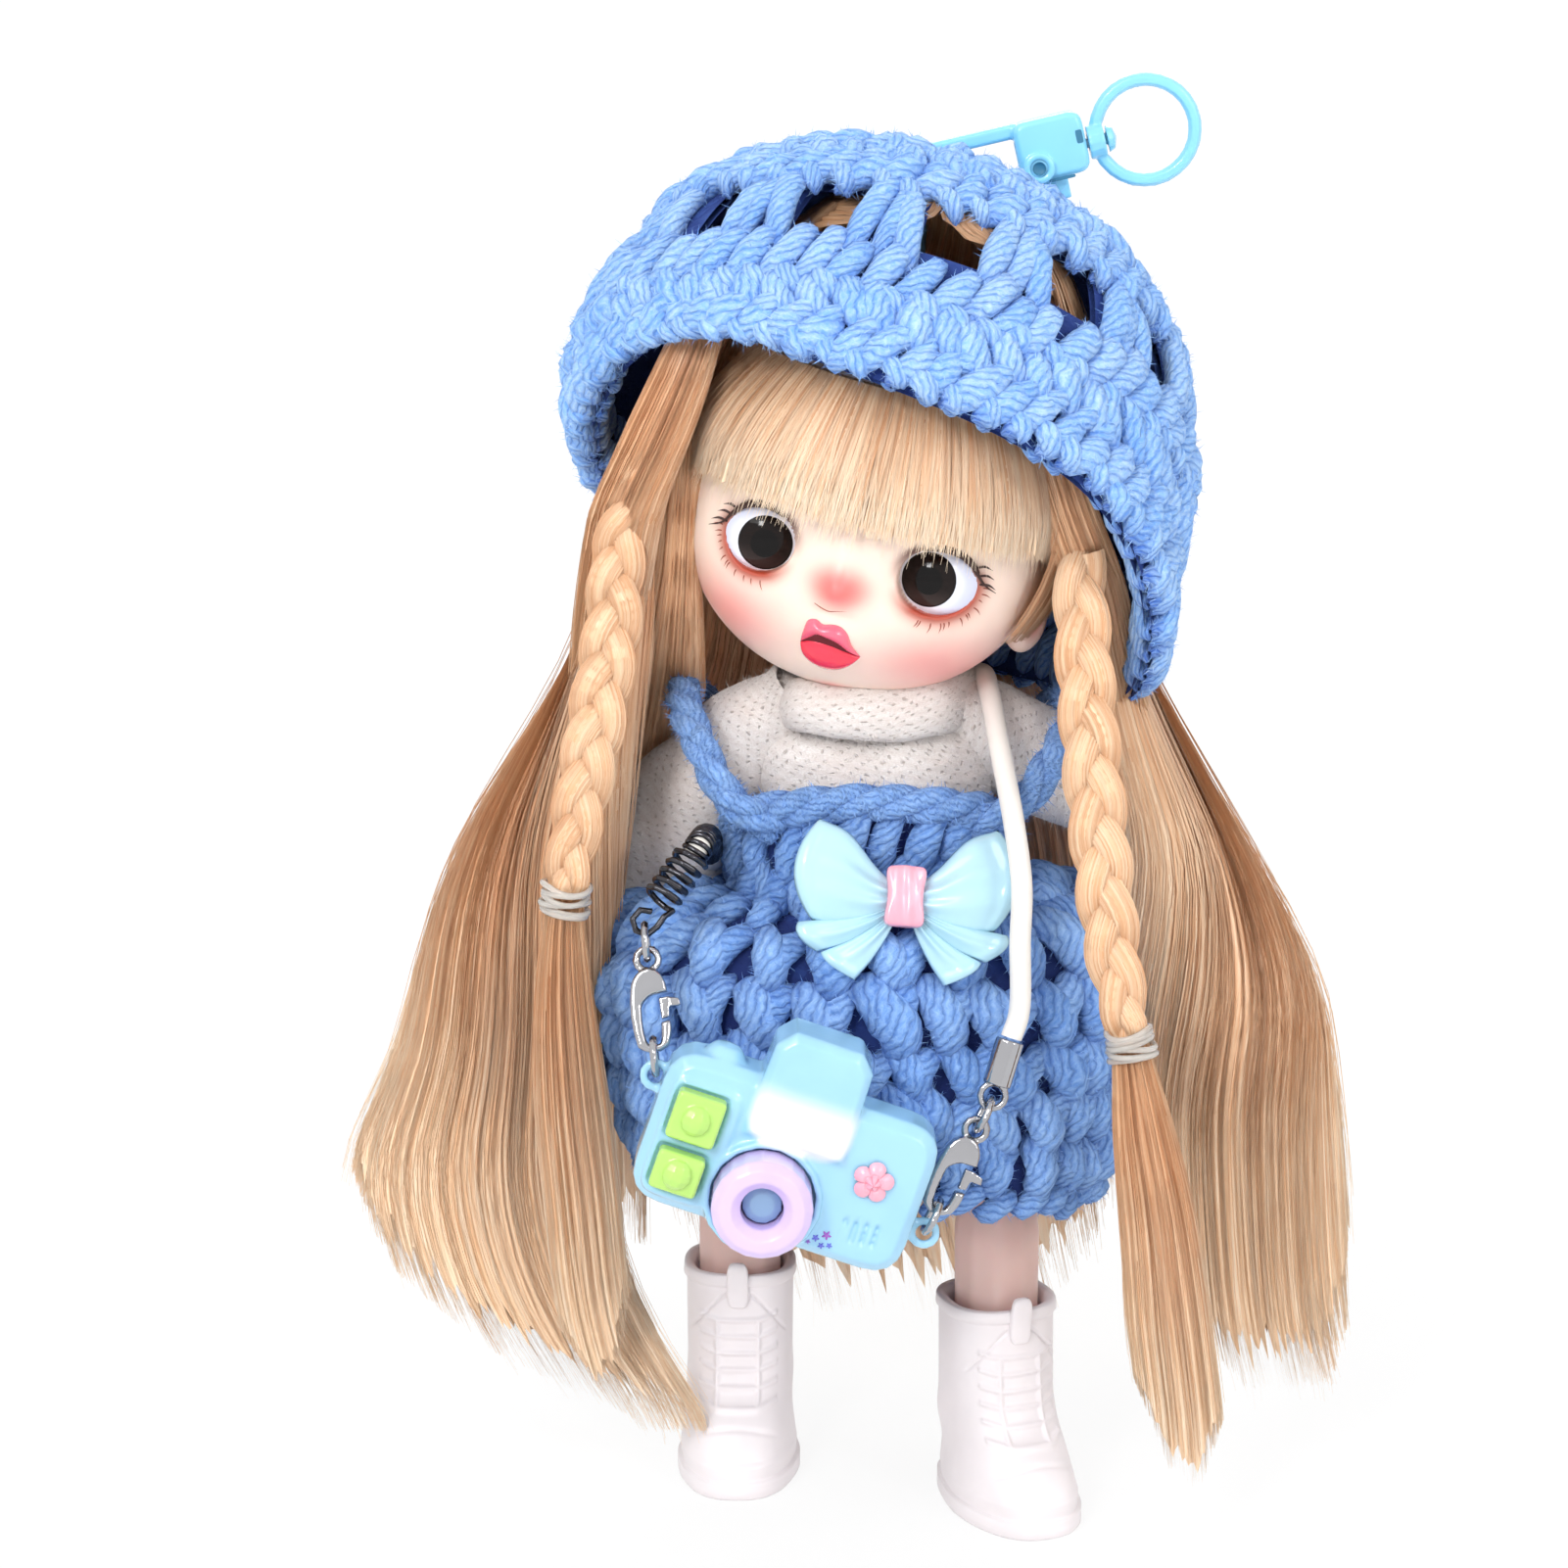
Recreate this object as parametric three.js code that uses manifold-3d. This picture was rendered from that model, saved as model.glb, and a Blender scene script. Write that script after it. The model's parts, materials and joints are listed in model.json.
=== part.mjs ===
// Jointed key-ring doll in a crocheted hat and dress, with a toy camera on a neck cord.
// Millimetres, +Z up. The doll looks towards -Y and its right hand is on -X.

import * as THREE from 'three';
import { mergeVertices } from 'three/addons/utils/BufferGeometryUtils.js';
import Module from 'manifold-3d';

const kernel = await Module();
kernel.setup();

// Clearances
const gap = 0.3;
const sliver = 0.02;

// Torso and neck
const hipHeight = 66;
const hipSpread = 10;
const hipDepth = 1;
const hipBall = 5.5;
const crotchWidth = 8.6;
const waistHeight = 76;
const shoulderHeight = 95;
const shoulderSpread = 14.5;
const shoulderDepth = 1;
const shoulderBall = 3.8;
const torsoTop = 99.2;
const neckDepth = 1;
const neckRadius = 4.2;
const neckPeg = 2.6;
const neckTop = 110;

// Legs and boots
const kneeHeight = 45;
const kneeBall = 5;
const calfRadius = 5.4;
const thighRadius = 6.2;
const ankleHeight = 10;
const ankleBall = 4.2;
const rightFoot = { x: -16, y: 8.2 };
const leftFoot = { x: 15.6, y: -4.8 };
const leftFootTurn = 22;
const bootHeight = 26;
const bootWall = 0.9;
const bootShaftRadius = calfRadius + 0.4 + bootWall;
const bootToe = 16.5;
const bootHeel = 8.4;
const bootBallWidth = 15.8;
const bootHeelWidth = 12.4;
const soleThickness = 2.2;

// Arms, sleeves and sweater
const elbowBall = 3.1;
const wristBall = 2.2;
const upperArmRadius = 3.4;
const forearmRadius = 2.9;
const rightElbow = [-26, 10, 78];
const rightWrist = [-33.5, 19, 66];
const rightFingers = [-35, 20, 57.5];
const leftElbow = [35.5, 4, 84];
const leftWrist = [41.5, 3, 68.5];
const leftFingers = [43, 2, 59];
const sweaterWall = 1.4;
const sweaterHem = 72.4;
const sleeveWall = 1.2;
const cuffRadius = 8.3;
const collarRadius = 10.6;
const collarHeight = 6;

// Dress
const dressWall = 2.6;
const bibFoot = 72.2;
const bibFront = 91;
const bibSide = 81;
const bibBack = 86;
const skirtTop = 76;
const skirtHem = 41;
const skirtHalfWidth = 32.4;
const skirtHalfDepth = 21;
const hemHalfWidth = 28.6;
const strapWidth = 4.8;
const strapThickness = 2.2;

// Head, face and eyes
const headCentre = [-0.5, -1, 121];
const headRoll = 13.6;
const headYaw = -8;
const headTurn = 30;
const headHalfWidth = 22;
const faceDepth = 20.5;
const skullDepth = 21;
const skullRise = 26;
const chinDrop = 19.2;
const headWall = 2.2;
const eyeSpread = 10;
const eyeLevel = -1;
const eyeballRadius = 5.6;
const eyeballDepth = -11.4;
const eyeOpening = 4.15;
const mouthLevel = -10.4;
const noseLevel = -4.4;
const fringeLevel = 3.6;

// Hat
const hatCentre = [0.9, 4, 130.8];
const hatRoll = 18;
const hatPitch = -35;
const hatHalfWidth = 38.2;
const hatHalfDepth = 33;
const hatRise = 34.6;
const hatWall = 3.2;
const brimFlare = -0.6;
const holeRowCount = 14;
const holeRowLevel = 13;
const holeWidth = 5.8;
const holeHeight = 7.6;

// Hair
const braidSides = 8;

// Clip and key ring
const clipDepth = 15;
const eyePin = [6, clipDepth, 157.6];
const eyePinRing = 2.5;
const eyePinWire = 0.7;
const hookWidth = 2.2;
const hookWire = 1.8;
const hookSlope = 13;
const hookOpening = 2.5;
const hookLift = 20;
const hookReach = 12.5;
const clipBoxLength = 8.4;
const clipBoxHeight = 7.4;
const clipBoxDepth = 4.6;
const swivelPin = 0.65;
const swivelHead = 1.7;
const swivelBoss = 2.1;
const swivelRingRadius = 6;
const swivelRingWire = 0.85;

// Toy camera and its strap
const cameraCentre = [-10.8, -28.6, 51.6];
const cameraRoll = 19;
const cameraWidth = 33;
const cameraHeight = 18.6;
const cameraDepth = 8;
const cameraCorner = 4.2;
const lensRadius = 5.9;
const lensHole = 2.5;
const lensReach = 5.4;
const lensSpot = [-0.8, -4.4];
const humpWidth = 12.5;
const humpRise = 6.4;
const cordRadius = 1.25;
const crimpWire = 0.45;
const crimpTurns = 5;
const crimpPitch = 1.32;
const tubeCapLength = 5.4;
const claspLength = 11;
const claspWidth = 4.8;
const claspThickness = 1.7;
const claspTip = 1;

const vec = (p) => new THREE.Vector3(...p);
const degrees = THREE.MathUtils.degToRad;
const mix = THREE.MathUtils.lerp;
const bump = (a, b) => Math.exp(-a * a - b * b);

// Closed surfaces and cuts

function signedVolume(points, faces) {
  let total = 0;
  for (let i = 0; i < faces.length; i += 3) {
    const [a, b, c] = [points[faces[i]], points[faces[i + 1]], points[faces[i + 2]]];
    total += a.dot(new THREE.Vector3().crossVectors(b, c));
  }
  return total / 6;
}

function surface(points, faces) {
  if (signedVolume(points, faces) < 0) {
    faces = faces.slice().reverse();
  }
  const geometry = new THREE.BufferGeometry().setFromPoints(points);
  geometry.setIndex(faces);
  return geometry;
}

function toSolid(geometry) {
  const plain = new THREE.BufferGeometry();
  plain.setAttribute('position', geometry.getAttribute('position').clone());
  if (geometry.index) {
    plain.setIndex(geometry.index.clone());
  }
  const merged = mergeVertices(plain, 1e-4);
  const vertProperties = new Float32Array(merged.getAttribute('position').array);
  const triVerts = new Uint32Array(merged.index.array);
  return new kernel.Manifold(new kernel.Mesh({ numProp: 3, vertProperties, triVerts }));
}

function toGeometry(solid) {
  const mesh = solid.getMesh();
  const geometry = new THREE.BufferGeometry();
  geometry.setAttribute('position', new THREE.BufferAttribute(new Float32Array(mesh.vertProperties), 3));
  geometry.setIndex(new THREE.BufferAttribute(new Uint32Array(mesh.triVerts), 1));
  return geometry;
}

const cut = (solid, ...tools) => tools.reduce((rest, tool) => rest.subtract(tool), solid);
const join = (solid, ...others) => others.reduce((all, other) => all.add(other), solid);
const moved = (solid, matrix) => solid.transform(matrix.elements);

function largestBody(solid) {
  const bodies = solid.decompose();
  return bodies.reduce((a, b) => (Math.abs(a.volume()) > Math.abs(b.volume()) ? a : b));
}

// Rings of points joined into walls: open rows are capped, closed rows go round a hollow

function rows(rings, closed) {
  const count = rings[0].length;
  const points = rings.flat();
  const faces = [];
  const last = closed ? rings.length : rings.length - 1;
  for (let r = 0; r < last; r += 1) {
    const next = (r + 1) % rings.length;
    for (let i = 0; i < count; i += 1) {
      const j = (i + 1) % count;
      const [a, b] = [r * count + i, r * count + j];
      const [c, d] = [next * count + j, next * count + i];
      faces.push(a, b, c, a, c, d);
    }
  }
  if (!closed) {
    for (const r of [0, rings.length - 1]) {
      const centre = rings[r].reduce((sum, p) => sum.add(p), new THREE.Vector3()).divideScalar(count);
      points.push(centre);
      for (let i = 0; i < count; i += 1) {
        const [a, b] = [r * count + i, r * count + ((i + 1) % count)];
        faces.push(...(r === 0 ? [b, a, points.length - 1] : [a, b, points.length - 1]));
      }
    }
  }
  return toSolid(surface(points, faces));
}

const loft = (rings) => rows(rings, false);
const wall = (outer, inner) => rows([...outer, ...inner.slice().reverse()], true);

function oval(x, y, z, halfWidth, halfDepth, { count = 14, turn = 0, power = 2, rise = () => 0 } = {}) {
  const ring = [];
  for (let i = 0; i < count; i += 1) {
    const angle = (i / count) * 2 * Math.PI;
    const [c, s] = [Math.cos(angle), Math.sin(angle)];
    const bulge = (Math.abs(c) ** power + Math.abs(s) ** power) ** (-1 / power);
    const [u, v] = [c * bulge * halfWidth, s * bulge * halfDepth];
    const [ct, st] = [Math.cos(degrees(turn)), Math.sin(degrees(turn))];
    ring.push(new THREE.Vector3(x + u * ct - v * st, y + u * st + v * ct, z + rise(c, s)));
  }
  return ring;
}

// Round pieces

function revolve(profile, count = 12) {
  const geometry = new THREE.LatheGeometry(profile.map(([r, z]) => new THREE.Vector2(r, z)), count);
  geometry.rotateX(Math.PI / 2);
  return toSolid(geometry);
}

function ball(centre, radius, count = 10) {
  const geometry = new THREE.SphereGeometry(radius, count, Math.round(count * 0.7));
  geometry.rotateX(Math.PI / 2);
  geometry.translate(...centre);
  return toSolid(geometry);
}

function ellipsoid(centre, [a, b, c], count = 12) {
  const geometry = new THREE.SphereGeometry(1, count, Math.round(count * 0.7));
  geometry.rotateX(Math.PI / 2);
  geometry.scale(a, b, c);
  geometry.translate(...centre);
  return toSolid(geometry);
}

function frameAlong(from, to) {
  const turn = new THREE.Quaternion().setFromUnitVectors(
    new THREE.Vector3(0, 0, 1),
    vec(to).sub(vec(from)).normalize(),
  );
  return new THREE.Matrix4().compose(vec(from), turn, new THREE.Vector3(1, 1, 1));
}

const rodBetween = (from, to, profile, count = 10) => moved(revolve(profile, count), frameAlong(from, to));

function cylinderAlong(from, to, radius, count = 10) {
  const length = vec(to).distanceTo(vec(from));
  return rodBetween(from, to, [[0, 0], [radius, 0], [radius, length], [0, length]], count);
}

function box(low, high) {
  const size = vec(high).sub(vec(low));
  const geometry = new THREE.BoxGeometry(size.x, size.y, size.z);
  geometry.translate(low[0] + size.x / 2, low[1] + size.y / 2, low[2] + size.z / 2);
  return toSolid(geometry);
}

function ringLink(centre, normal, radius, wire, count = 12, sides = 5) {
  const geometry = new THREE.TorusGeometry(radius, wire, sides, count);
  const turn = new THREE.Quaternion().setFromUnitVectors(new THREE.Vector3(0, 0, 1), vec(normal).normalize());
  geometry.applyQuaternion(turn);
  geometry.translate(...centre);
  return toSolid(geometry);
}

function cordTube(points, radius, steps, sides = 8) {
  const corners = Array.from({ length: sides }, (_, i) => (i / sides) * 2 * Math.PI);
  const polygon = corners.map((a) => new THREE.Vector2(radius * Math.cos(a), radius * Math.sin(a)));
  const shape = new THREE.Shape(polygon);
  const extrudePath = new THREE.CatmullRomCurve3(points, false, 'centripetal');
  return toSolid(new THREE.ExtrudeGeometry(shape, { steps, extrudePath, bevelEnabled: false }));
}

function plate(outline, thickness, bevel = 0, holes = [], curveSegments = 8) {
  const points = Array.isArray(outline)
    ? outline.map(([x, y]) => new THREE.Vector2(x, y))
    : outline.getPoints(curveSegments);
  const distinct = points.filter((p, i) => p.distanceTo(points[(i + 1) % points.length]) > 0.01);
  const shape = new THREE.Shape(distinct);
  shape.holes.push(...holes);
  const geometry = new THREE.ExtrudeGeometry(shape, {
    depth: thickness - 2 * bevel,
    bevelEnabled: bevel > 0,
    bevelSize: bevel,
    bevelThickness: bevel,
    bevelOffset: -bevel,
    bevelSegments: 1,
    curveSegments,
  });
  geometry.translate(0, 0, bevel - thickness / 2);
  geometry.rotateX(Math.PI / 2);
  return toSolid(geometry);
}

function roundedRectangle(x, y, width, height, radius) {
  const shape = new THREE.Shape();
  const [r, t] = [x + width, y + height];
  shape.moveTo(x + radius, y);
  shape.lineTo(r - radius, y);
  shape.quadraticCurveTo(r, y, r, y + radius);
  shape.lineTo(r, t - radius);
  shape.quadraticCurveTo(r, t, r - radius, t);
  shape.lineTo(x + radius, t);
  shape.quadraticCurveTo(x, t, x, t - radius);
  shape.lineTo(x, y + radius);
  shape.quadraticCurveTo(x, y, x + radius, y);
  return shape;
}

function roundHole(x, y, radius) {
  const path = new THREE.Path();
  path.absarc(x, y, radius, 0, 2 * Math.PI, true);
  return path;
}

// A soft band or lock swept along a curve, flat side kept towards `outward`

function sweep(points, sectionAt, steps, outward, sides = 12) {
  const curve = new THREE.CatmullRomCurve3(points.map(vec), false, 'centripetal');
  const rings = [];
  for (let k = 0; k <= steps; k += 1) {
    const t = k / steps;
    const centre = curve.getPoint(t);
    const along = curve.getTangent(t);
    const out = outward(centre, t).addScaledVector(along, -outward(centre, t).dot(along)).normalize();
    const across = new THREE.Vector3().crossVectors(along, out);
    const [halfWidth, halfThickness, power = 2] = sectionAt(t);
    const ring = [];
    for (let i = 0; i < sides; i += 1) {
      const angle = (i / sides) * 2 * Math.PI;
      const [c, s] = [Math.cos(angle), Math.sin(angle)];
      const bulge = (Math.abs(c) ** power + Math.abs(s) ** power) ** (-1 / power);
      ring.push(centre.clone()
        .addScaledVector(across, c * bulge * halfWidth)
        .addScaledVector(out, s * bulge * halfThickness));
    }
    rings.push(ring);
  }
  return loft(rings);
}

// Frames of the tilted groups

function frameOf(position, rotation) {
  const turn = new THREE.Quaternion().setFromEuler(rotation);
  return new THREE.Matrix4().compose(vec(position), turn, new THREE.Vector3(1, 1, 1));
}

const headRotation = new THREE.Euler(0, degrees(headRoll), degrees(headYaw), 'ZYX');
const hatRotation = new THREE.Euler(degrees(hatPitch), degrees(hatRoll), 0, 'ZYX');
const cameraRotation = new THREE.Euler(0, degrees(cameraRoll), 0);
const hookRotation = new THREE.Euler(0, degrees(-hookSlope), 0);
const headFrame = frameOf(headCentre, headRotation);
const hatFrame = frameOf(hatCentre, hatRotation);
const cameraFrame = frameOf(cameraCentre, cameraRotation);
const hookPivot = [eyePin[0], eyePin[1], eyePin[2] + eyePinRing];
const hookFrame = frameOf(hookPivot, hookRotation);
const toHead = headFrame.clone().invert();
const toHat = hatFrame.clone().invert();

// Torso, sweater, bib and skirt share one table of half sizes: height, half width, half depth

const torsoLevels = [
  [57.5, 5.6, 4.6],
  [60, 9.6, 7.2],
  [65, 12.4, 9],
  [69, 12.6, 9.3],
  [waistHeight, 10.8, 8.2],
  [84, 11.8, 8.8],
  [91, 12.8, 8.8],
  [shoulderHeight + 0.5, 12.2, 8],
  [98, 8.6, 6.4],
  [torsoTop, 5.4, 5],
];

function torsoSize(height) {
  const k = torsoLevels.findIndex((level) => level[0] >= height);
  if (k <= 0) {
    return k === 0 ? torsoLevels[0].slice(1) : torsoLevels.at(-1).slice(1);
  }
  const [low, high] = [torsoLevels[k - 1], torsoLevels[k]];
  const t = (height - low[0]) / (high[0] - low[0]);
  return [mix(low[1], high[1], t), mix(low[2], high[2], t)];
}

function torsoRing(height, grow, options) {
  const [halfWidth, halfDepth] = torsoSize(height);
  return oval(0, hipDepth * 0.5, height, halfWidth + grow, halfDepth + grow, { power: 2.3, ...options });
}

const sides = { right: -1, left: 1 };
const hipOf = (side) => [side * hipSpread, hipDepth, hipHeight];
const shoulderOf = (side) => [side * shoulderSpread, shoulderDepth, shoulderHeight];

function torsoSolid() {
  let body = loft(torsoLevels.map((level) => torsoRing(level[0], 0)));
  for (const side of [-1, 1]) {
    const [x, y, z] = hipOf(side);
    const inner = side * crotchWidth / 2;
    const outer = side * 30;
    const socket = hipBall + gap;
    body = cut(
      body,
      cylinderAlong([inner, y, z], [outer, y, z], socket, 24),
      box([Math.min(inner, outer), -20, 40], [Math.max(inner, outer), 20, z]),
      ball(shoulderOf(side), shoulderBall + gap),
    );
  }
  return cut(body, cylinderAlong([0, neckDepth, 92], [0, neckDepth, 105], neckPeg + gap));
}

function neckPostSolid(grow = 0) {
  const shoulder = torsoTop + gap;
  const profile = [
    [0, 92.5 - grow],
    [neckPeg + grow, 92.5 - grow],
    [neckPeg + grow, shoulder - grow],
    [neckRadius + grow, shoulder - grow],
    [neckRadius + grow, 104],
    [neckRadius + 0.7 + grow, 106],
    [neckRadius + 0.7 + grow, neckTop - 2],
    [neckRadius - 1 + grow, neckTop + grow],
    [0, neckTop + grow],
  ];
  return rodBetween([0, neckDepth, 0], [0, neckDepth, 1], profile);
}

function sweaterOuter(height, grow = 0) {
  return torsoRing(height, gap + sweaterWall + grow);
}

function sweaterEnvelope(grow) {
  const heights = [sweaterHem, 76, 84, 91, 95.5, 98];
  return loft(heights.map((height) => sweaterOuter(height, grow)));
}

function sweaterBodySolid() {
  const heights = [sweaterHem, waistHeight, 84, 91, 95.5, 97];
  const outer = heights.map((height) => sweaterOuter(height));
  const inner = heights.map((height) => torsoRing(height, gap));
  const holes = [-1, 1].map((side) => ball(shoulderOf(side), shoulderBall + 1.6));
  return cut(wall(outer, inner), ...holes);
}

function collarSolid() {
  const top = torsoTop + 3.6;
  const low = top - collarHeight;
  const inner = neckRadius + gap;
  const foot = 98;
  const [shoulderWidth] = torsoSize(foot);
  const profile = [
    [shoulderWidth + 0.6, low + 0.6],
    [collarRadius, low],
    [collarRadius + 0.6, low + 1.6],
    [collarRadius, top - 1.4],
    [collarRadius - 1.8, top - 0.2],
    [inner + 1.2, top],
    [inner, top - 1],
    [inner, torsoTop + gap],
    [6, torsoTop + gap],
    [shoulderWidth + 0.6, foot + gap],
    [shoulderWidth + 0.6, low + 0.6],
  ];
  const ring = rodBetween([0, neckDepth, 0], [0, neckDepth, 1], profile, 18);
  const turned = [-headTurn, 0, headTurn].map((angle) => {
    const about = new THREE.Matrix4().makeTranslation(0, neckDepth, 0)
      .multiply(new THREE.Matrix4().makeRotationZ(degrees(angle)))
      .multiply(new THREE.Matrix4().makeTranslation(0, -neckDepth, 0));
    return moved(moved(headSolid(2 * gap, 14, 10), headFrame), about);
  });
  return cut(ring, ...turned, sweaterEnvelope(gap));
}

function bibRing(grow, level, rim) {
  const [halfWidth, halfDepth] = torsoSize(Math.min(level, 91));
  const inset = gap + sweaterWall + gap;
  const rise = rim
    ? (c, s) => bibSide - level
      + (bibFront - bibSide) * Math.max(0, -s) ** 0.6
      + (bibBack - bibSide) * Math.max(0, s)
    : () => 0;
  return oval(
    0, hipDepth * 0.5, level, halfWidth + inset + grow + 0.8, halfDepth + inset + grow + 0.4,
    { count: 20, power: 3.2, rise },
  );
}

function bibSolid(grow = 0) {
  const levels = [bibFoot, waistHeight, bibSide - 1];
  const outer = levels.map((level) => bibRing(dressWall + grow, level, false));
  const inner = levels.map((level) => bibRing(-grow, level, false));
  outer.push(bibRing(dressWall + grow, 86, true));
  inner.push(bibRing(-grow, 86, true));
  return wall(outer, inner);
}

const bibMiddle = (angle, level) => bibRing(dressWall / 2, level, false)[Math.round(angle / 18)].toArray();
const rightStrap = [
  bibMiddle(226, 86), [-16.6, -12.4, 90], [-20.6, -9, 96.6], [-22.4, -3, 100],
  [-21.8, 5, 100], [-19, 11.4, 95], [-15.4, 12.6, 89], bibMiddle(128, 84),
];
const leftStrap = [
  bibMiddle(312, 86), [17.2, -12.4, 89.6], [22, -9, 95.6], [24, -3, 98.6],
  [23.4, 5, 98.4], [20, 11.4, 94], [15.8, 12.6, 88.6], bibMiddle(52, 84),
];
const strapOutward = (centre) => new THREE.Vector3(centre.x * 0.9, centre.y * 1.6, centre.z - 84);

function strapSolid(points, grow = 0) {
  const section = () => [strapWidth / 2 + grow, strapThickness / 2 + grow, 2.6];
  return sweep(points, section, 14, strapOutward, 8);
}

const skirtSteps = [0, 0.1, 0.2, 0.32, 0.65, 1];

function skirtRing(k, grow, shrink = 0) {
  // k runs from 0 at the gathered waist to 1 at the hem
  const [waistWidth, waistDepth] = torsoSize(skirtTop);
  const inset = 3 * gap + sweaterWall + dressWall;
  const shelf = Math.min(1, k / 0.3);
  const bulge = Math.sin(shelf * Math.PI / 2);
  const fall = Math.max(0, (k - 0.3) / 0.7);
  const halfWidth = mix(waistWidth + inset + shrink, mix(skirtHalfWidth, hemHalfWidth, fall ** 1.5), bulge);
  const halfDepth = mix(waistDepth + inset + shrink, mix(skirtHalfDepth, skirtHalfDepth + 1.5, fall), bulge);
  const height = skirtTop - 9 * (1 - Math.cos(shelf * Math.PI / 2)) - (skirtTop - 9 - skirtHem) * fall;
  const folds = 0.45 * bulge;
  const ring = oval(0, hipDepth * 0.5, height, halfWidth + grow, halfDepth + grow, {
    count: 32,
    power: 2.2,
    rise: (c, s) => fall * (2.6 * Math.max(0, -s) - 1.8 * c),
  });
  ring.forEach((point, i) => {
    const wave = 1 + (folds / halfWidth) * Math.cos((i / ring.length) * 2 * Math.PI * 8);
    point.x *= wave;
    point.y *= wave;
  });
  return ring;
}

function skirtSolid() {
  const outer = skirtSteps.map((k) => skirtRing(k, 0, 2.4));
  const inner = skirtSteps.map((k) => skirtRing(k, -dressWall, 2.4 + dressWall));
  inner.forEach((ring, i) => ring.forEach((point) => {
    point.z -= i < 5 ? dressWall * (1 - i / 5) : 0;
  }));
  inner[0].forEach((point, i) => point.copy(outer[0][i]).setZ(skirtTop - dressWall));
  const hollow = [bibFoot - 4, waistHeight, bibSide].map((level) => bibRing(dressWall + gap, level, false));
  return cut(wall(outer, inner), loft(hollow));
}

function skirtEnvelope(grow) {
  return loft(skirtSteps.map((k) => skirtRing(k, grow, 2.4)).map((ring) => {
    ring.forEach((point) => { point.z += grow; });
    return ring;
  }));
}

// Limbs: a ball at the upper joint, a swelling shaft and a hollow seat for the next ball

function limbSolid(from, to, radii, ballRadius, nextBall) {
  const length = vec(to).distanceTo(vec(from));
  const profile = [[0, -ballRadius]];
  for (let k = 1; k <= 4; k += 1) {
    const angle = -Math.PI / 2 + (k / 4) * degrees(128);
    profile.push([ballRadius * Math.cos(angle), ballRadius * Math.sin(angle)]);
  }
  for (const [share, radius] of radii) {
    profile.push([radius, share * length]);
  }
  profile.push([0, length + (nextBall ? -0.2 : 0)]);
  const limb = rodBetween(from, to, profile);
  return nextBall ? cut(limb, ball(to, nextBall + gap)) : limb;
}

const kneeOf = (side) => {
  const foot = side < 0 ? rightFoot : leftFoot;
  return [foot.x, foot.y, kneeHeight];
};
const ankleOf = (side) => {
  const foot = side < 0 ? rightFoot : leftFoot;
  return [foot.x, foot.y, ankleHeight];
};

function thighSolid(side) {
  const radii = [[0.3, hipBall], [0.55, thighRadius], [0.85, thighRadius - 0.4], [0.93, kneeBall - 0.2]];
  const thigh = limbSolid(hipOf(side), kneeOf(side), radii, hipBall, kneeBall);
  return thigh;
}

function shinSolid(side) {
  const radii = [
    [0.12, kneeBall - 0.6], [0.3, calfRadius], [0.7, calfRadius - 0.1], [0.9, calfRadius - 0.7], [0.93, 3.4],
  ];
  return limbSolid(kneeOf(side), ankleOf(side), radii, kneeBall, ankleBall);
}

function footSolid(side) {
  const [x, y, z] = ankleOf(side);
  const turn = side < 0 ? 0 : leftFootTurn;
  const sole = soleThickness + gap;
  const toe = loft([
    oval(0, -3.6, sole, 4, 8.4, { count: 14 }),
    oval(0, -3.4, sole + 2.2, 4.4, 8.2, { count: 14 }),
    oval(0, -1.4, sole + 4.6, 3.6, 5.2, { count: 14 }),
    oval(0, 0, z - 2, 3, 3, { count: 14 }),
  ]);
  const foot = join(toe, ball([0, 0, z], ankleBall));
  return moved(foot, bootFrame(side));
}

function bootFrame(side) {
  const foot = side < 0 ? rightFoot : leftFoot;
  return frameOf([foot.x, foot.y, 0], new THREE.Euler(0, 0, degrees(side < 0 ? -2 : leftFootTurn)));
}

function bootRing(z, toe, heel, halfWidth, shrink = 0) {
  const ring = [];
  const count = 16;
  const [front, back] = [toe - shrink, heel - shrink];
  const centre = (back - front) / 2;
  for (let i = 0; i < count; i += 1) {
    const angle = (i / count) * 2 * Math.PI;
    const [c, s] = [Math.cos(angle), Math.sin(angle)];
    const power = 2.5;
    const bulge = (Math.abs(c) ** power + Math.abs(s) ** power) ** (-1 / power);
    const along = centre + s * bulge * (front + back) / 2;
    const narrow = mix(1, bootHeelWidth / bootBallWidth, THREE.MathUtils.smoothstep(along, -6, 6));
    ring.push(new THREE.Vector3(c * bulge * (halfWidth - shrink) * (front > 9 ? narrow : 1), along, z));
  }
  return ring;
}

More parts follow.
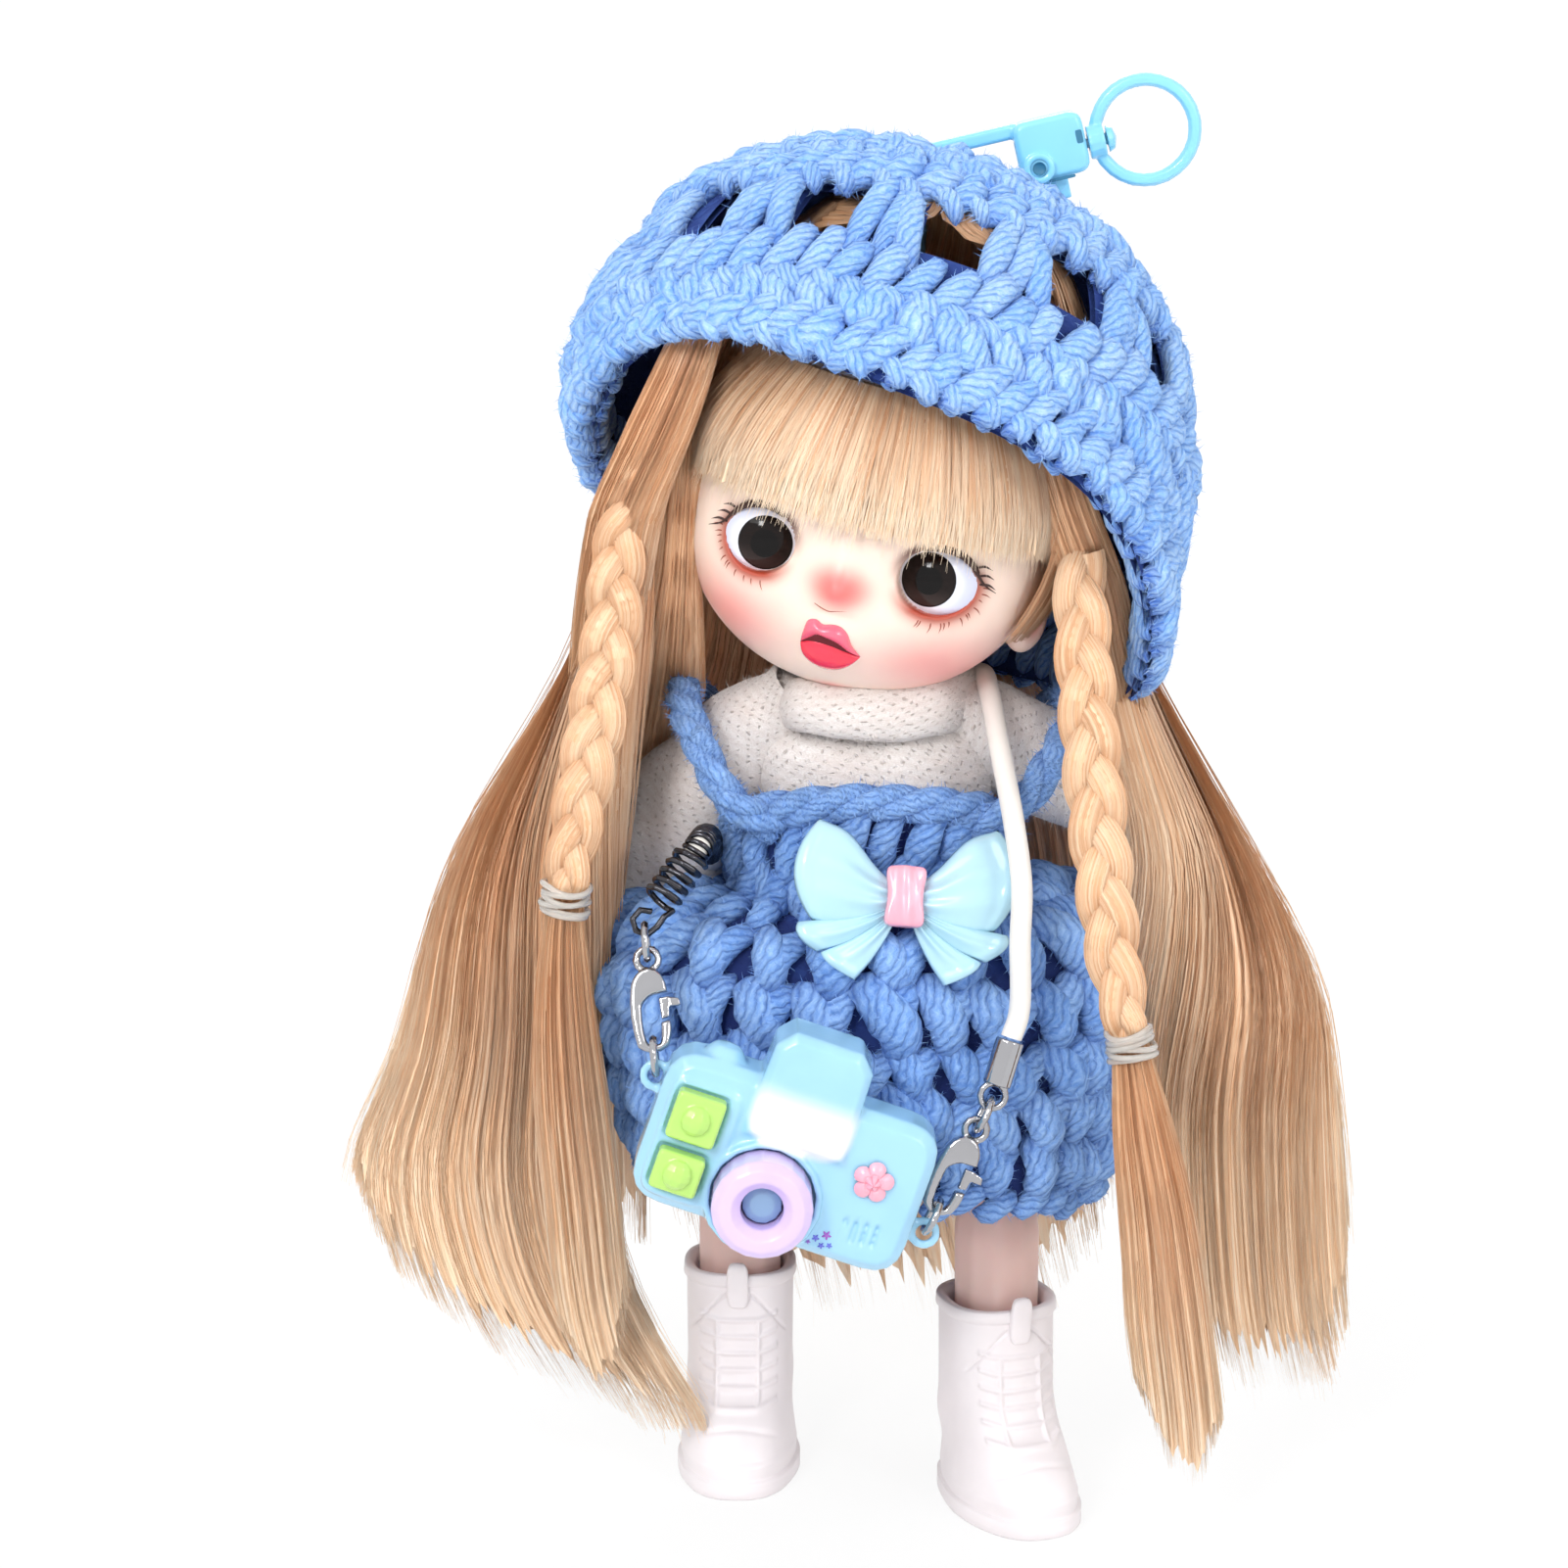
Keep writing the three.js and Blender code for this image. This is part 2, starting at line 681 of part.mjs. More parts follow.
function bootSolid(side) {
  const half = bootBallWidth / 2;
  const sole = [
    bootRing(0, bootToe - 0.3, bootHeel - 0.3, half - 0.3),
    bootRing(0.4, bootToe, bootHeel, half),
    bootRing(soleThickness, bootToe, bootHeel, half),
    bootRing(soleThickness + 0.1, bootToe - 0.5, bootHeel - 0.5, half - 0.5),
  ];
  const upper = [
    bootRing(4, bootToe - 0.4, bootHeel - 0.5, half - 0.4),
        bootRing(8.6, bootToe - 4, bootHeel - 0.8, half - 1),
    bootRing(10.6, 9.4, bootShaftRadius + 0.4, bootShaftRadius + 0.1),
    bootRing(14, bootShaftRadius + 0.9, bootShaftRadius, bootShaftRadius - 0.1),
    bootRing(bootHeight - 1.6, bootShaftRadius, bootShaftRadius, bootShaftRadius),
    bootRing(bootHeight - 1.4, bootShaftRadius + 0.4, bootShaftRadius + 0.4, bootShaftRadius + 0.4),
    bootRing(bootHeight, bootShaftRadius + 0.3, bootShaftRadius + 0.3, bootShaftRadius + 0.3),
  ];
  const toeCavity = loft([
    oval(0, -3.6, soleThickness, 4.6, 9, { count: 14 }),
    oval(0, -3.4, soleThickness + 2.6, 5, 8.8, { count: 14 }),
    oval(0, -1.2, soleThickness + 5.4, 5, 6.4, { count: 14 }),
  ]);
  const shaftTop = [0, 0, bootHeight + 1];
  const shaftCavity = cylinderAlong([0, 0, soleThickness], shaftTop, bootShaftRadius - bootWall, 16);
  const tabBack = -bootShaftRadius + 0.5;
  const tab = box([-1.4, tabBack - 1.2, bootHeight - 4], [1.4, tabBack, bootHeight + 2]);
  const shell = cut(join(loft([...sole, ...upper]), tab), toeCavity, shaftCavity);
  return moved(shell, bootFrame(side));
}

function armPoints(side) {
  return side < 0
    ? [shoulderOf(side), rightElbow, rightWrist, rightFingers]
    : [shoulderOf(side), leftElbow, leftWrist, leftFingers];
}

function upperArmSolid(side, grow = 0) {
  const [shoulder, elbow] = armPoints(side);
  const radii = [
    [0.26, upperArmRadius - 0.5 + grow], [0.55, upperArmRadius + grow],
    [0.86, upperArmRadius - 0.2 + grow], [0.93, elbowBall + grow],
  ];
  return limbSolid(shoulder, elbow, radii, shoulderBall + grow, grow ? 0 : elbowBall);
}

function forearmSolid(side, grow = 0) {
  const [, elbow, wrist] = armPoints(side);
  const radii = [
    [0.26, forearmRadius - 0.4 + grow], [0.5, forearmRadius + grow], [0.9, forearmRadius - 0.6 + grow],
    [0.95, wristBall - 0.1 + grow],
  ];
  return limbSolid(elbow, wrist, radii, elbowBall + grow, grow ? 0 : wristBall);
}

function handSolid(side, grow = 0) {
  const [, , wrist, fingers] = armPoints(side);
  const length = vec(wrist).distanceTo(vec(fingers));
  const palm = rodBetween(wrist, fingers, [
    [0, -wristBall - grow], [wristBall * 0.8 + grow, -wristBall * 0.6], [wristBall + grow, 0.2],
    [wristBall * 0.85 + grow, length * 0.25], [2.5 + grow, length * 0.5], [2.3 + grow, length * 0.75],
    [1.4 + grow, length * 0.95], [0, length + grow],
  ], 12);
  const middle = vec(wrist).lerp(vec(fingers), 0.35);
  const tip = middle.clone().add(new THREE.Vector3(-side * 0.8, -3.2, -2.6));
  return join(palm, rodBetween(middle.toArray(), tip.toArray(), [
    [0, -0.9 - grow], [1 + grow, 0], [0.95 + grow, 2.6], [0, 3.9 + grow],
  ], 8));
}

// Sleeves hang in the sweater's armholes and stop short of straps, bib and skirt

function sleeveCentres(side) {
  const [shoulder, elbow] = armPoints(side).map(vec);
  const along = elbow.clone().sub(shoulder).normalize();
  return [0, 0.2, 0.45, 0.75, 1.04].map((share) => shoulder.clone()
    .addScaledVector(along, share * shoulder.distanceTo(elbow)));
}

function sleeveSolid(side, grow = 0) {
  const radii = [5.6, 7.2, 7.9, 8.2, cuffRadius];
  const centres = sleeveCentres(side);
  const along = centres.at(-1).clone().sub(centres[0]).normalize();
  const right = new THREE.Vector3().crossVectors(along, new THREE.Vector3(0, 1, 0)).normalize();
  const front = new THREE.Vector3().crossVectors(right, along);
  const ringAt = (k, radius, shift = 0) => Array.from({ length: 10 }, (_, i) => {
    const angle = (i / 10) * 2 * Math.PI;
    return centres[k].clone()
      .addScaledVector(along, shift)
      .addScaledVector(right, radius * Math.cos(angle))
      .addScaledVector(front, radius * Math.sin(angle));
  });
  const outer = radii.map((radius, k) => ringAt(k, radius + grow, k === 4 ? grow : 0));
  if (grow) {
    return loft(outer);
  }
  const inner = radii.map((radius, k) => ringAt(k, radius - sleeveWall));
  const strap = strapSolid(side < 0 ? rightStrap : leftStrap, gap);
  const clothes = [sweaterEnvelope(gap), bibEnvelope(gap), skirtEnvelope(gap), strap, cordSolid(gap)];
  const shell = cut(wall(outer, inner), ...clothes);
  return largestBody(shell);
}

function bibEnvelope(grow) {
  const rings = [bibFoot, waistHeight, bibSide - 1].map((level) => bibRing(dressWall + grow, level, false));
  rings.push(bibRing(dressWall + grow, 86, true).map((point) => point.setZ(point.z + grow)));
  return loft(rings);
}

// Head: one surface gives the shell, its hollow and what lies on it

function headPoint(turn, rise, grow) {
  const [side, back] = [Math.sin(turn), -Math.cos(turn)];
  const low = rise < 0;
  const level = Math.cos(rise) ** (low ? 0.78 : 0.95);
  const jaw = low ? 1 - 0.1 * Math.sin(-rise) ** 2 : 1;
  const x = side * level * (headHalfWidth + grow) * jaw;
  const z = Math.sin(rise) * ((low ? chinDrop : skullRise) + grow);
  let y = back * level * ((back < 0 ? faceDepth : skullDepth) + grow);
  if (back < 0) {
    const front = Math.min(1, -back * 1.6) * level;
    const ax = Math.abs(x);
    y -= front * (
      2.2 * bump(x / 2.2, (z - noseLevel) / 1.9) + 0.6 * bump(x / 2, (z - noseLevel - 3) / 3.6)
      + 1.3 * bump(x / 3.3, (z - mouthLevel) / 2) + 0.9 * bump(x / 4, (z - mouthLevel + 5) / 2)
      + 0.9 * bump((ax - 12) / 6, (z + 9) / 5)
      - 1.5 * bump((ax - eyeSpread) / 5.2, (z - eyeLevel) / 4.8)
    );
  }
  return new THREE.Vector3(x, y, z);
}

function headSolid(grow = 0, columns = 24, levels = 14) {
  const rings = [];
  for (let k = 0; k <= levels; k += 1) {
    const rise = mix(-0.495, 0.495, k / levels) * Math.PI;
    rings.push(Array.from({ length: columns }, (_, i) => {
      const t = (i / columns) * 2 * Math.PI;
      return headPoint(t - 0.42 * Math.sin(t), rise, grow);
    }));
  }
  return loft(rings);
}

const eyeOf = (side) => [side * eyeSpread, eyeballDepth, eyeLevel];
const eyePinFoot = [5.2, 4, 144];

function headWithEars(grow = 0, columns = 24, levels = 14) {
  const ears = [-1, 1].map((side) => ellipsoid(
    [side * (headHalfWidth - 1.2), 1.5, -6.5], [2.4 + grow, 2.6 + grow, 4 + grow], 10,
  ));
  return join(headSolid(grow, columns, levels), ...ears);
}

function headShellSolid() {
  const hollow = headSolid(-headWall, 14, 8);
  let shell = cut(headWithEars(), hollow);
  for (const side of [-1, 1]) {
    const [x, y, z] = eyeOf(side);
    const lids = toSolid(new THREE.CylinderGeometry(eyeOpening, eyeOpening, 14, 14).translate(x, y - 7, z));
    shell = cut(shell, ball(eyeOf(side), eyeballRadius + gap, 12), lids);
  }
  return cut(shell, moved(neckPostSolid(gap), toHead), moved(eyePinStem(gap), toHead));
}

function eyeballSolid(side) {
  const [x, y, z] = eyeOf(side);
  return join(ball([x, y, z], eyeballRadius, 12), ellipsoid([x, y - 2.4, z], [3.5, 3.4, 3.5], 10));
}

// Hat: crown and brim in the hat's own tilted frame, open row cut through

// Edge of the brim below the widest line: turned up at the left front, pulled down over the left ear
function hatRim(c, s) {
  const turn = Math.atan2(c, -s);
  const flip = 6 * Math.exp(-(((turn + 0.95) / 0.7) ** 2));
  const ear = 11 * Math.exp(-(((turn - 1.6) / 0.62) ** 2));
  const nape = 2 * THREE.MathUtils.smoothstep(Math.abs(turn), 1.7, 2.8);
  return -10.5 + flip - ear - nape;
}

function hatRing(k, offset) {
  // k from 0 at the crown's middle to 1 at the widest line, then to 2 at the brim's edge
  const count = 26;
  return Array.from({ length: count }, (_, i) => {
    const angle = (i / count) * 2 * Math.PI;
    const [c, s] = [Math.cos(angle), Math.sin(angle)];
    const dome = Math.min(1, k) * Math.PI / 2;
    const flare = brimFlare + 2.6 * c;
    const spread = k <= 1 ? Math.sin(dome) ** 0.93 : 1 + (k - 1) ** 2 * flare / hatHalfWidth;
    const z = k <= 1 ? Math.cos(dome) ** 0.95 * (hatRise + offset) : (k - 1) * hatRim(c, s);
    return new THREE.Vector3(c * spread * (hatHalfWidth + offset), s * spread * (hatHalfDepth + offset), z);
  });
}

const hatSteps = [0.02, 0.26, 0.5, 0.74, 1, 1.5, 1.86, 2];

function hatHollow(offset) {
  return loft(hatSteps.map((k) => hatRing(k, offset)).concat([hatRing(2.6, offset)]));
}

function hatSolid() {
  const outer = hatSteps.map((k) => hatRing(k, k === 2 ? -0.6 : 0));
  const inner = hatSteps.map((k) => hatRing(k, -hatWall + (k === 2 ? 0.6 : 0)));
  const capped = [...outer].reverse();
  const domed = cut(loft(capped), loft([hatRing(2.3, -hatWall), ...[...inner].reverse()]));
  const windows = [];
  for (let i = 0; i < holeRowCount; i += 1) {
    const angle = ((i + 0.5) / holeRowCount) * 2 * Math.PI;
    const lean = degrees(i % 2 === 0 ? 14 : -14);
    const pitch = Math.asin(holeRowLevel / hatRise);
    const window = new THREE.BoxGeometry(holeWidth, 16, holeHeight);
    window.rotateY(lean);
    window.rotateX(pitch);
    window.translate(0, -hatHalfDepth * Math.cos(pitch) + 1, holeRowLevel);
    window.rotateZ(angle);
    window.scale(hatHalfWidth / hatHalfDepth, 1, 1);
    windows.push(toSolid(window));
  }
  return cut(domed, ...windows, moved(join(hookSweep(), eyePinSolid(gap)), toHat));
}

// Wig: crown mass, fringe, three curtains and two braids

function wigCapSolid() {
  const mass = ellipsoid([0, 2, 4], [25.4, 24.6, 38], 16);
  const roomy = moved(hatHollow(-hatWall - gap), new THREE.Matrix4().multiplyMatrices(toHead, hatFrame));
  const face = box([-30, -40, -40], [30, -8.8, 16.4]);
  const lower = box([-40, -40, -40], [40, 40, -9]);
  const trimmed = cut(mass.intersect(roomy), headWithEars(gap + 0.5, 18, 12), face, lower);
  return largestBody(cut(trimmed, moved(eyePinSolid(gap), toHead), moved(hookSweep(), toHead)));
}

function fringeSolid() {
  const mass = ellipsoid([0, 0.4, 1], [24.2, 23.4, 27.5], 28);
  const lower = (z) => box([-40, -40, -60], [40, 40, z]);
  const behind = box([-40, -9.1, -60], [40, 60, 60]);
  const above = box([-40, -60, 16.1], [40, 60, 80]);
  return largestBody(cut(mass, headSolid(gap + 0.1, 26, 14), lower(fringeLevel), behind, above));
}

// Curtain levels: height, centre x, centre y, half width, half depth, turn

const rightCurtain = [
  [131, -27.5, 4, 1.6, 8, 4],
  [122, -28, 3, 2.2, 11, 4],
  [112, -29.6, 3, 3, 12, 6],
  [102, -32, 3, 3.8, 12, 10],
  [92, -35.6, 2, 4.6, 11, 24],
  [82, -39.6, 2, 5.4, 9.5, 44],
  [70, -42.6, 1, 8, 6.4, 66],
  [56, -45.6, 0, 11.2, 5, 84],
  [42, -48.6, -1, 15.6, 4.4, 90],
  [30, -46.6, -2, 14.6, 4.2, 90],
  [20, -42.6, -3, 11, 3.6, 90],
  [10, -36, -4, 4.4, 2.4, 90],
];
const leftCurtain = [
  [121, 25.4, 6, 1.6, 8, -4],
  [112, 27, 6, 2.2, 11, -4],
  [102, 29.6, 6, 3.2, 12, -8],
  [92, 33.4, 5, 4.4, 12.5, -14],
  [82, 37.4, 5, 5.6, 12.5, -20],
  [72, 40.4, 4, 7, 12, -40],
  [60, 43.6, 3, 9.4, 9.5, -70],
  [46, 45.8, 2, 12.4, 6, -88],
  [32, 47, 1, 12.4, 4.4, -90],
  [20, 48.4, 1, 10.8, 3.6, -90],
  [12, 50.6, 1, 7, 2.6, -90],
];
const backCurtain = [
  [136, 1, 20.5, 15, 1.4, 0],
  [124, 0, 23, 20, 1.6, 0],
  [112, 0, 22, 22, 1.8, 0],
  [102, 0, 19.4, 23, 1.9, 0],
  [92, 0, 19.8, 27, 2.1, 0],
  [80, 0, 25.4, 31, 2.1, 0],
  [66, 0, 27.9, 34, 2.2, 0],
  [50, 0, 27.5, 35, 2.2, 0],
  [34, 0, 26.6, 31, 2.1, 0],
  [22, 2, 25.8, 25, 1.9, 0],
  [14, 4, 25.4, 14, 1.5, 0],
];

function curtain(levels) {
  return loft(levels.map(([z, x, y, halfWidth, halfDepth, turn]) => {
    const upright = Math.abs(turn) > 60;
    const [a, b] = upright ? [halfDepth, halfWidth] : [halfWidth, halfDepth];
    return oval(x, y, z, a, b, { count: 12, turn, power: 2.4 });
  }));
}

function headWithCollar() {
  return moved(headWithEars(gap + 0.5, 18, 12), headFrame);
}

// The hair parts round each arm by one smooth hollow that holds sleeve, forearm and hand
function armTunnel(side) {
  const [shoulder, elbow, wrist, fingers] = armPoints(side);
  const radii = [7, 9, cuffRadius + 1.8, 6, 4.6, 3.6];
  const past = vec(elbow).addScaledVector(vec(elbow).sub(vec(shoulder)).normalize(), 3).toArray();
  const section = (t) => {
    const k = Math.min(radii.length - 2, Math.floor(t * (radii.length - 1)));
    const radius = mix(radii[k], radii[k + 1], t * (radii.length - 1) - k);
    return [radius, radius];
  };
  return sweep([shoulder, past, wrist, fingers], section, 7, () => new THREE.Vector3(0, -1, 0), 10);
}

function hairTools(side) {
  const tools = [
    headWithCollar(),
    moved(wigMass(), headFrame),
    bibEnvelope(gap),
    skirtEnvelope(gap),
    sweaterEnvelope(gap),
    cordSolid(gap),
  ];
  for (const other of side ? [side] : [-1, 1]) {
    tools.push(armTunnel(other), strapSolid(other < 0 ? rightStrap : leftStrap, gap));
  }
  return tools;
}

function wigMass() {
  const mass = ellipsoid([0, 2, 4], [25.4 + gap, 24.6 + gap, 38], 16);
  return mass.intersect(box([-40, -8.8, -9 - gap], [40, 60, 60]));
}

const roomyHat = () => moved(hatSolidPlain(gap), hatFrame);

function hatSolidPlain(grow) {
  const outer = hatSteps.map((k) => hatRing(k, grow));
  const inner = hatSteps.map((k) => hatRing(k, -hatWall - grow));
  const body = loft([hatRing(2.06, grow), ...outer.reverse()]);
  return cut(body, loft([hatRing(2.3, -hatWall - grow), ...inner.reverse()]));
}

function braidSolid(points, radii, grow = 0) {
  const section = (t) => {
    const place = t * (radii.length - 1);
    const k = Math.min(radii.length - 2, Math.floor(place));
    const radius = mix(radii[k], radii[k + 1], place - k);
    const plait = t < 0.48 ? 1 + 0.09 * Math.sin(t * 60) : 1;
    return [radius * plait + grow, radius * 0.72 * plait + grow];
  };
  return sweep(points, section, 26, () => new THREE.Vector3(0, -1, 0), braidSides);
}

const rightBraid = [
  [-25.6, -10.8, 131], [-29.6, -9.9, 120], [-30.6, -12.4, 110], [-32.6, -16.2, 99], [-34.4, -18.2, 89.6],
  [-36, -19.5, 80], [-36.5, -16, 67.5], [-36, -13, 54],
  [-35, -11.5, 42], [-33.6, -10.5, 26], [-30.4, -9.5, 12],
];
const rightBraidRadii = [1.6, 2.7, 2.9, 2.9, 2.8, 2.1, 3.4, 4.4, 4.6, 3.8, 1.2];
const leftBraid = [
  [23.8, -12.2, 119.4], [24.2, -16.6, 108.6], [25, -20.5, 97.4], [26, -23, 87.3], [27.4, -25.4, 76],
  [29.6, -27, 64.6], [31.4, -26.4, 54], [33.2, -25.4, 44], [35, -24, 30], [37, -22.4, 16], [38, -21.4, 6],
];
const leftBraidRadii = [1.6, 2.8, 3, 3, 2.9, 2.1, 3.6, 4.4, 5, 4.6, 1.8];

function braidCut(points, radii, side) {
  const tools = [
    headWithCollar(), moved(wigMass(), headFrame), roomyHat(),
    skirtEnvelope(gap), cordSolid(gap), bibEnvelope(gap),
    sleeveSolid(side, gap), strapSolid(side < 0 ? rightStrap : leftStrap, gap),
    moved(fringeBlock(), headFrame),
  ];
  return largestBody(cut(braidSolid(points, radii), ...tools));
}

function fringeBlock() {
  return ellipsoid([0, 0.4, 1], [24.2 + gap, 23.4 + gap, 27.5], 28)
    .intersect(box([-40, -60, fringeLevel - gap], [40, -9.1 + gap, 16.4]));
}

function curtainCut(levels, side) {
  const braid = side < 0
    ? braidSolid(rightBraid, rightBraidRadii, gap)
    : braidSolid(leftBraid, leftBraidRadii, gap);
  const locks = [moved(fringeBlock(), headFrame), braid, elasticSolid(side, gap)];
  const tools = [...hairTools(side), roomyHat(), ...locks];
  return largestBody(cut(curtain(levels), ...tools));
}

function backCurtainCut() {
  const neighbours = [rightCurtain, leftCurtain].map((levels) => curtain(levels.map(
    ([z, x, y, a, b, turn]) => [z, x, y, a + gap, b + gap, turn],
  )));
  return largestBody(cut(curtain(backCurtain), ...hairTools(0), roomyHat(), ...neighbours));
}

const elasticShare = 0.5;

function elasticSolid(side, grow = 0) {
  const points = side < 0 ? rightBraid : leftBraid;
  const curve = new THREE.CatmullRomCurve3(points.map(vec), false, 'centripetal');
  const centre = curve.getPoint(elasticShare);
  const along = curve.getTangent(elasticShare);
  const radius = side < 0 ? rightBraidRadii[5] : leftBraidRadii[5];
  const band = revolve([
    [radius + gap + 0.06, -1.9 - grow], [radius + 1.3 + grow, -1.9 - grow], [radius + 1.3 + grow, 1.9 + grow],
    [radius + gap + 0.06, 1.9 + grow], [radius + gap + 0.06, -1.9 - grow],
  ], 12);
  return moved(band, frameAlong(centre.toArray(), centre.clone().add(along).toArray()));
}

// Eye pin, snap hook, gate, swivel and key ring

function eyePinStem(grow = 0) {
  const foot = vec(eyePinFoot);
  const top = vec([eyePin[0], eyePin[1], eyePin[2] - eyePinRing]);
  return cylinderAlong(foot.toArray(), top.toArray(), 0.8 + grow, 10);
}

function eyePinSolid(grow = 0) {
  return join(eyePinStem(grow), ringLink(eyePin, [1, 0, 0], eyePinRing, eyePinWire + grow, 12, 6));
}

function hookShape() {
  const inner = hookOpening;
  const outer = hookOpening + hookWire;
  const centre = inner - eyePinWire - gap;
  const shape = new THREE.Shape();
  shape.moveTo(hookReach, inner + hookWire);
  shape.lineTo(centre, outer);
  shape.absarc(centre, 0, outer, Math.PI / 2, 1.5 * Math.PI, false);
  shape.lineTo(centre + 2.6, -outer);
  shape.quadraticCurveTo(centre + 3.6, -outer + hookWire / 2, centre + 2.6, -inner);
  shape.lineTo(centre, -inner);
  shape.absarc(centre, 0, inner, 1.5 * Math.PI, Math.PI / 2, true);
  shape.lineTo(hookReach, inner);
  shape.lineTo(hookReach, inner + hookWire);
  return shape;
}

const gatePivot = [hookReach + 1.6, -1.4];
const boxStart = hookReach - 0.6;

function hookSolid() {
  const arm = plate(hookShape(), hookWidth, 0.35, [], 5);
  const housing = plate(
    roundedRectangle(boxStart, -clipBoxHeight / 2 + 0.6, clipBoxLength, clipBoxHeight, 1.6),
    clipBoxDepth, 0.5, [], 4,
  );
  const slot = box(
    [boxStart - 1, -hookWidth / 2 - gap, -clipBoxHeight],
    [boxStart + clipBoxLength - 2.6, hookWidth / 2 + gap, hookOpening - 0.6],
  );
  const [px, pz] = gatePivot;
  const rivet = cylinderAlong([px, -clipBoxDepth / 2 - 0.7, pz], [px, clipBoxDepth / 2 + 0.7, pz], 1.7, 16);
  const pin = cylinderAlong([px, -clipBoxDepth / 2, pz], [px, clipBoxDepth / 2, pz], 0.8, 12);
  const gateRoom = box([px - 3, -hookWidth / 2 - gap, pz - 3], [px + 3, hookWidth / 2 + gap, pz + 3]);
  const rivetHeads = cut(rivet, gateRoom);
  const neckBore = cylinderAlong([boxStart + 3, 0, 0], [boxStart + clipBoxLength + 1, 0, 0], swivelPin + gap);
  return join(cut(join(arm, housing), slot, neckBore), rivetHeads, pin);
}

// Room for the hook, at rest and swung up, between the hat's stitches
function hookSweep() {
  const half = hookOpening + hookWire + gap;
  const centre = hookOpening - eyePinWire - gap;
  const outline = roundedRectangle(centre - half, -half, hookReach - centre + half, 2 * half, 2);
  const arm = plate(outline, hookWidth + 4 * gap, 0, [], 2);
  const housing = box(
    [boxStart - 3 * gap, -clipBoxDepth / 2 - 3 * gap, -clipBoxHeight],
    [hookReach + 14, clipBoxDepth / 2 + 3 * gap, half],
  );
  const lifts = [0, hookLift / 2, hookLift].map((angle) => moved(
    arm, frameOf(hookPivot, new THREE.Euler(0, degrees(-hookSlope - angle), 0)),
  ));
  return join(moved(housing, hookFrame), ...lifts);
}

function gateSolid() {
  const [px, pz] = gatePivot;
  const tipX = hookOpening - eyePinWire - gap + 3.1 + gap;
  const barShape = new THREE.Shape();
  barShape.moveTo(tipX, -hookOpening - hookWire + 0.2);
  barShape.lineTo(px, pz - 1.5);
  barShape.absarc(px, pz, 1.5, -Math.PI / 2, Math.PI / 2, false);
  barShape.lineTo(px - 1.2, pz + 0.6);
  barShape.lineTo(tipX + 0.4, -hookOpening);
  barShape.lineTo(tipX, -hookOpening - hookWire + 0.2);
  const bar = plate(barShape, hookWidth - 0.2, 0, [roundHole(px, pz, 0.8 + gap)], 8);
  const thumb = box([px + 1, -hookWidth / 2 + 0.1, pz - 4.4], [px + 3.2, hookWidth / 2 - 0.1, pz - 1.2]);
  const web = box([px + 0.2, -hookWidth / 2 + 0.1, pz - 2.4], [px + 2.4, hookWidth / 2 - 0.1, pz - 1.0]);
  return join(bar, cut(join(thumb, web), cylinderAlong([px, -4, pz], [px, 4, pz], 0.8 + gap, 12)));
}

const swivelStart = boxStart + clipBoxLength + gap;
const swivelEnd = swivelStart + 2 + gap;

function swivelPinSolid() {
  const foot = boxStart + clipBoxLength - 3.4;
  const profile = [
    [0, 0], [hookWidth / 2, 0], [hookWidth / 2, 0.6], [swivelPin, 0.6], [swivelPin, swivelEnd - foot],
    [swivelHead, swivelEnd - foot], [swivelHead * 0.8, swivelEnd - foot + 0.8], [0, swivelEnd - foot + 1.2],
  ];
  return rodBetween([foot, 0, 0], [foot + 1, 0, 0], profile, 12);
}

function swivelRingSolid() {
  const middle = (swivelStart + swivelEnd - gap) / 2;
  const upright = new THREE.Matrix4().makeRotationX(Math.PI / 2);
  const ring = moved(ringLink([0, 0, 0], [0, 0, 1], swivelRingRadius, swivelRingWire, 28, 6), upright);
  const placed = moved(ring, new THREE.Matrix4().makeTranslation(middle + swivelRingRadius, 0, 0));
  const boss = cylinderAlong([swivelStart, 0, 0], [swivelEnd - gap, 0, 0], swivelBoss, 14);
  return cut(
    join(placed, boss),
    cylinderAlong([swivelStart - 1, 0, 0], [swivelEnd + 1, 0, 0], swivelPin + gap, 10),
    cylinderAlong([swivelEnd - gap, 0, 0], [swivelEnd + 1.6, 0, 0], swivelHead + gap, 12),
  );
}

// Toy camera in its own frame: x across, z up, front towards -y

const front = -cameraDepth / 2;

function lensBarrelSolid(grow = 0) {
  const [x, z] = lensSpot;
  return rodBetween([x, front + 1, z], [x, front, z], [
    [0, 0], [lensRadius + 1.3 + grow, 0], [lensRadius + 1 + grow, 2 + grow], [0, 2 + grow],
  ], 16);
}

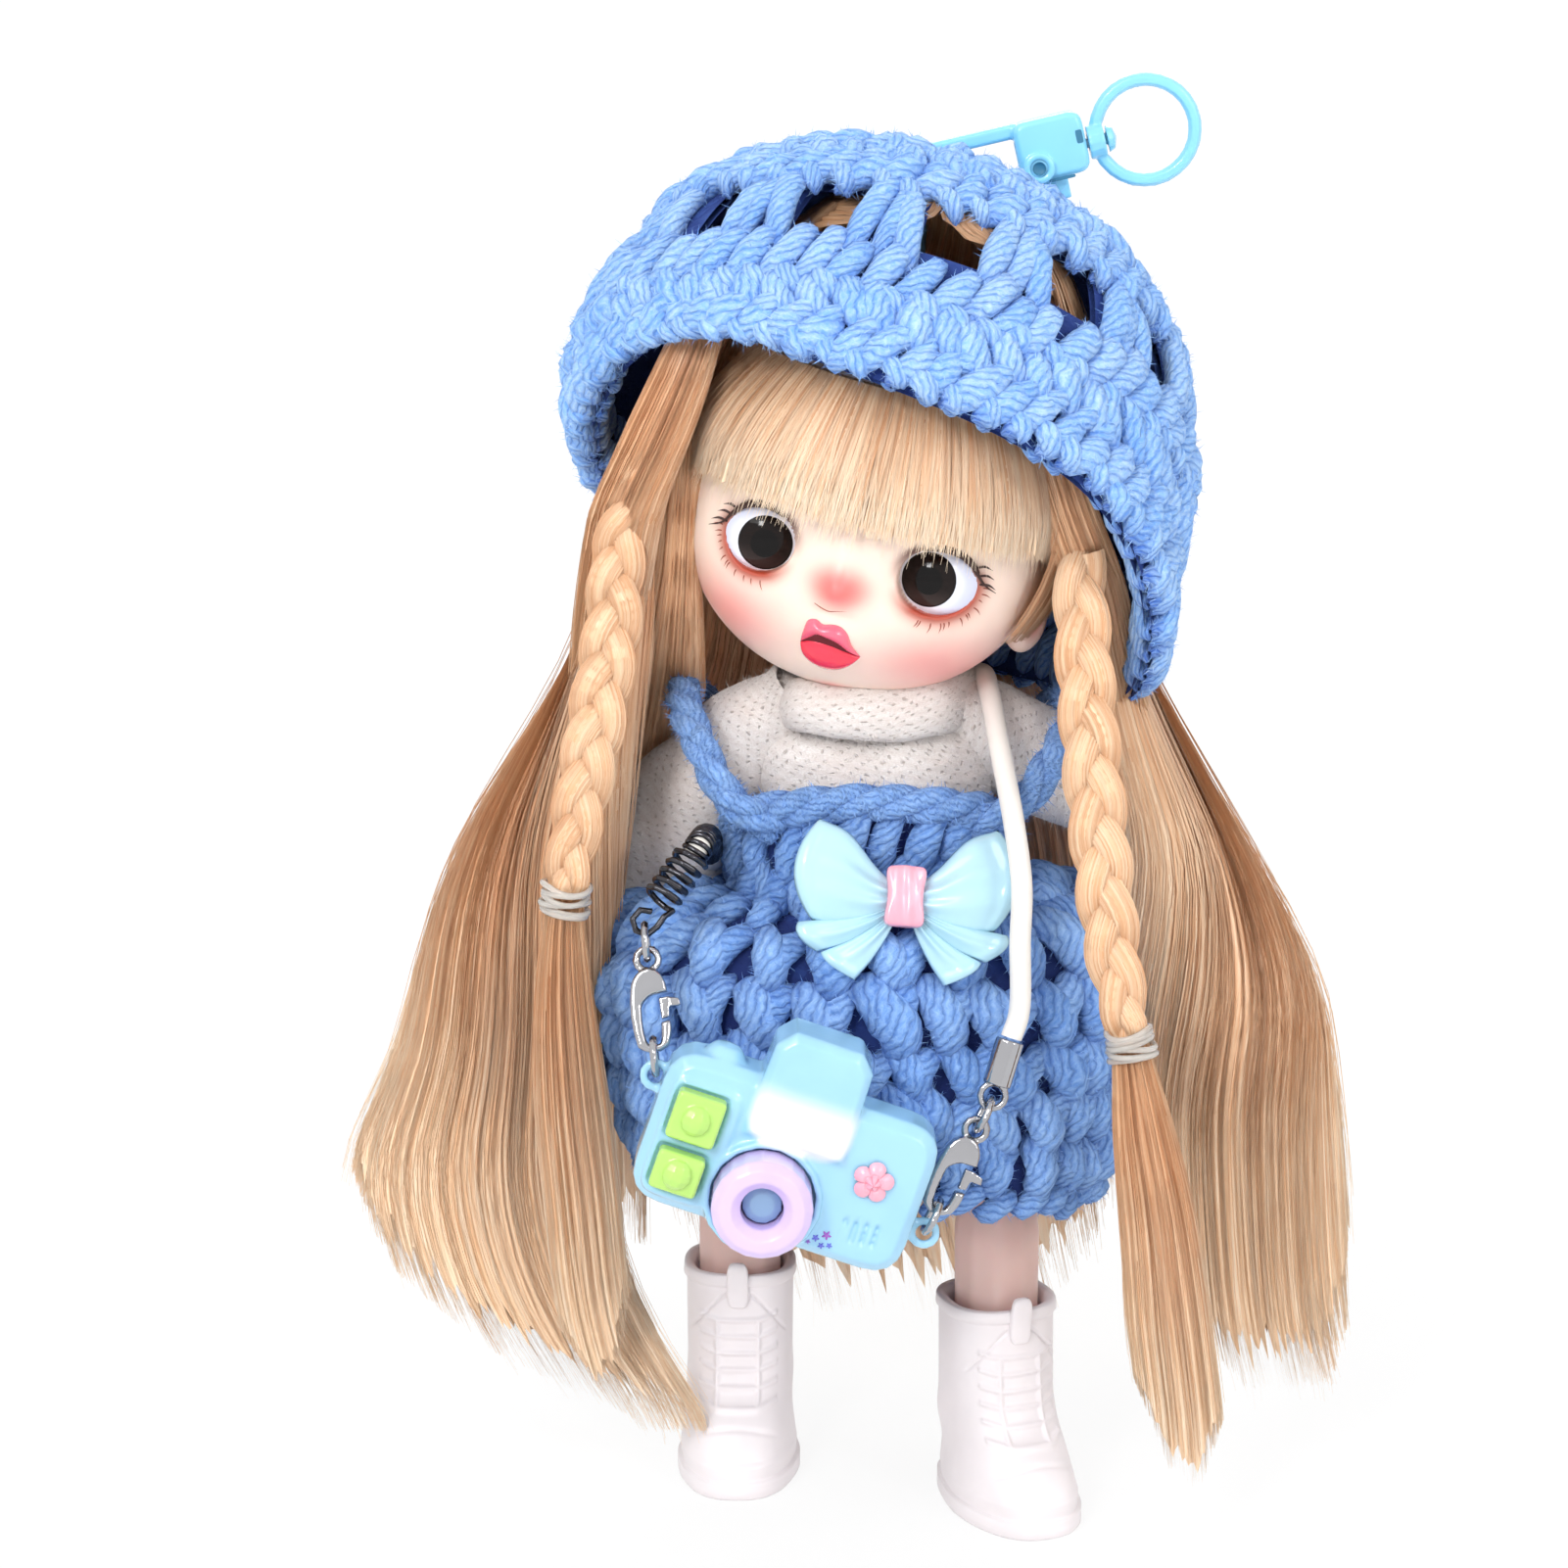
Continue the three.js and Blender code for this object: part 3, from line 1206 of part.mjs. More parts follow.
function cameraBodySolid() {
  const shell = plate(roundedRectangle(
    -cameraWidth / 2 + 0.5, -cameraHeight / 2, cameraWidth, cameraHeight, cameraCorner,
  ), cameraDepth, 1.3, [], 4);
  const grip = plate(roundedRectangle(-cameraWidth / 2 + 1.6, -8, 8.6, 14.6, 2), cameraDepth, 0.5, [], 3);
  const gripForward = moved(grip, new THREE.Matrix4().makeTranslation(0, -0.7, 0));
  const top = cameraHeight / 2;
  const humpOutline = [
    [-humpWidth / 2, top - 7], [humpWidth / 2, top - 7], [humpWidth / 2 - 0.4, top + humpRise - 2],
    [humpWidth / 2 - 2.2, top + humpRise], [-humpWidth / 2 + 2.2, top + humpRise],
    [-humpWidth / 2 + 0.4, top + humpRise - 2],
  ];
  const humpPlace = new THREE.Matrix4().makeTranslation(0.6, -0.9, 0);
  const hump = moved(plate(humpOutline, cameraDepth + 0.6, 0.9), humpPlace);
  const shutterProfile = [[0, 0], [2.4, 0], [2.4, 1], [1.6, 1.9], [0, 2.2]];
  const shutter = rodBetween([-10, 0, top - 0.6], [-10, 0, top], shutterProfile, 16);
  const lugs = lugSpots.map(([x, z]) => join(
    ringLink([x, 0, z], [0, 1, 0], lugRing.radius, lugRing.wire, 10, 5),
    cylinderAlong([x - Math.sign(x) * 3, 0, z], [x - Math.sign(x) * 1.2, 0, z], 1, 10),
  ));
  const slotStarts = [0, 1, 2, 3].map((i) => 9 + i * 1.25);
  const slots = slotStarts.map((x) => box([x, front - 1, -6.6], [x + 0.6, front + 0.7, -3]));
  const seats = buttonSpots.map(([x, z, w, h]) => box(
    [x - w / 2 - gap, front - 2, z - h / 2 - gap], [x + w / 2 + gap, front, z + h / 2 + gap],
  ));
  const lensSeat = rodBetween([lensSpot[0], front, lensSpot[1]], [lensSpot[0], front - 1, lensSpot[1]], [
    [0, -0.6], [lensRadius + gap, -0.6], [lensRadius + gap, 6], [0, 6],
  ], 16);
  const [flowerX, flowerZ] = flowerSpot;
  const flowerSeat = cylinderAlong([flowerX, front - 2, flowerZ], [flowerX, front + 0.6, flowerZ], 1.4, 12);
  const body = join(shell, gripForward, hump, shutter, lensBarrelSolid(), ...lugs);
  return cut(body, ...slots, ...seats, lensSeat, flowerSeat);
}

const lugSpots = [[-cameraWidth / 2 - 0.3, 4.4], [cameraWidth / 2 + 2.3, -3.6]];
const buttonSpots = [[-11.2, 2.6, 5.8, 5.8], [-11.2, -4.2, 5.6, 4.8]];
const flowerSpot = [10.4, 1.6];

function lensRingSolid() {
  const [x, z] = lensSpot;
  const profile = [
    [lensHole, -0.2], [lensRadius, -0.2], [lensRadius, lensReach - 1], [lensRadius - 1, lensReach],
    [lensHole + 1.1, lensReach], [lensHole, lensReach - 1.2], [lensHole, -0.2],
  ];
  return rodBetween([x, front, z], [x, front - 1, z], profile, 20);
}

function lensGlassSolid() {
  const [x, z] = lensSpot;
  const radius = lensHole - gap / 2;
  return rodBetween([x, front, z], [x, front - 1, z], [
    [0, 0], [radius, 0], [radius, lensReach - 3], [radius * 0.6, lensReach - 2.6], [0, lensReach - 2.5],
  ], 12);
}

function buttonSolid([x, z, width, height]) {
  const tile = plate(roundedRectangle(-width / 2, -height / 2, width, height, 0.6), 2.4, 0.3, [], 3);
  const dome = ellipsoid([0, -1, 0], [1.9, 1.5, 1.9], 10);
  return moved(join(tile, dome), new THREE.Matrix4().makeTranslation(x, front - 1.2 - sliver, z));
}

function flowerSolid() {
  const [x, z] = flowerSpot;
  const outline = Array.from({ length: 20 }, (_, i) => {
    const angle = (i / 20) * 2 * Math.PI;
    const radius = 1.9 + 0.6 * Math.sin(5 * angle);
    return [radius * Math.cos(angle), radius * Math.sin(angle)];
  });
  const petals = plate(outline, 1.2, 0.3);
  const centre = ellipsoid([0, -0.5, 0], [0.8, 0.8, 0.8], 8);
  const peg = cylinderAlong([0, 1.3, 0], [0, 0, 0], 1.1, 10);
  return moved(join(petals, centre, peg), new THREE.Matrix4().makeTranslation(x, front - 0.5 - gap, z));
}

// Strap of the toy camera. Each chain is built up from its lug: camera ring, clasp, jump ring, cord end

// Two rings hang in each other when their wires cross with one gap between them
const linkStep = (a, b) => a.radius + b.radius - a.wire - b.wire - gap;
const lugRing = { radius: 1.5, wire: 0.6 };
const smallRing = { radius: 2.1, wire: 0.5 };
const claspEye = { radius: 1.3, wire: 0.5 };
const cordEye = { radius: 1.5, wire: 0.45 };
const claspHold = claspLength + smallRing.radius - smallRing.wire - claspTip - gap;

function chainFrom(lug, up) {
  const upward = vec(up).normalize();
  const out = new THREE.Vector3(0, -1, 0).addScaledVector(upward, upward.y).normalize();
  const across = new THREE.Vector3().crossVectors(upward, out);
  const at = (distance) => lug.clone().addScaledVector(upward, distance);
  const cameraRing = linkStep(lugRing, smallRing);
  const clasp = cameraRing + claspHold;
  const jump = clasp + linkStep(claspEye, smallRing);
  const eye = jump + linkStep(smallRing, cordEye);
  return { out, across, upward, cameraRing: at(cameraRing), clasp: at(clasp), jump: at(jump), eye: at(eye) };
}

const lugWorld = lugSpots.map(([x, z]) => new THREE.Vector3(x, 0, z).applyMatrix4(cameraFrame));
const chains = {
  right: chainFrom(lugWorld[0], [-1.6, 8, 18.3]),
  left: chainFrom(lugWorld[1], [8.6, 2.8, 17]),
};

const crimpAlong = new THREE.Vector3(-4, -2.9, -5).normalize();
const crimpLength = crimpTurns * crimpPitch;
const crimpRadius = cordRadius + gap + crimpWire;
const eyeRise = crimpPitch * 0.75 + cordEye.radius + 0.5;
const crimpStart = chains.right.eye.clone().addScaledVector(crimpAlong, -crimpLength - eyeRise);
const capUp = new THREE.Vector3(1.6, 1, 5).normalize();
const capEyeRise = cordEye.radius - 0.1;
const capTop = chains.left.eye.clone().addScaledVector(capUp, capEyeRise + tubeCapLength + gap);

const neckCordPoints = [
  crimpStart.toArray(), crimpStart.clone().addScaledVector(crimpAlong, -1.6).toArray(),
  [-19.6, -11.6, 85.2], [-19.5, -5, 81.8], [-19, 1, 79.4],
  [-17.6, 8, 79], [-12, 15.4, 82.5], [-4, 16.2, 88], [4, 14.4, 93.6], [10, 9.6, 98.8],
  [13.2, 3, 102.2], [13.9, -5, 101.6], [14.8, -13, 96.6], [16.2, -20.6, 89], [17, -23.4, 82.4],
  [16.8, -25.2, 76.4], capTop.clone().addScaledVector(capUp, 3).toArray(), capTop.toArray(),
];

function cordSolid(grow = 0) {
  return cordTube(neckCordPoints.map(vec), cordRadius + grow, 36);
}

function crimpPath() {
  const side = new THREE.Vector3().crossVectors(crimpAlong, new THREE.Vector3(0, 1, 0)).normalize();
  const other = new THREE.Vector3().crossVectors(crimpAlong, side);
  const points = [];
  for (let k = 0; k <= crimpTurns * 8; k += 1) {
    const angle = (k / 8) * 2 * Math.PI;
    points.push(crimpStart.clone()
      .addScaledVector(crimpAlong, (k / 8) * crimpPitch)
      .addScaledVector(side, crimpRadius * Math.cos(angle))
      .addScaledVector(other, crimpRadius * Math.sin(angle)));
  }
  const leadOut = points.at(-1).clone().addScaledVector(crimpAlong, crimpPitch * 0.75);
  points.push(leadOut.addScaledVector(side, -0.5));
  for (let k = 0; k <= 6; k += 1) {
    const angle = (k / 8) * 2 * Math.PI;
    points.push(chains.right.eye.clone()
      .addScaledVector(side, cordEye.radius * Math.cos(angle))
      .addScaledVector(crimpAlong, cordEye.radius * Math.sin(angle)));
  }
  return points;
}

function leastCoilGap(points, wire) {
  let least = Infinity;
  for (let i = 0; i < points.length; i += 1) {
    for (let j = i + 5; j < points.length; j += 1) {
      least = Math.min(least, points[i].distanceTo(points[j]) - 2 * wire);
    }
  }
  return least;
}

function crimpSolid() {
  const points = crimpPath();
  console.log(`spring crimp: least gap to itself ${leastCoilGap(points, crimpWire).toFixed(2)} mm`);
  return cordTube(points, crimpWire, points.length, 5);
}

function tubeCapSolid() {
  const end = chains.left.eye.clone().addScaledVector(capUp, capEyeRise);
  const start = end.clone().addScaledVector(capUp, tubeCapLength);
  const tube = cylinderAlong(start.toArray(), end.toArray(), 1.7, 14);
  const { eye: middle, out } = chains.left;
  const eye = ringLink(middle.toArray(), out.toArray(), cordEye.radius, cordEye.wire, 12, 6);
  return join(tube, eye);
}

function chainRing(centre, normal) {
  return ringLink(centre.toArray(), normal.toArray(), smallRing.radius, smallRing.wire, 12, 5);
}

function claspShape() {
  const half = claspWidth / 2;
  const inner = claspLength - claspTip;
  const shape = new THREE.Shape();
  shape.moveTo(0, 1);
  shape.quadraticCurveTo(half * 0.7, 1.2, half * 0.9, 3);
  shape.quadraticCurveTo(half * 1.15, claspLength * 0.6, half * 0.75, claspLength - 0.8);
  shape.quadraticCurveTo(0, claspLength + 0.7, -half * 0.75, claspLength - 0.9);
  shape.quadraticCurveTo(-half, claspLength * 0.78, -half * 0.9, claspLength * 0.66);
  shape.lineTo(-half * 0.45, claspLength * 0.68);
  shape.quadraticCurveTo(-half * 0.45, inner - 0.3, -half * 0.3, inner);
  shape.lineTo(half * 0.2, inner);
  shape.quadraticCurveTo(half * 0.5, inner - 0.6, half * 0.45, claspLength * 0.5);
  shape.quadraticCurveTo(half * 0.3, 4.6, -half * 0.1, 4.2);
  shape.lineTo(-half * 0.85, 3.9);
  shape.quadraticCurveTo(-half * 0.8, 1.3, 0, 1);
  return shape;
}

// x across the clasp, y out of its plate, z down its length from the eye
function claspFrame(chain) {
  const down = chain.upward.clone().negate();
  const across = new THREE.Vector3().crossVectors(chain.out.clone().negate(), down);
  return new THREE.Matrix4().makeBasis(across, chain.out.clone().negate(), down).setPosition(chain.clasp);
}

function claspSolid(chain) {
  const plateBody = plate(claspShape(), claspThickness, 0.25, [], 4);
  const eye = ringLink([0, 0, 0], [0, 1, 0], claspEye.radius, claspEye.wire, 12, 5);
  return moved(join(plateBody, eye), claspFrame(chain));
}

function claspLeverSolid(chain) {
  const half = claspWidth / 2;
  const foot = 4.2 + gap;
  const bar = plate([
    [-half * 0.9, foot], [-half * 0.4, foot + 0.1], [-half * 0.48, claspLength * 0.67 - gap],
    [-half * 0.88, claspLength * 0.65 - gap],
  ], claspThickness * 0.7);
  const tab = plate([
    [-half - 0.9, foot + 0.3], [-half * 0.8, foot], [-half * 0.8, foot + 1.2], [-half - 1.1, foot + 1.1],
  ], claspThickness * 0.5);
  return moved(join(bar, tab), claspFrame(chain));
}

// Bow: two moulded loops with tails behind them, and a separate knot

const bowCentre = [3.6, -18.6, 79.8];
const bowTilt = new THREE.Euler(degrees(-19), degrees(4), 0);

function bowLoopsSolid() {
  const half = new THREE.Shape();
  half.moveTo(1.2, -1.6);
  half.quadraticCurveTo(6, 2, 11.6, 8.4);
  half.quadraticCurveTo(13.6, 6, 13.2, 0);
  half.quadraticCurveTo(13, -4, 10, -5.2);
  half.quadraticCurveTo(5, -4.6, 1.2, -1.6);
  const tail = new THREE.Shape();
  tail.moveTo(0.8, 0.6);
  tail.quadraticCurveTo(4.6, -2, 12.6, -6);
  tail.quadraticCurveTo(9.6, -9.4, 7, -10.2);
  tail.quadraticCurveTo(3, -6, 0.8, -1.4);
  tail.lineTo(0.8, 0.6);
  const mirror = new THREE.Matrix4().makeScale(-1, 1, 1);
  const loop = moved(plate(half, 3, 0.8, [], 4), new THREE.Matrix4().makeTranslation(0, -1, 0));
  const back = plate(tail, 2, 0.6, [], 4);
  const bridge = box([-2, -1.6, -1.3], [2, 0.6, 1.3]);
  const bow = join(loop, moved(loop, mirror), back, moved(back, mirror), bridge);
  return moved(cut(bow, bowKnotLocal(gap)), frameOf(bowCentre, bowTilt));
}

function bowKnotLocal(grow = 0) {
  return ellipsoid([0, -2, 0], [2.9 + grow, 1.9 + grow, 3.2 + grow], 12);
}

// Scene

const parts = {};

function addMesh(parent, name, solid, look) {
  const geometry = toGeometry(solid).toNonIndexed();
  geometry.computeVertexNormals();
  const material = new THREE.MeshStandardMaterial({ name: `${name}_material`, ...look });
  const mesh = new THREE.Mesh(geometry, material);
  mesh.name = name;
  parent.add(mesh);
  parts[name] = mesh;
  return mesh;
}

const vinyl = { color: 0xf6dccb, roughness: 0.45, metalness: 0 };
const limbVinyl = { color: 0xdcb3ad, roughness: 0.5, metalness: 0 };
const knit = { color: 0xf3efe9, roughness: 0.95, metalness: 0 };
const hatYarn = { color: 0x8cb8f2, roughness: 0.95, metalness: 0 };
const dressYarn = { color: 0x6496dc, roughness: 0.95, metalness: 0 };
const blondeHair = { color: 0xddb98a, roughness: 0.5, metalness: 0 };
const chrome = { color: 0xcfd2d6, roughness: 0.15, metalness: 1 };
const darkSteel = { color: 0x4c4c50, roughness: 0.35, metalness: 1 };
const bluePaint = { color: 0x9fe0f8, roughness: 0.3, metalness: 0.1 };
const bootPlastic = { color: 0xf4eef0, roughness: 0.5, metalness: 0 };
const toyBlue = { color: 0x9ed2e8, roughness: 0.25, metalness: 0 };
const resinBlue = { color: 0xb4e4f0, roughness: 0.2, metalness: 0 };
const pinkResin = { color: 0xf8aab4, roughness: 0.3, metalness: 0 };
const lilac = { color: 0xe2cdf2, roughness: 0.25, metalness: 0 };
const limeGreen = { color: 0xb0dc6c, roughness: 0.3, metalness: 0 };
const eyeGloss = { color: 0x2a1c18, roughness: 0.08, metalness: 0 };
const glassBlue = { color: 0x8fb0c8, roughness: 0.1, metalness: 0 };
const whiteCord = { color: 0xf6f6f6, roughness: 0.4, metalness: 0 };
const clearElastic = { color: 0xe8e4dc, roughness: 0.1, metalness: 0, transparent: true, opacity: 0.5 };

const doll = new THREE.Group();
const body = new THREE.Group();
const head = new THREE.Group();
const hat = new THREE.Group();
const toyCamera = new THREE.Group();
const hook = new THREE.Group();
head.position.set(...headCentre);
head.rotation.copy(headRotation);
hat.position.set(...hatCentre);
hat.rotation.copy(hatRotation);
toyCamera.position.set(...cameraCentre);
toyCamera.rotation.copy(cameraRotation);
hook.position.set(...hookPivot);
hook.rotation.copy(hookRotation);
doll.add(body, head, hat, toyCamera, hook);

addMesh(body, 'torso', torsoSolid(), vinyl);
addMesh(body, 'neck_post', neckPostSolid(), vinyl);
addMesh(body, 'sweater_body', sweaterBodySolid(), knit);
addMesh(body, 'sweater_collar', collarSolid(), knit);
addMesh(body, 'dress_skirt', skirtSolid(), dressYarn);
const bibTools = [cordSolid(gap)];
const bibWithStraps = join(bibSolid(), strapSolid(rightStrap), strapSolid(leftStrap));
addMesh(body, 'dress_bib', cut(bibWithStraps, ...bibTools), dressYarn);
addMesh(body, 'bow_loops', bowLoopsSolid(), resinBlue);
addMesh(body, 'bow_knot', moved(bowKnotLocal(), frameOf(bowCentre, bowTilt)), pinkResin);
addMesh(body, 'neck_cord', cordSolid(), whiteCord);
addMesh(body, 'cord_spring_crimp', crimpSolid(), darkSteel);
addMesh(body, 'cord_end_tube', tubeCapSolid(), chrome);

for (const [name, side] of Object.entries(sides)) {
  addMesh(body, `upper_arm_${name}`, upperArmSolid(side), limbVinyl);
  addMesh(body, `forearm_${name}`, forearmSolid(side), limbVinyl);
  addMesh(body, `hand_${name}`, handSolid(side), limbVinyl);
  addMesh(body, `sleeve_${name}`, sleeveSolid(side), knit);
  addMesh(body, `thigh_${name}`, thighSolid(side), limbVinyl);
  addMesh(body, `shin_${name}`, shinSolid(side), limbVinyl);
  addMesh(body, `foot_${name}`, footSolid(side), limbVinyl);
  addMesh(body, `boot_${name}`, bootSolid(side), bootPlastic);
  const chain = chains[name];
  addMesh(body, `jump_ring_${name}`, chainRing(chain.jump, chain.across), chrome);
  addMesh(body, `clasp_${name}`, claspSolid(chain), chrome);
  addMesh(body, `clasp_lever_${name}`, claspLeverSolid(chain), chrome);
  addMesh(body, `camera_ring_${name}`, chainRing(chain.cameraRing, chain.across), chrome);
}

addMesh(head, 'head_shell', headShellSolid(), vinyl);
addMesh(head, 'eye_right', eyeballSolid(-1), eyeGloss);
addMesh(head, 'eye_left', eyeballSolid(1), eyeGloss);
addMesh(head, 'wig_cap', wigCapSolid(), blondeHair);
addMesh(head, 'fringe', fringeSolid(), blondeHair);
addMesh(body, 'hair_side_right', curtainCut(rightCurtain, -1), blondeHair);
addMesh(body, 'hair_side_left', curtainCut(leftCurtain, 1), blondeHair);
addMesh(body, 'hair_back', backCurtainCut(), blondeHair);
addMesh(body, 'braid_right', braidCut(rightBraid, rightBraidRadii, -1), blondeHair);
addMesh(body, 'braid_left', braidCut(leftBraid, leftBraidRadii, 1), blondeHair);
addMesh(body, 'elastic_right', elasticSolid(-1), clearElastic);
addMesh(body, 'elastic_left', elasticSolid(1), clearElastic);
addMesh(hat, 'crochet_hat', hatSolid(), hatYarn);
addMesh(body, 'eye_pin', eyePinSolid(), bluePaint);
addMesh(hook, 'hook_frame', hookSolid(), bluePaint);
addMesh(hook, 'hook_gate', gateSolid(), bluePaint);
addMesh(hook, 'swivel_pin', swivelPinSolid(), bluePaint);
addMesh(hook, 'swivel_ring', swivelRingSolid(), bluePaint);

addMesh(toyCamera, 'camera_body', cameraBodySolid(), toyBlue);
addMesh(toyCamera, 'lens_ring', lensRingSolid(), lilac);
addMesh(toyCamera, 'lens_glass', lensGlassSolid(), glassBlue);
addMesh(toyCamera, 'button_upper', buttonSolid(buttonSpots[0]), limeGreen);
addMesh(toyCamera, 'button_lower', buttonSolid(buttonSpots[1]), limeGreen);
addMesh(toyCamera, 'flower_button', flowerSolid(), pinkResin);

// The origin is the middle of the footprint on the floor, measured without the loose cord and its ends
const cordPieces = ['neck_cord', 'cord_spring_crimp', 'cord_end_tube'];
doll.updateMatrixWorld(true);
const footprint = new THREE.Box3();
for (const [name, piece] of Object.entries(parts)) {
  if (!cordPieces.includes(name)) {
    footprint.expandByObject(piece, true);
  }
}
const middle = footprint.getCenter(new THREE.Vector3());
doll.position.set(-middle.x, -middle.y, -footprint.min.z);

export default doll;
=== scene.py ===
import json
import math
import bpy
import numpy as np
from mathutils import Euler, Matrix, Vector

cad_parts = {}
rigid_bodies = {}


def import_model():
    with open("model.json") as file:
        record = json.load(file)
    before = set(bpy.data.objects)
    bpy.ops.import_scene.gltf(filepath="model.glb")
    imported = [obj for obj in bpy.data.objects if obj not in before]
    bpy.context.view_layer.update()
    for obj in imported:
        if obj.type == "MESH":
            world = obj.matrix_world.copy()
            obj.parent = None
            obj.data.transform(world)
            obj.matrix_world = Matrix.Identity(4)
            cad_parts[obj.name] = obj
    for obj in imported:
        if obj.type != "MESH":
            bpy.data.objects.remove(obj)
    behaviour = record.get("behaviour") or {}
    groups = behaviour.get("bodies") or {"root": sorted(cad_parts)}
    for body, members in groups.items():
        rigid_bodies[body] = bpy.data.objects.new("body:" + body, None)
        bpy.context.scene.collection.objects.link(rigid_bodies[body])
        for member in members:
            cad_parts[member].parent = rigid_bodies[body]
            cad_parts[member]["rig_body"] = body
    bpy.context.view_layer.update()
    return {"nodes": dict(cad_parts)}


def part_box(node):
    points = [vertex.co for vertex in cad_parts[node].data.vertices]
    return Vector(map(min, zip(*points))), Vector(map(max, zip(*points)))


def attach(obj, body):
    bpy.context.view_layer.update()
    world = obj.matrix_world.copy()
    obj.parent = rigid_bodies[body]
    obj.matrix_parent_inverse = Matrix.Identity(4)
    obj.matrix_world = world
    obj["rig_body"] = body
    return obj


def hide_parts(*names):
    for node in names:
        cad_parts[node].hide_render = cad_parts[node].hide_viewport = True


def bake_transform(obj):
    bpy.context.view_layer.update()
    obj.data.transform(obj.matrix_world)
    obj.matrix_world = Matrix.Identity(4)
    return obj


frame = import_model()
rng = np.random.default_rng(7)

# The shapes below are in the part's own millimetres, and SHIFT takes them to the frame's place
low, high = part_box("neck_post")
SHIFT = np.array([(low.x + high.x) * 500, (low.y + high.y) * 500 - 1, 0])
MM = 0.001
pi = math.pi


def arr(x):
    """x as an array of floats."""
    return np.asarray(x, float)


def unit(v):
    """Vectors made one long."""
    return v / np.maximum(np.linalg.norm(v, axis=-1, keepdims=True), 1e-9)


def ease(x, a=0.0, b=1.0):
    """A soft step from 0 at a to 1 at b."""
    t = np.clip((arr(x) - a) / (b - a), 0, 1)
    return t * t * (3 - 2 * t)


def blob(*terms):
    """1 where every term is 0, falling smoothly to 0 about two units away."""
    return np.exp(-sum(t * t for t in terms))


def spread(n, a, b):
    """n even steps from a to b."""
    return np.linspace(a, b, n)


def circle(n):
    """n even angles all the way round."""
    return spread(n + 1, 0, 2 * pi)[:-1]


def polar(n, m, reach=1.0):
    """n angles round and m steps from the middle out to reach, as two grids."""
    return np.meshgrid(circle(n), spread(m, 0, reach))


def squarish(c, s, power):
    """How far out a rounded square lies in the direction (c, s), beside a circle's 1."""
    return (abs(c) ** power + abs(s) ** power) ** (-1 / power)


def puff(v, power):
    """v to a power, with its sign kept, so that a ball becomes a cushion."""
    return np.sign(v) * abs(v) ** power


def xyz(*parts):
    """Points from their three coordinates, which broadcast together."""
    return np.stack(np.broadcast_arrays(*(arr(p) for p in parts)), -1)


class Place:
    """A turned frame: its own millimetres to the part's millimetres."""

    def __init__(self, origin, rx=0, ry=0, rz=0):
        self.origin = arr(origin)
        self.turn = arr(Euler([math.radians(a) for a in (rx, ry, rz)], "XYZ").to_matrix())

    def __call__(self, p):
        return arr(p) @ self.turn.T + self.origin

    def inside(self, p):
        return (arr(p) - self.origin) @ self.turn


# The frames of the parts that lean: origin in mm, then turns in degrees
HEAD = Place((-0.5, -1, 121), 0, 13.6, -8)
HAT = Place((0.9, 4, 130.8), -35, 18, 0)
TOY = Place((-10.8, -28.6, 51.6), 0, 19, 0)
BOW = Place((3.6, -18.6, 79.8), -19, 4, 0)
HOOK = Place((6, 15, 160.1), 0, -13, 0)


def curve(points, n):
    """Centripetal Catmull-Rom curve through the points."""
    p = arr(points)
    p = np.vstack([2 * p[0] - p[1], p, 2 * p[-1] - p[-2]])
    out = []
    for t in spread(n, 0, len(p) - 3):
        i = min(int(t), len(p) - 4)
        w = t - i
        q = p[i:i + 4]
        d = np.maximum(np.linalg.norm(np.diff(q, axis=0), axis=1) ** 0.5, 1e-4)
        m1 = (q[1] - q[0]) / d[0] - (q[2] - q[0]) / (d[0] + d[1]) + (q[2] - q[1]) / d[1]
        m2 = (q[2] - q[1]) / d[1] - (q[3] - q[1]) / (d[1] + d[2]) + (q[3] - q[2]) / d[2]
        m1, m2 = m1 * d[1], m2 * d[1]
        out.append((2 * w**3 - 3 * w**2 + 1) * q[1] + (w**3 - 2 * w**2 + w) * m1
                   + (3 * w**2 - 2 * w**3) * q[2] + (w**3 - w**2) * m2)
    return arr(out)


def along(lines, up):
    """Tangent, side and outward vectors, and the distance run, at each point of lines (..., N, 3)."""
    T = unit(np.gradient(lines, axis=-2))
    side = unit(np.cross(T, np.broadcast_to(arr(up), lines.shape)))
    steps = np.linalg.norm(np.diff(lines, axis=-2), axis=-1)
    run = np.concatenate([np.zeros(lines.shape[:-2] + (1,)), np.cumsum(steps, -1)], -1)
    return T, side, np.cross(side, T), run


# Meshes. A chunk is (points, faces, face-corner uvs, {attribute: per-point values})


def grid(points, around=False, uv=None, facts=None, flip=False):
    """Quads over an array of shape (rows, columns, 3); around closes the columns.

    uv holds the step, or each place, of the columns and of the rows.
    """
    points = arr(points)
    m, n = points.shape[:2]
    i, j = np.meshgrid(np.arange(m - 1), np.arange(n if around else n - 1), indexing="ij")
    a, b = i * n + j, i * n + (j + 1) % n
    faces = np.stack([a, b, b + n, a + n], -1).reshape(-1, 4)
    across, down = uv or (1 / n, 1 / (m - 1))
    u = across * np.arange(n + 1)
    v = arr(down) if np.ndim(down) else down * np.arange(m)
    corners = [np.stack([u[p], v[q]], -1) for p, q in ((j, i), (j + 1, i), (j + 1, i + 1), (j, i + 1))]
    corners = np.stack(corners, 2).reshape(-1, 4, 2)
    if flip:
        faces, corners = faces[:, ::-1], corners[:, ::-1]
    facts = {k: arr(value).reshape(m * n, -1) for k, value in (facts or {}).items()}
    return points.reshape(-1, 3), faces, corners, facts


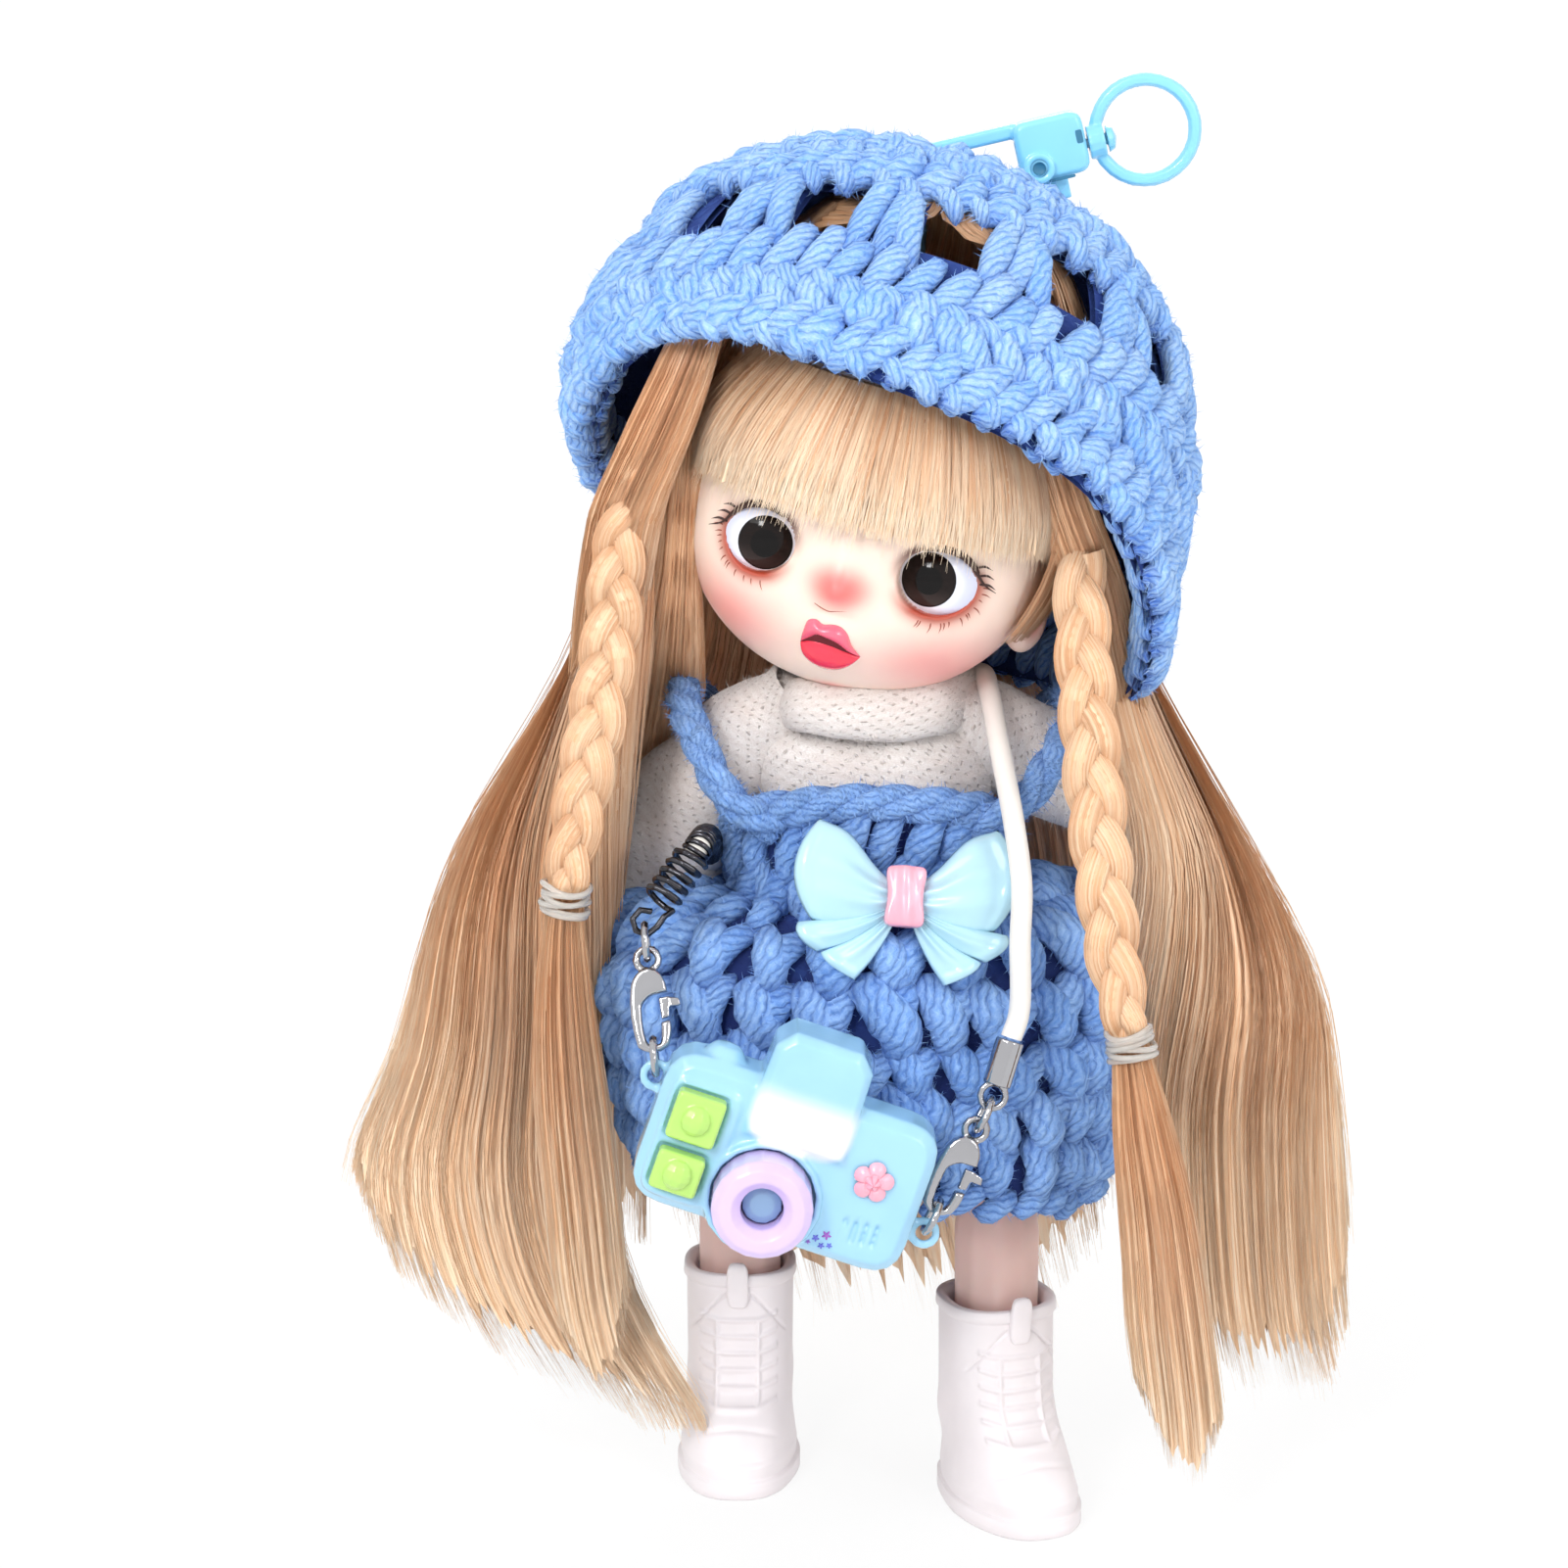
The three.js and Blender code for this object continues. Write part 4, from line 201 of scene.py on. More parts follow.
def tubes(paths, radii, up, sides=12, lobes=0, depth=0.0, twist=0.0, flat=1.0, facts=None):
    """Many tubes at once: paths (S, N, 3), radii (S, N); up gives the side that faces out."""
    P = arr(paths)
    S, N = P.shape[:2]
    _, B, O, L = along(P, up)
    a = np.arange(sides) / sides * 2 * pi
    wave = np.cos(lobes * (a + twist * L[..., None])) if lobes else np.zeros((S, N, sides))
    r = (np.broadcast_to(arr(radii), (S, N))[..., None] * (1 + depth * wave))[..., None]
    V = P[:, :, None] + r * (np.cos(a)[:, None] * B[:, :, None] + flat * np.sin(a)[:, None] * O[:, :, None])
    s, i, j = np.meshgrid(np.arange(S), np.arange(N - 1), np.arange(sides), indexing="ij")
    base = (s * N + i) * sides
    q = (j + 1) % sides
    F = np.stack([base + j, base + sides + j, base + sides + q, base + q], -1).reshape(-1, 4)
    corners = [np.stack([(j + du) / sides, L[s, i + dv]], -1) for du, dv in ((0, 0), (0, 1), (1, 1), (1, 0))]
    made = {}
    for k, v in (facts or {}).items():
        v = arr(v)
        made[k] = np.broadcast_to(v.reshape(v.shape + (1,) * (3 - v.ndim)), (S, N, sides)).reshape(-1, 1)
    return V.reshape(-1, 3), F, np.stack(corners, 3).reshape(-1, 4, 2), made


def ribbons(paths, radii, up, facts, width=0.8):
    """Many hairs at once: each is one strip of quads that faces out along up, width wide in uv."""
    P = arr(paths)
    S, N = P.shape[:2]
    _, side, _, L = along(P, up)
    side = side * np.broadcast_to(arr(radii), (S, N))[..., None]
    s, i = np.meshgrid(np.arange(S), np.arange(N - 1), indexing="ij")
    base = (s * N + i) * 2
    F = np.stack([base, base + 2, base + 3, base + 1], -1).reshape(-1, 4)
    none, full = np.zeros(s.shape), np.full(s.shape, width)
    UV = np.stack([none, L[s, i], none, L[s, i + 1], full, L[s, i + 1], full, L[s, i]], -1).reshape(-1, 4, 2)
    made = {k: np.broadcast_to(arr(v)[..., None], (S, N, 2)).reshape(-1, 1) for k, v in facts.items()}
    return np.stack([P + side, P - side], 2).reshape(-1, 3), F, UV, made


def attribute(mesh, name, data):
    """Puts one number or one vector at each point of a mesh."""
    vector = data.shape[-1] == 3
    layer = mesh.attributes.new(name, "FLOAT_VECTOR" if vector else "FLOAT", "POINT")
    layer.data.foreach_set("vector" if vector else "value", data.astype(np.float32).ravel())


def build(name, chunks, material, body=None, replaces=(), in_metres=False, bend=None):
    """One object from chunks, placed by its mesh, riding on its body; with bend it stays fixed in place, on
    no body.

    in_metres says that the points are already metres in the frame.
    """
    V = np.concatenate([c[0] for c in chunks])
    starts = np.cumsum([0] + [len(c[0]) for c in chunks])
    loops = np.concatenate([(c[1] + start).reshape(-1) for c, start in zip(chunks, starts)])
    sizes = np.concatenate([np.full(len(c[1]), c[1].shape[1]) for c in chunks])
    UV = np.concatenate([np.zeros((c[1].size, 2)) if c[2] is None else c[2].reshape(-1, 2) for c in chunks])
    me = bpy.data.meshes.new(name)
    me.vertices.add(len(V))
    me.vertices.foreach_set("co", (V if in_metres else (V + SHIFT) * MM).astype(np.float32).ravel())
    me.loops.add(len(loops))
    me.loops.foreach_set("vertex_index", loops.astype(np.int32))
    me.polygons.add(len(sizes))
    me.polygons.foreach_set("loop_start", np.concatenate([[0], np.cumsum(sizes)[:-1]]).astype(np.int32))
    me.polygons.foreach_set("use_smooth", np.ones(len(sizes), bool))
    me.update(calc_edges=True)
    me.uv_layers.new(name="UVMap").data.foreach_set("uv", UV.astype(np.float32).ravel())
    for k in sorted({k for c in chunks for k in c[3]}):
        width = max(c[3][k].shape[-1] for c in chunks if k in c[3])
        attribute(me, k, np.concatenate([c[3].get(k, np.zeros((len(c[0]), width))) for c in chunks]))
    me.validate()
    me.materials.append(material)
    obj = bpy.data.objects.new(name, me)
    bpy.context.scene.collection.objects.link(obj)
    if replaces:
        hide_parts(*replaces)
    if bend:
        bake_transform(obj)
    elif body:
        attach(obj, body)
    return obj


def refine(node, material, voxel, rounds, facts=None):
    """A smooth copy of a CAD node: fine even facets with softened edges, standing for the node."""
    src = frame["nodes"][node]
    obj = bpy.data.objects.new(node + "_fine", src.data.copy())
    bpy.context.scene.collection.objects.link(obj)
    obj.data.materials.clear()
    fine = obj.modifiers.new("fine", "REMESH")
    fine.mode, fine.voxel_size, fine.use_smooth_shade = "VOXEL", voxel * MM, True
    soft = obj.modifiers.new("soft", "SMOOTH")
    soft.factor, soft.iterations = 0.5, rounds
    bpy.context.view_layer.update()
    deps = bpy.context.evaluated_depsgraph_get()
    me = bpy.data.meshes.new_from_object(obj.evaluated_get(deps))
    obj.modifiers.clear()
    obj.data = me
    me.materials.append(material)
    co = np.zeros(len(me.vertices) * 3, np.float32)
    me.vertices.foreach_get("co", co)
    own = co.reshape(-1, 3).astype(float) / MM - SHIFT
    for k, share_at in (facts or {}).items():
        attribute(me, k, arr(share_at(own)).reshape(len(own), -1))
    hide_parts(node)
    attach(obj, src["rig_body"])
    return obj


# Materials


class Socket:
    """A shader socket that can be added, scaled and mixed."""

    def __init__(self, tree, out):
        self.tree, self.out = tree, out

    def math(self, kind, *others, clamp=False):
        n = self.tree.nodes.new("ShaderNodeMath")
        n.operation, n.use_clamp = kind, clamp
        for i, value in enumerate((self, *others)):
            plug(self.tree, value, n.inputs[i])
        return Socket(self.tree, n.outputs[0])

    def __add__(self, o):
        return self.math("ADD", o)

    def __sub__(self, o):
        return self.math("SUBTRACT", o)

    def __rsub__(self, o):
        return self.math("MULTIPLY", -1.0).math("ADD", o)

    def __mul__(self, o):
        return self.math("MULTIPLY", o)

    def __pow__(self, o):
        return self.math("POWER", o)

    __radd__, __rmul__ = __add__, __mul__

    def held(self):
        """The value kept between 0 and 1."""
        return self.math("ADD", 0.0, clamp=True)

    def step(self, a, b):
        """A soft step from 0 at a to 1 at b."""
        n = self.tree.nodes.new("ShaderNodeMapRange")
        n.interpolation_type = "SMOOTHSTEP"
        plug(self.tree, self, n.inputs["Value"])
        n.inputs["From Min"].default_value, n.inputs["From Max"].default_value = (a, b) if a < b else (b, a)
        if a > b:
            n.inputs["To Min"].default_value, n.inputs["To Max"].default_value = 1, 0
        return Socket(self.tree, n.outputs[0])


def plug(tree, value, target):
    """Links a socket to a shader input, or sets the input to a plain value."""
    if isinstance(value, Socket):
        tree.links.new(value.out, target)
    elif isinstance(value, (tuple, list)) and len(value) == 3 and len(target.default_value) == 4:
        target.default_value = (*value, 1)
    else:
        target.default_value = value


class Shade:
    """One material: a Principled surface with its nodes."""

    def __init__(self, name, **fixed):
        self.mat = bpy.data.materials.new(name)
        self.mat.use_nodes = True
        self.tree = self.mat.node_tree
        self.tree.nodes.clear()
        self.surface = self.tree.nodes.new("ShaderNodeBsdfPrincipled")
        end = self.tree.nodes.new("ShaderNodeOutputMaterial")
        self.tree.links.new(self.surface.outputs[0], end.inputs[0])
        self.set(**fixed)

    def set(self, **inputs):
        """Sets or links inputs of the surface, named with _ for each space."""
        for k, v in inputs.items():
            plug(self.tree, v, self.surface.inputs[k.replace("_", " ")])
        return self

    def node(self, kind, out=0, sockets=None, **props):
        """A new node's output, with its inputs plugged and its settings made."""
        n = self.tree.nodes.new("ShaderNode" + kind)
        for k, v in props.items():
            setattr(n, k, v)
        for k, v in (sockets or {}).items():
            plug(self.tree, v, n.inputs[k])
        return Socket(self.tree, n.outputs[out])

    def fact(self, name, out="Fac"):
        """A value stored at the mesh's points."""
        return self.node("Attribute", out, attribute_name=name)

    def uv(self):
        """The two uv coordinates, in mm for yarn, knit and hair."""
        both = self.node("SeparateXYZ", "X", {"Vector": self.node("UVMap", "UV", uv_map="UVMap")})
        return both, Socket(self.tree, both.out.node.outputs["Y"])

    def vector(self, x=0.0, y=0.0, z=0.0):
        return self.node("CombineXYZ", 0, {"X": x, "Y": y, "Z": z})

    def parts(self, vector):
        """The three coordinates of a vector."""
        n = self.node("SeparateXYZ", "X", {"Vector": vector})
        return [Socket(self.tree, n.out.node.outputs[k]) for k in "XYZ"]

    def where(self):
        """The place on the object, in metres."""
        return self.node("TexCoord", "Object")

    def noise(self, vector=None, scale=1.0, detail=2.0, rough=0.5):
        v = self.where() if vector is None else vector
        return self.node("TexNoise", 0, {"Vector": v, "Scale": scale, "Detail": detail, "Roughness": rough})

    def blend(self, share, a, b):
        """Colour a, turning into b as share goes from 0 to 1."""
        n = self.tree.nodes.new("ShaderNodeMix")
        n.data_type = "RGBA"
        plug(self.tree, share, n.inputs[0])
        plug(self.tree, a, n.inputs[6])
        plug(self.tree, b, n.inputs[7])
        return Socket(self.tree, n.outputs[2])

    def bump(self, height, size, strength=1.0):
        """A normal that leans with height, which is worth size mm."""
        return self.node("Bump", 0, {"Height": height, "Distance": size * MM, "Strength": strength})


def rgb(r, g, b):
    """A screen colour, 0 to 255, as the linear colour that renders like it."""
    return tuple(((c / 255) / 12.92 if c < 10 else ((c / 255 + 0.055) / 1.055) ** 2.4) for c in (r, g, b))


def yarn(name, light, mid, deep):
    """Plush yarn: soft plies wind round each stitch, covered by short fibres, with painted highlights on the
    ply ridges and painted shade in the valleys.
    """
    s = Shade(name, Roughness=0.9, Sheen_Weight=0.35, Sheen_Roughness=0.4)
    u, v = s.uv()
    # hide is painted shade, stored at the mesh's points
    tone, hide = s.fact("tone"), s.fact("hide")
    clump = s.noise(scale=430.0, detail=3.0, rough=0.6)
    wander = s.noise(s.vector(u * 3.0, v * 0.45, tone * 40.0), 1.0, 2.0)
    ply = u * 8.0 + v * 0.66 + clump * 0.9 + wander * 1.7
    ridge = (ply * pi).math("SINE").math("ABSOLUTE") ** 0.7
    hair = s.noise(s.vector(ply * 3.4, v * 1.6 - u * 5.0, tone * 30.0), 1.0, 4.0, 0.7)
    # lit: fibre and clump tone, and a painted highlight on the ply ridges
    lit = hair.step(0.3, 0.7) * 0.66 + ridge * 0.26 + clump.step(0.36, 0.64) * 0.14
    lit = (lit + (tone - 0.5) * 0.3 - 0.2).held()
    # low: painted shade where stitches tuck in (hide) and in the valleys between plies, with some random tone
    low = (hide * 0.95 + (1 - ridge) * 0.46 + (0.5 - clump) * 0.3 - hair * 0.15).held()
    s.set(Base_Color=s.blend(low, s.blend(lit, mid, light), deep),
          Normal=s.bump(hair * 0.9 + clump * 0.3 + ridge * 0.6, 0.42, 0.9))
    s.surface.inputs["Sheen Tint"].default_value = (*light, 1)
    return s.mat


def plain(name, colour, rough=0.4, metal=0.0, coat=0.0, grain=0.06, cell=900, **more):
    """Moulded or plated stuff: colour drift, a fine grain and slightly uneven gloss."""
    s = Shade(name, Metallic=metal, **more)
    drift = s.noise(scale=120.0, detail=3.0)
    fine = s.noise(scale=float(cell), detail=3.0)
    darker = tuple(c * 0.86 for c in colour)
    s.set(Base_Color=s.blend(drift.step(0.35, 0.75) * 0.5, colour, darker),
          Roughness=(drift - 0.5) * 0.16 + (fine - 0.5) * 0.1 + rough, Normal=s.bump(fine, grain, 0.35))
    if coat:
        s.set(Coat_Weight=coat, Coat_Roughness=0.06)
    return s.mat


# Yarn colours: painted highlight, mid and painted shade. The cores are darker copies of the yarns, painted
# shade on the backing behind the stitches.
HAT_YARN = yarn("hat_yarn", rgb(194, 224, 255), rgb(124, 180, 250), rgb(44, 98, 206))
HAT_CORE_SHADE = yarn("hat_core", rgb(92, 134, 214), rgb(62, 100, 186), rgb(30, 54, 120))
DRESS_YARN = yarn("dress_yarn", rgb(164, 200, 246), rgb(104, 152, 224), rgb(38, 74, 154))
DRESS_CORE_SHADE = yarn("dress_core", rgb(66, 108, 190), rgb(46, 82, 160), rgb(22, 42, 100))


class Cloth:
    """A ring-shaped surface read by turn (0 to 1) and height along it in mm, with its normals."""

    def __init__(self, point, a, b, around=240, steps=160):
        turn = np.arange(around) / around
        k = spread(steps, a, b)
        P = point(turn[None, :], k[:, None])
        du = np.roll(P, -1, 1) - np.roll(P, 1, 1)
        dk = np.gradient(P, axis=0)
        N = unit(np.cross(du, dk))
        if ((P - P.mean((0, 1))) * N).sum() < 0:
            N = -N
        self.P, self.N, self.around = P, N, around
        step = np.linalg.norm(np.diff(P, axis=0), axis=-1).mean(1)
        self.s = np.concatenate([[0], np.cumsum(step)])
        self.k, self.length = k, self.s[-1]
        self.girth = np.linalg.norm(du, axis=-1).sum(1) / 2

    def at(self, turn, s, out=0.0):
        """Points at turn and s (arrays of one shape), out mm above the surface."""
        turn, s = np.broadcast_arrays(arr(turn), arr(s))
        row = np.interp(s, self.s, np.arange(len(self.s)))
        i = np.clip(row.astype(int), 0, len(self.s) - 2)
        w = (row - i)[..., None]
        col = (turn % 1) * self.around
        j = col.astype(int) % self.around
        x = (col - np.floor(col))[..., None]
        k = (j + 1) % self.around

        def read(G):
            return (G[i, j] * (1 - x) + G[i, k] * x) * (1 - w) + (G[i + 1, j] * (1 - x) + G[i + 1, k] * x) * w

        N = unit(read(self.N))
        return read(self.P) + N * arr(out)[..., None], N

    def round(self, s):
        """The girth at height s."""
        return np.interp(s, self.s, self.girth)

    def s_at(self, k):
        """The height in mm at share k of the outline, which may run up or down."""
        way = 1 if self.k[0] < self.k[-1] else -1
        return np.interp(k * way, self.k * way, self.s)


YARN_LOBES, YARN_WIND = 3, 0.16
# Loose fibres: how long and how thick, in mm
HAT_FIBRE, DRESS_FIBRE, KNIT_FIBRE = (1.2, 0.055), (1.1, 0.055), (1.1, 0.035)


def stitches(cloth, turns, s0, height, radius, lean=0.0, swell=1.0, steps=9, curl=0.0, flip=False):
    """A row of fat stitches: each runs up from s0 by height, leans, swells out and tucks in at both ends."""
    sink, taper = 0.4, 0.55
    n = len(turns)
    t = spread(steps, 0, 1)[None, :]
    jig = rng.normal(0, 1, (6, n, 1))
    h = np.broadcast_to(arr(height), (n,))[:, None] * (1 + 0.08 * jig[0])
    s = arr(s0).reshape(-1, 1) + h * t + 0.35 * jig[1]
    aside = (arr(lean) * (t - 0.5) + curl * np.sin(pi * t)) * (1 + 0.2 * jig[2]) + 0.35 * jig[3]
    out = -sink + (swell + sink) * np.sin(pi * t) ** 0.7 * (1 + 0.08 * jig[4])
    turn = arr(turns)[:, None] + aside / cloth.round(s)
    P, N = cloth.at(turn, s, (-out if flip else out))
    R = radius * (taper + (1 - taper) * np.sin(pi * t) ** 0.8) * (1 + 0.07 * jig[5])
    R = R * np.where((t == 0) | (t == 1), 0.25, 1) * (1 + 0.04 * rng.normal(0, 1, (n, steps)))
    tone = rng.random((n, 1)) + np.zeros_like(t)
    # hide is painted shade, strongest at both ends where each stitch tucks in
    hide = (1 - np.sin(pi * t) ** 0.55) * 0.8 + np.zeros((n, 1))
    return tubes(P, R, -N if flip else N, 8, YARN_LOBES, 0.09, YARN_WIND, 0.85, {"tone": tone, "hide": hide})


def fuzz(chunks, count, length, thick):
    """Fine loose fibres that stand off the yarn."""
    V = np.concatenate([c[0] for c in chunks])
    starts = np.cumsum([0] + [len(c[0]) for c in chunks])
    F = np.concatenate([c[1] + start for c, start in zip(chunks, starts)])
    pick = F[rng.integers(0, len(F), count)]
    a, b, c = V[pick[:, 0]], V[pick[:, 1]], V[pick[:, 2]]
    at = (a + c) / 2
    N = unit(np.cross(b - a, c - a))
    lay = unit(rng.normal(0, 1, (count, 3)))
    d = unit(N * rng.uniform(0.15, 0.75, (count, 1)) + lay * 0.9)
    size = length * rng.uniform(0.35, 1, (count, 1))
    side = unit(np.cross(d, lay)) * thick
    P = np.stack([at - side, at + side, at + d * size + lay * size * 0.28], 1).reshape(-1, 3)
    faces = np.arange(count)[:, None] * 3 + [0, 1, 2]
    return [(P, faces, None, {"tone": rng.random(count).repeat(3)[:, None]})]


# Hat


HAT_WIDE, HAT_DEEP, HAT_HIGH = 38.2, 33, 34.6
WINDOW_COUNT = 14
WINDOW_ROW = 0.66, 0.7, 0.83, 0.87


def hat_rim(c, s):
    """How low the rim hangs: raised over one brow and long over the other ear."""
    turn = np.arctan2(c, -s)
    lifted, long_side = blob((turn + 0.95) / 0.7), blob((turn - 1.6) / 0.62)
    return -10.5 + 6 * lifted - 11 * long_side - 2 * ease(abs(turn), 1.7, 2.8)


def hat_point(turn, k, offset=0.0):
    """k from 0 at the crown to 1 at the hat's widest and 2 at its rim."""
    c, s = np.cos(turn * 2 * pi), np.sin(turn * 2 * pi)
    dome = np.minimum(1, k) * pi / 2
    below = np.maximum(0, k - 1)
    wide = np.where(k <= 1, np.sin(dome) ** 0.93, 1 + below ** 2 * (-0.6 + 2.6 * c) / HAT_WIDE)
    z = np.where(k <= 1, np.maximum(np.cos(dome), 0) ** 0.95 * (HAT_HIGH + offset), below * hat_rim(c, s))
    return HAT(xyz(c * wide * (HAT_WIDE + offset), s * wide * (HAT_DEEP + offset), z))


def windows(turn, k):
    """Where the open row is: 1 inside a window, 0 on a post. Low over the right ear it is closed."""
    place = (turn * WINDOW_COUNT) % 1
    foot, sill, head, top = WINDOW_ROW
    high = ease(k, foot, sill) * (1 - ease(k, head, top))
    return high * (1 - ease(abs(place - 0.5), 0.26, 0.32)) * (abs(turn - 0.5) > 0.1)


hat_out = Cloth(lambda t, k: hat_point(t, k, -1.9), 0.03, 2.0)
hat_in = Cloth(lambda t, k: hat_point(t, k, -2.7), 0.03, 2.0)


def hat_row(k0, k1, count, radius, lean, curl=0.0, swell=1.0, start=0.0, cloth=hat_out, **more):
    """A row of stitches from k1 up to k0 of the hat's outline."""
    a, b = cloth.s_at(k0), cloth.s_at(k1)
    turns = (np.arange(count) + start) / count
    return stitches(cloth, turns, b, a - b, radius, lean, swell, curl=curl, **more)


# Each row: its shares of the outline, stitches, their radius and lean; a second one is laid over every row
HAT_ROWS = (
    (1.34, 2.06, 60, 2.0, 4.4), (0.97, 1.52, 60, 1.95, -3.8), (0.85, 1.06, 58, 1.9, 4.2),
    (0.56, 0.7, 50, 1.9, 3.8), (0.45, 0.59, 44, 1.9, -3.6), (0.34, 0.48, 35, 1.9, 3.4),
    (0.23, 0.37, 26, 1.9, -3.0), (0.12, 0.26, 17, 1.9, 2.4), (0.03, 0.15, 8, 1.9, 1.4))
hat_chunks = []
for k0, k1, count, radius, lean in HAT_ROWS:
    start, step = rng.random(), k1 - k0
    hat_chunks.append(hat_row(k0, k1, count, radius, lean, 0.8 * np.sign(lean), 1.2, start, steps=10))
    hat_chunks.append(hat_row(k0 + step * 0.55, k1 + step * 0.12, count, radius * 0.72, -lean * 0.7, 0.3, 1.5,
                              start + 0.5))
posts = np.arange(WINDOW_COUNT) / WINDOW_COUNT
post_foot, post_top = hat_out.s_at(0.62), hat_out.s_at(0.93)
for shift, lean, radius in ((-1.9, 2.6, 1.7), (1.9, -2.6, 1.7), (0.2, 3.4, 1.5)):
    turns = posts + shift / hat_out.round(post_foot)
    hat_chunks.append(stitches(hat_out, turns, post_top, post_foot - post_top, radius, lean, 0.9, steps=11))

HAT_COLUMNS, HAT_LEVELS = 168, 80
turn, k = np.meshgrid(np.arange(HAT_COLUMNS) / HAT_COLUMNS, spread(HAT_LEVELS, 0.02, 1.99))
shut = windows(turn[:-1] + 0.5 / HAT_COLUMNS, (k[:-1] + k[1:]) / 2).ravel() < 0.5
shadow = {"hide": np.ones((turn.size, 1)), "tone": np.full((turn.size, 1), 0.4)}
# The backing is wholly painted shade: a dark sheet seen through the gaps and windows
hat_core = []
for offset, flip in ((-2.2, False), (-3.0, True)):
    v, f, uv, _ = grid(hat_point(turn, k, offset), True, flip=flip)
    hat_core.append((v, f[shut], uv[shut], shadow))
inner_rows = [
    hat_row(1.5, 2.0, 60, 1.5, -2.2, 0.4, 0.8, cloth=hat_in, flip=True),
    hat_row(1.05, 1.55, 56, 1.4, 2.0, -0.4, 0.7, cloth=hat_in, flip=True),
]
build("hat_base", hat_core, HAT_CORE_SHADE, "head", ["crochet_hat"])
build("hat_stitches", hat_chunks, HAT_YARN, "head")
build("hat_inside", inner_rows, HAT_YARN, "head")
for part in range(2):
    pile = fuzz(hat_chunks, 38000, *HAT_FIBRE)
    build(f"hat_pile_{part}", pile, HAT_YARN, "head")

# Dress


WAIST, CHEST = 76, 91
SWEATER, GAP, YARN = 2, 0.8, 2.6


def torso_size(z):
    """Half width and half depth of the doll's body at height z."""
    level, wide, deep = zip(
        (57.5, 5.6, 4.6), (60, 9.6, 7.2), (65, 12.4, 9), (69, 12.6, 9.3), (WAIST, 10.8, 8.2),
        (84, 11.8, 8.8), (CHEST, 12.8, 8.8), (95.5, 12.2, 8), (98, 8.6, 6.4), (99.2, 5.4, 5))
    return np.interp(z, level, wide), np.interp(z, level, deep)


def ring_of(turn, half_width, half_depth, power):
    """Cosine and sine of the turn, and x and y on a rounded-square ring."""
    c, s = np.cos(turn * 2 * pi), np.sin(turn * 2 * pi)
    bulge = squarish(c, s, power)
    return c, s, c * bulge * half_width, s * bulge * half_depth


def skirt_point(turn, k, offset=0.0):
    """k from 0 at the waist over the full hips to 1 at the hem."""
    waist_w, waist_d = torso_size(WAIST)
    inset = 7.3
    shelf = np.minimum(1, k / 0.3)
    bulge = np.sin(shelf * pi / 2)
    fall = np.clip((k - 0.3) / 0.7, 0, 1.2)
    hw = (waist_w + inset) * (1 - bulge) + (32.4 + (28.6 - 32.4) * fall ** 1.5) * bulge
    hd = (waist_d + inset) * (1 - bulge) + (21 + 1.5 * fall) * bulge
    z = WAIST - 9 * (1 - np.cos(shelf * pi / 2)) - 26 * fall
    c, s, x, y = ring_of(turn, hw + offset, hd + offset, 2.2)
    wave = 1 + 0.45 * bulge / hw * np.cos(turn * 2 * pi * 8)
    return xyz(x * wave, y * wave + 0.5, z + fall * (2.6 * np.maximum(0, -s) - 1.8 * c))


def bib_point(turn, k, offset=0.0):
    """k from 0 at the waist to 1 at the rim."""
    foot = 72.4
    s = np.sin(turn * 2 * pi)
    top = 81 + 10 * np.maximum(0, -s) ** 0.6 + 5 * np.maximum(0, s)
    hw, hd = torso_size(np.minimum(foot + k * 13.6, CHEST))
    out = SWEATER + YARN + offset
    _, _, x, y = ring_of(turn, hw + out + GAP, hd + out + GAP / 2, 3.2)
    return xyz(x, y + 0.5, foot + (top - foot) * k)


skirt_out = Cloth(lambda t, k: skirt_point(t, k, -1.6), 1.04, 0.02)
bib_out = Cloth(lambda t, k: bib_point(t, k, -1.4), -0.08, 1.0)


def skirt_row(s0, height, count, radius, lean, curl=0.0, swell=1.2, start=0.0, **more):
    """A row of stitches of the given height, s0 mm along the skirt from its hem."""
    turns = (np.arange(count) + start) / count
    return stitches(skirt_out, turns, s0, height, radius, lean, swell, curl=curl, **more)


# Each row: place up the skirt, height, stitches, their radius, lean and start
SKIRT_ROWS = (
    (1.9, 7.2, 34, 2.05, -2.6, 0.1), (7.6, 7.8, 32, 2.25, -3.0, 0.3), (13.8, 8.2, 30, 2.4, -3.2, 0.0),
    (20.4, 9.2, 27, 2.75, -3.4, 0.2), (28.0, 9.4, 24, 2.75, -3.0, 0.1))
dress_chunks = [skirt_row(-0.6, 3.4, 44, 1.5, 4.0, 0.0, 0.9, steps=7)]
for foot, height, count, radius, lean, start in SKIRT_ROWS:
    dress_chunks.append(skirt_row(foot, height, count, radius, lean, 1.5, 1.45, start, steps=11))
    dress_chunks.append(skirt_row(foot + 0.4, height - 0.8, count, radius * 0.8, -lean - 0.4, -0.7, 1.15,
                                  start + 0.5))
dress_chunks.append(skirt_row(36.0, max(4.0, skirt_out.length - 36.0), 22, 2.1, -1.6, 0.8, 1.0, 0.3))
bib_high = bib_out.length
bib_chunks = [
    stitches(bib_out, (np.arange(22) + 0.2) / 22, 1.0, 8.4, 2.1, 1.8, 1.0, curl=-0.8, steps=11),
    stitches(bib_out, (np.arange(22) + 0.7) / 22, 1.0, 8.0, 1.8, -2.2, 0.9, curl=0.6, steps=11),
    stitches(bib_out, (np.arange(26) + 0.1) / 26, 7.2, bib_high - 7.8, 1.9, 2.2, 0.9, curl=-0.6),
]


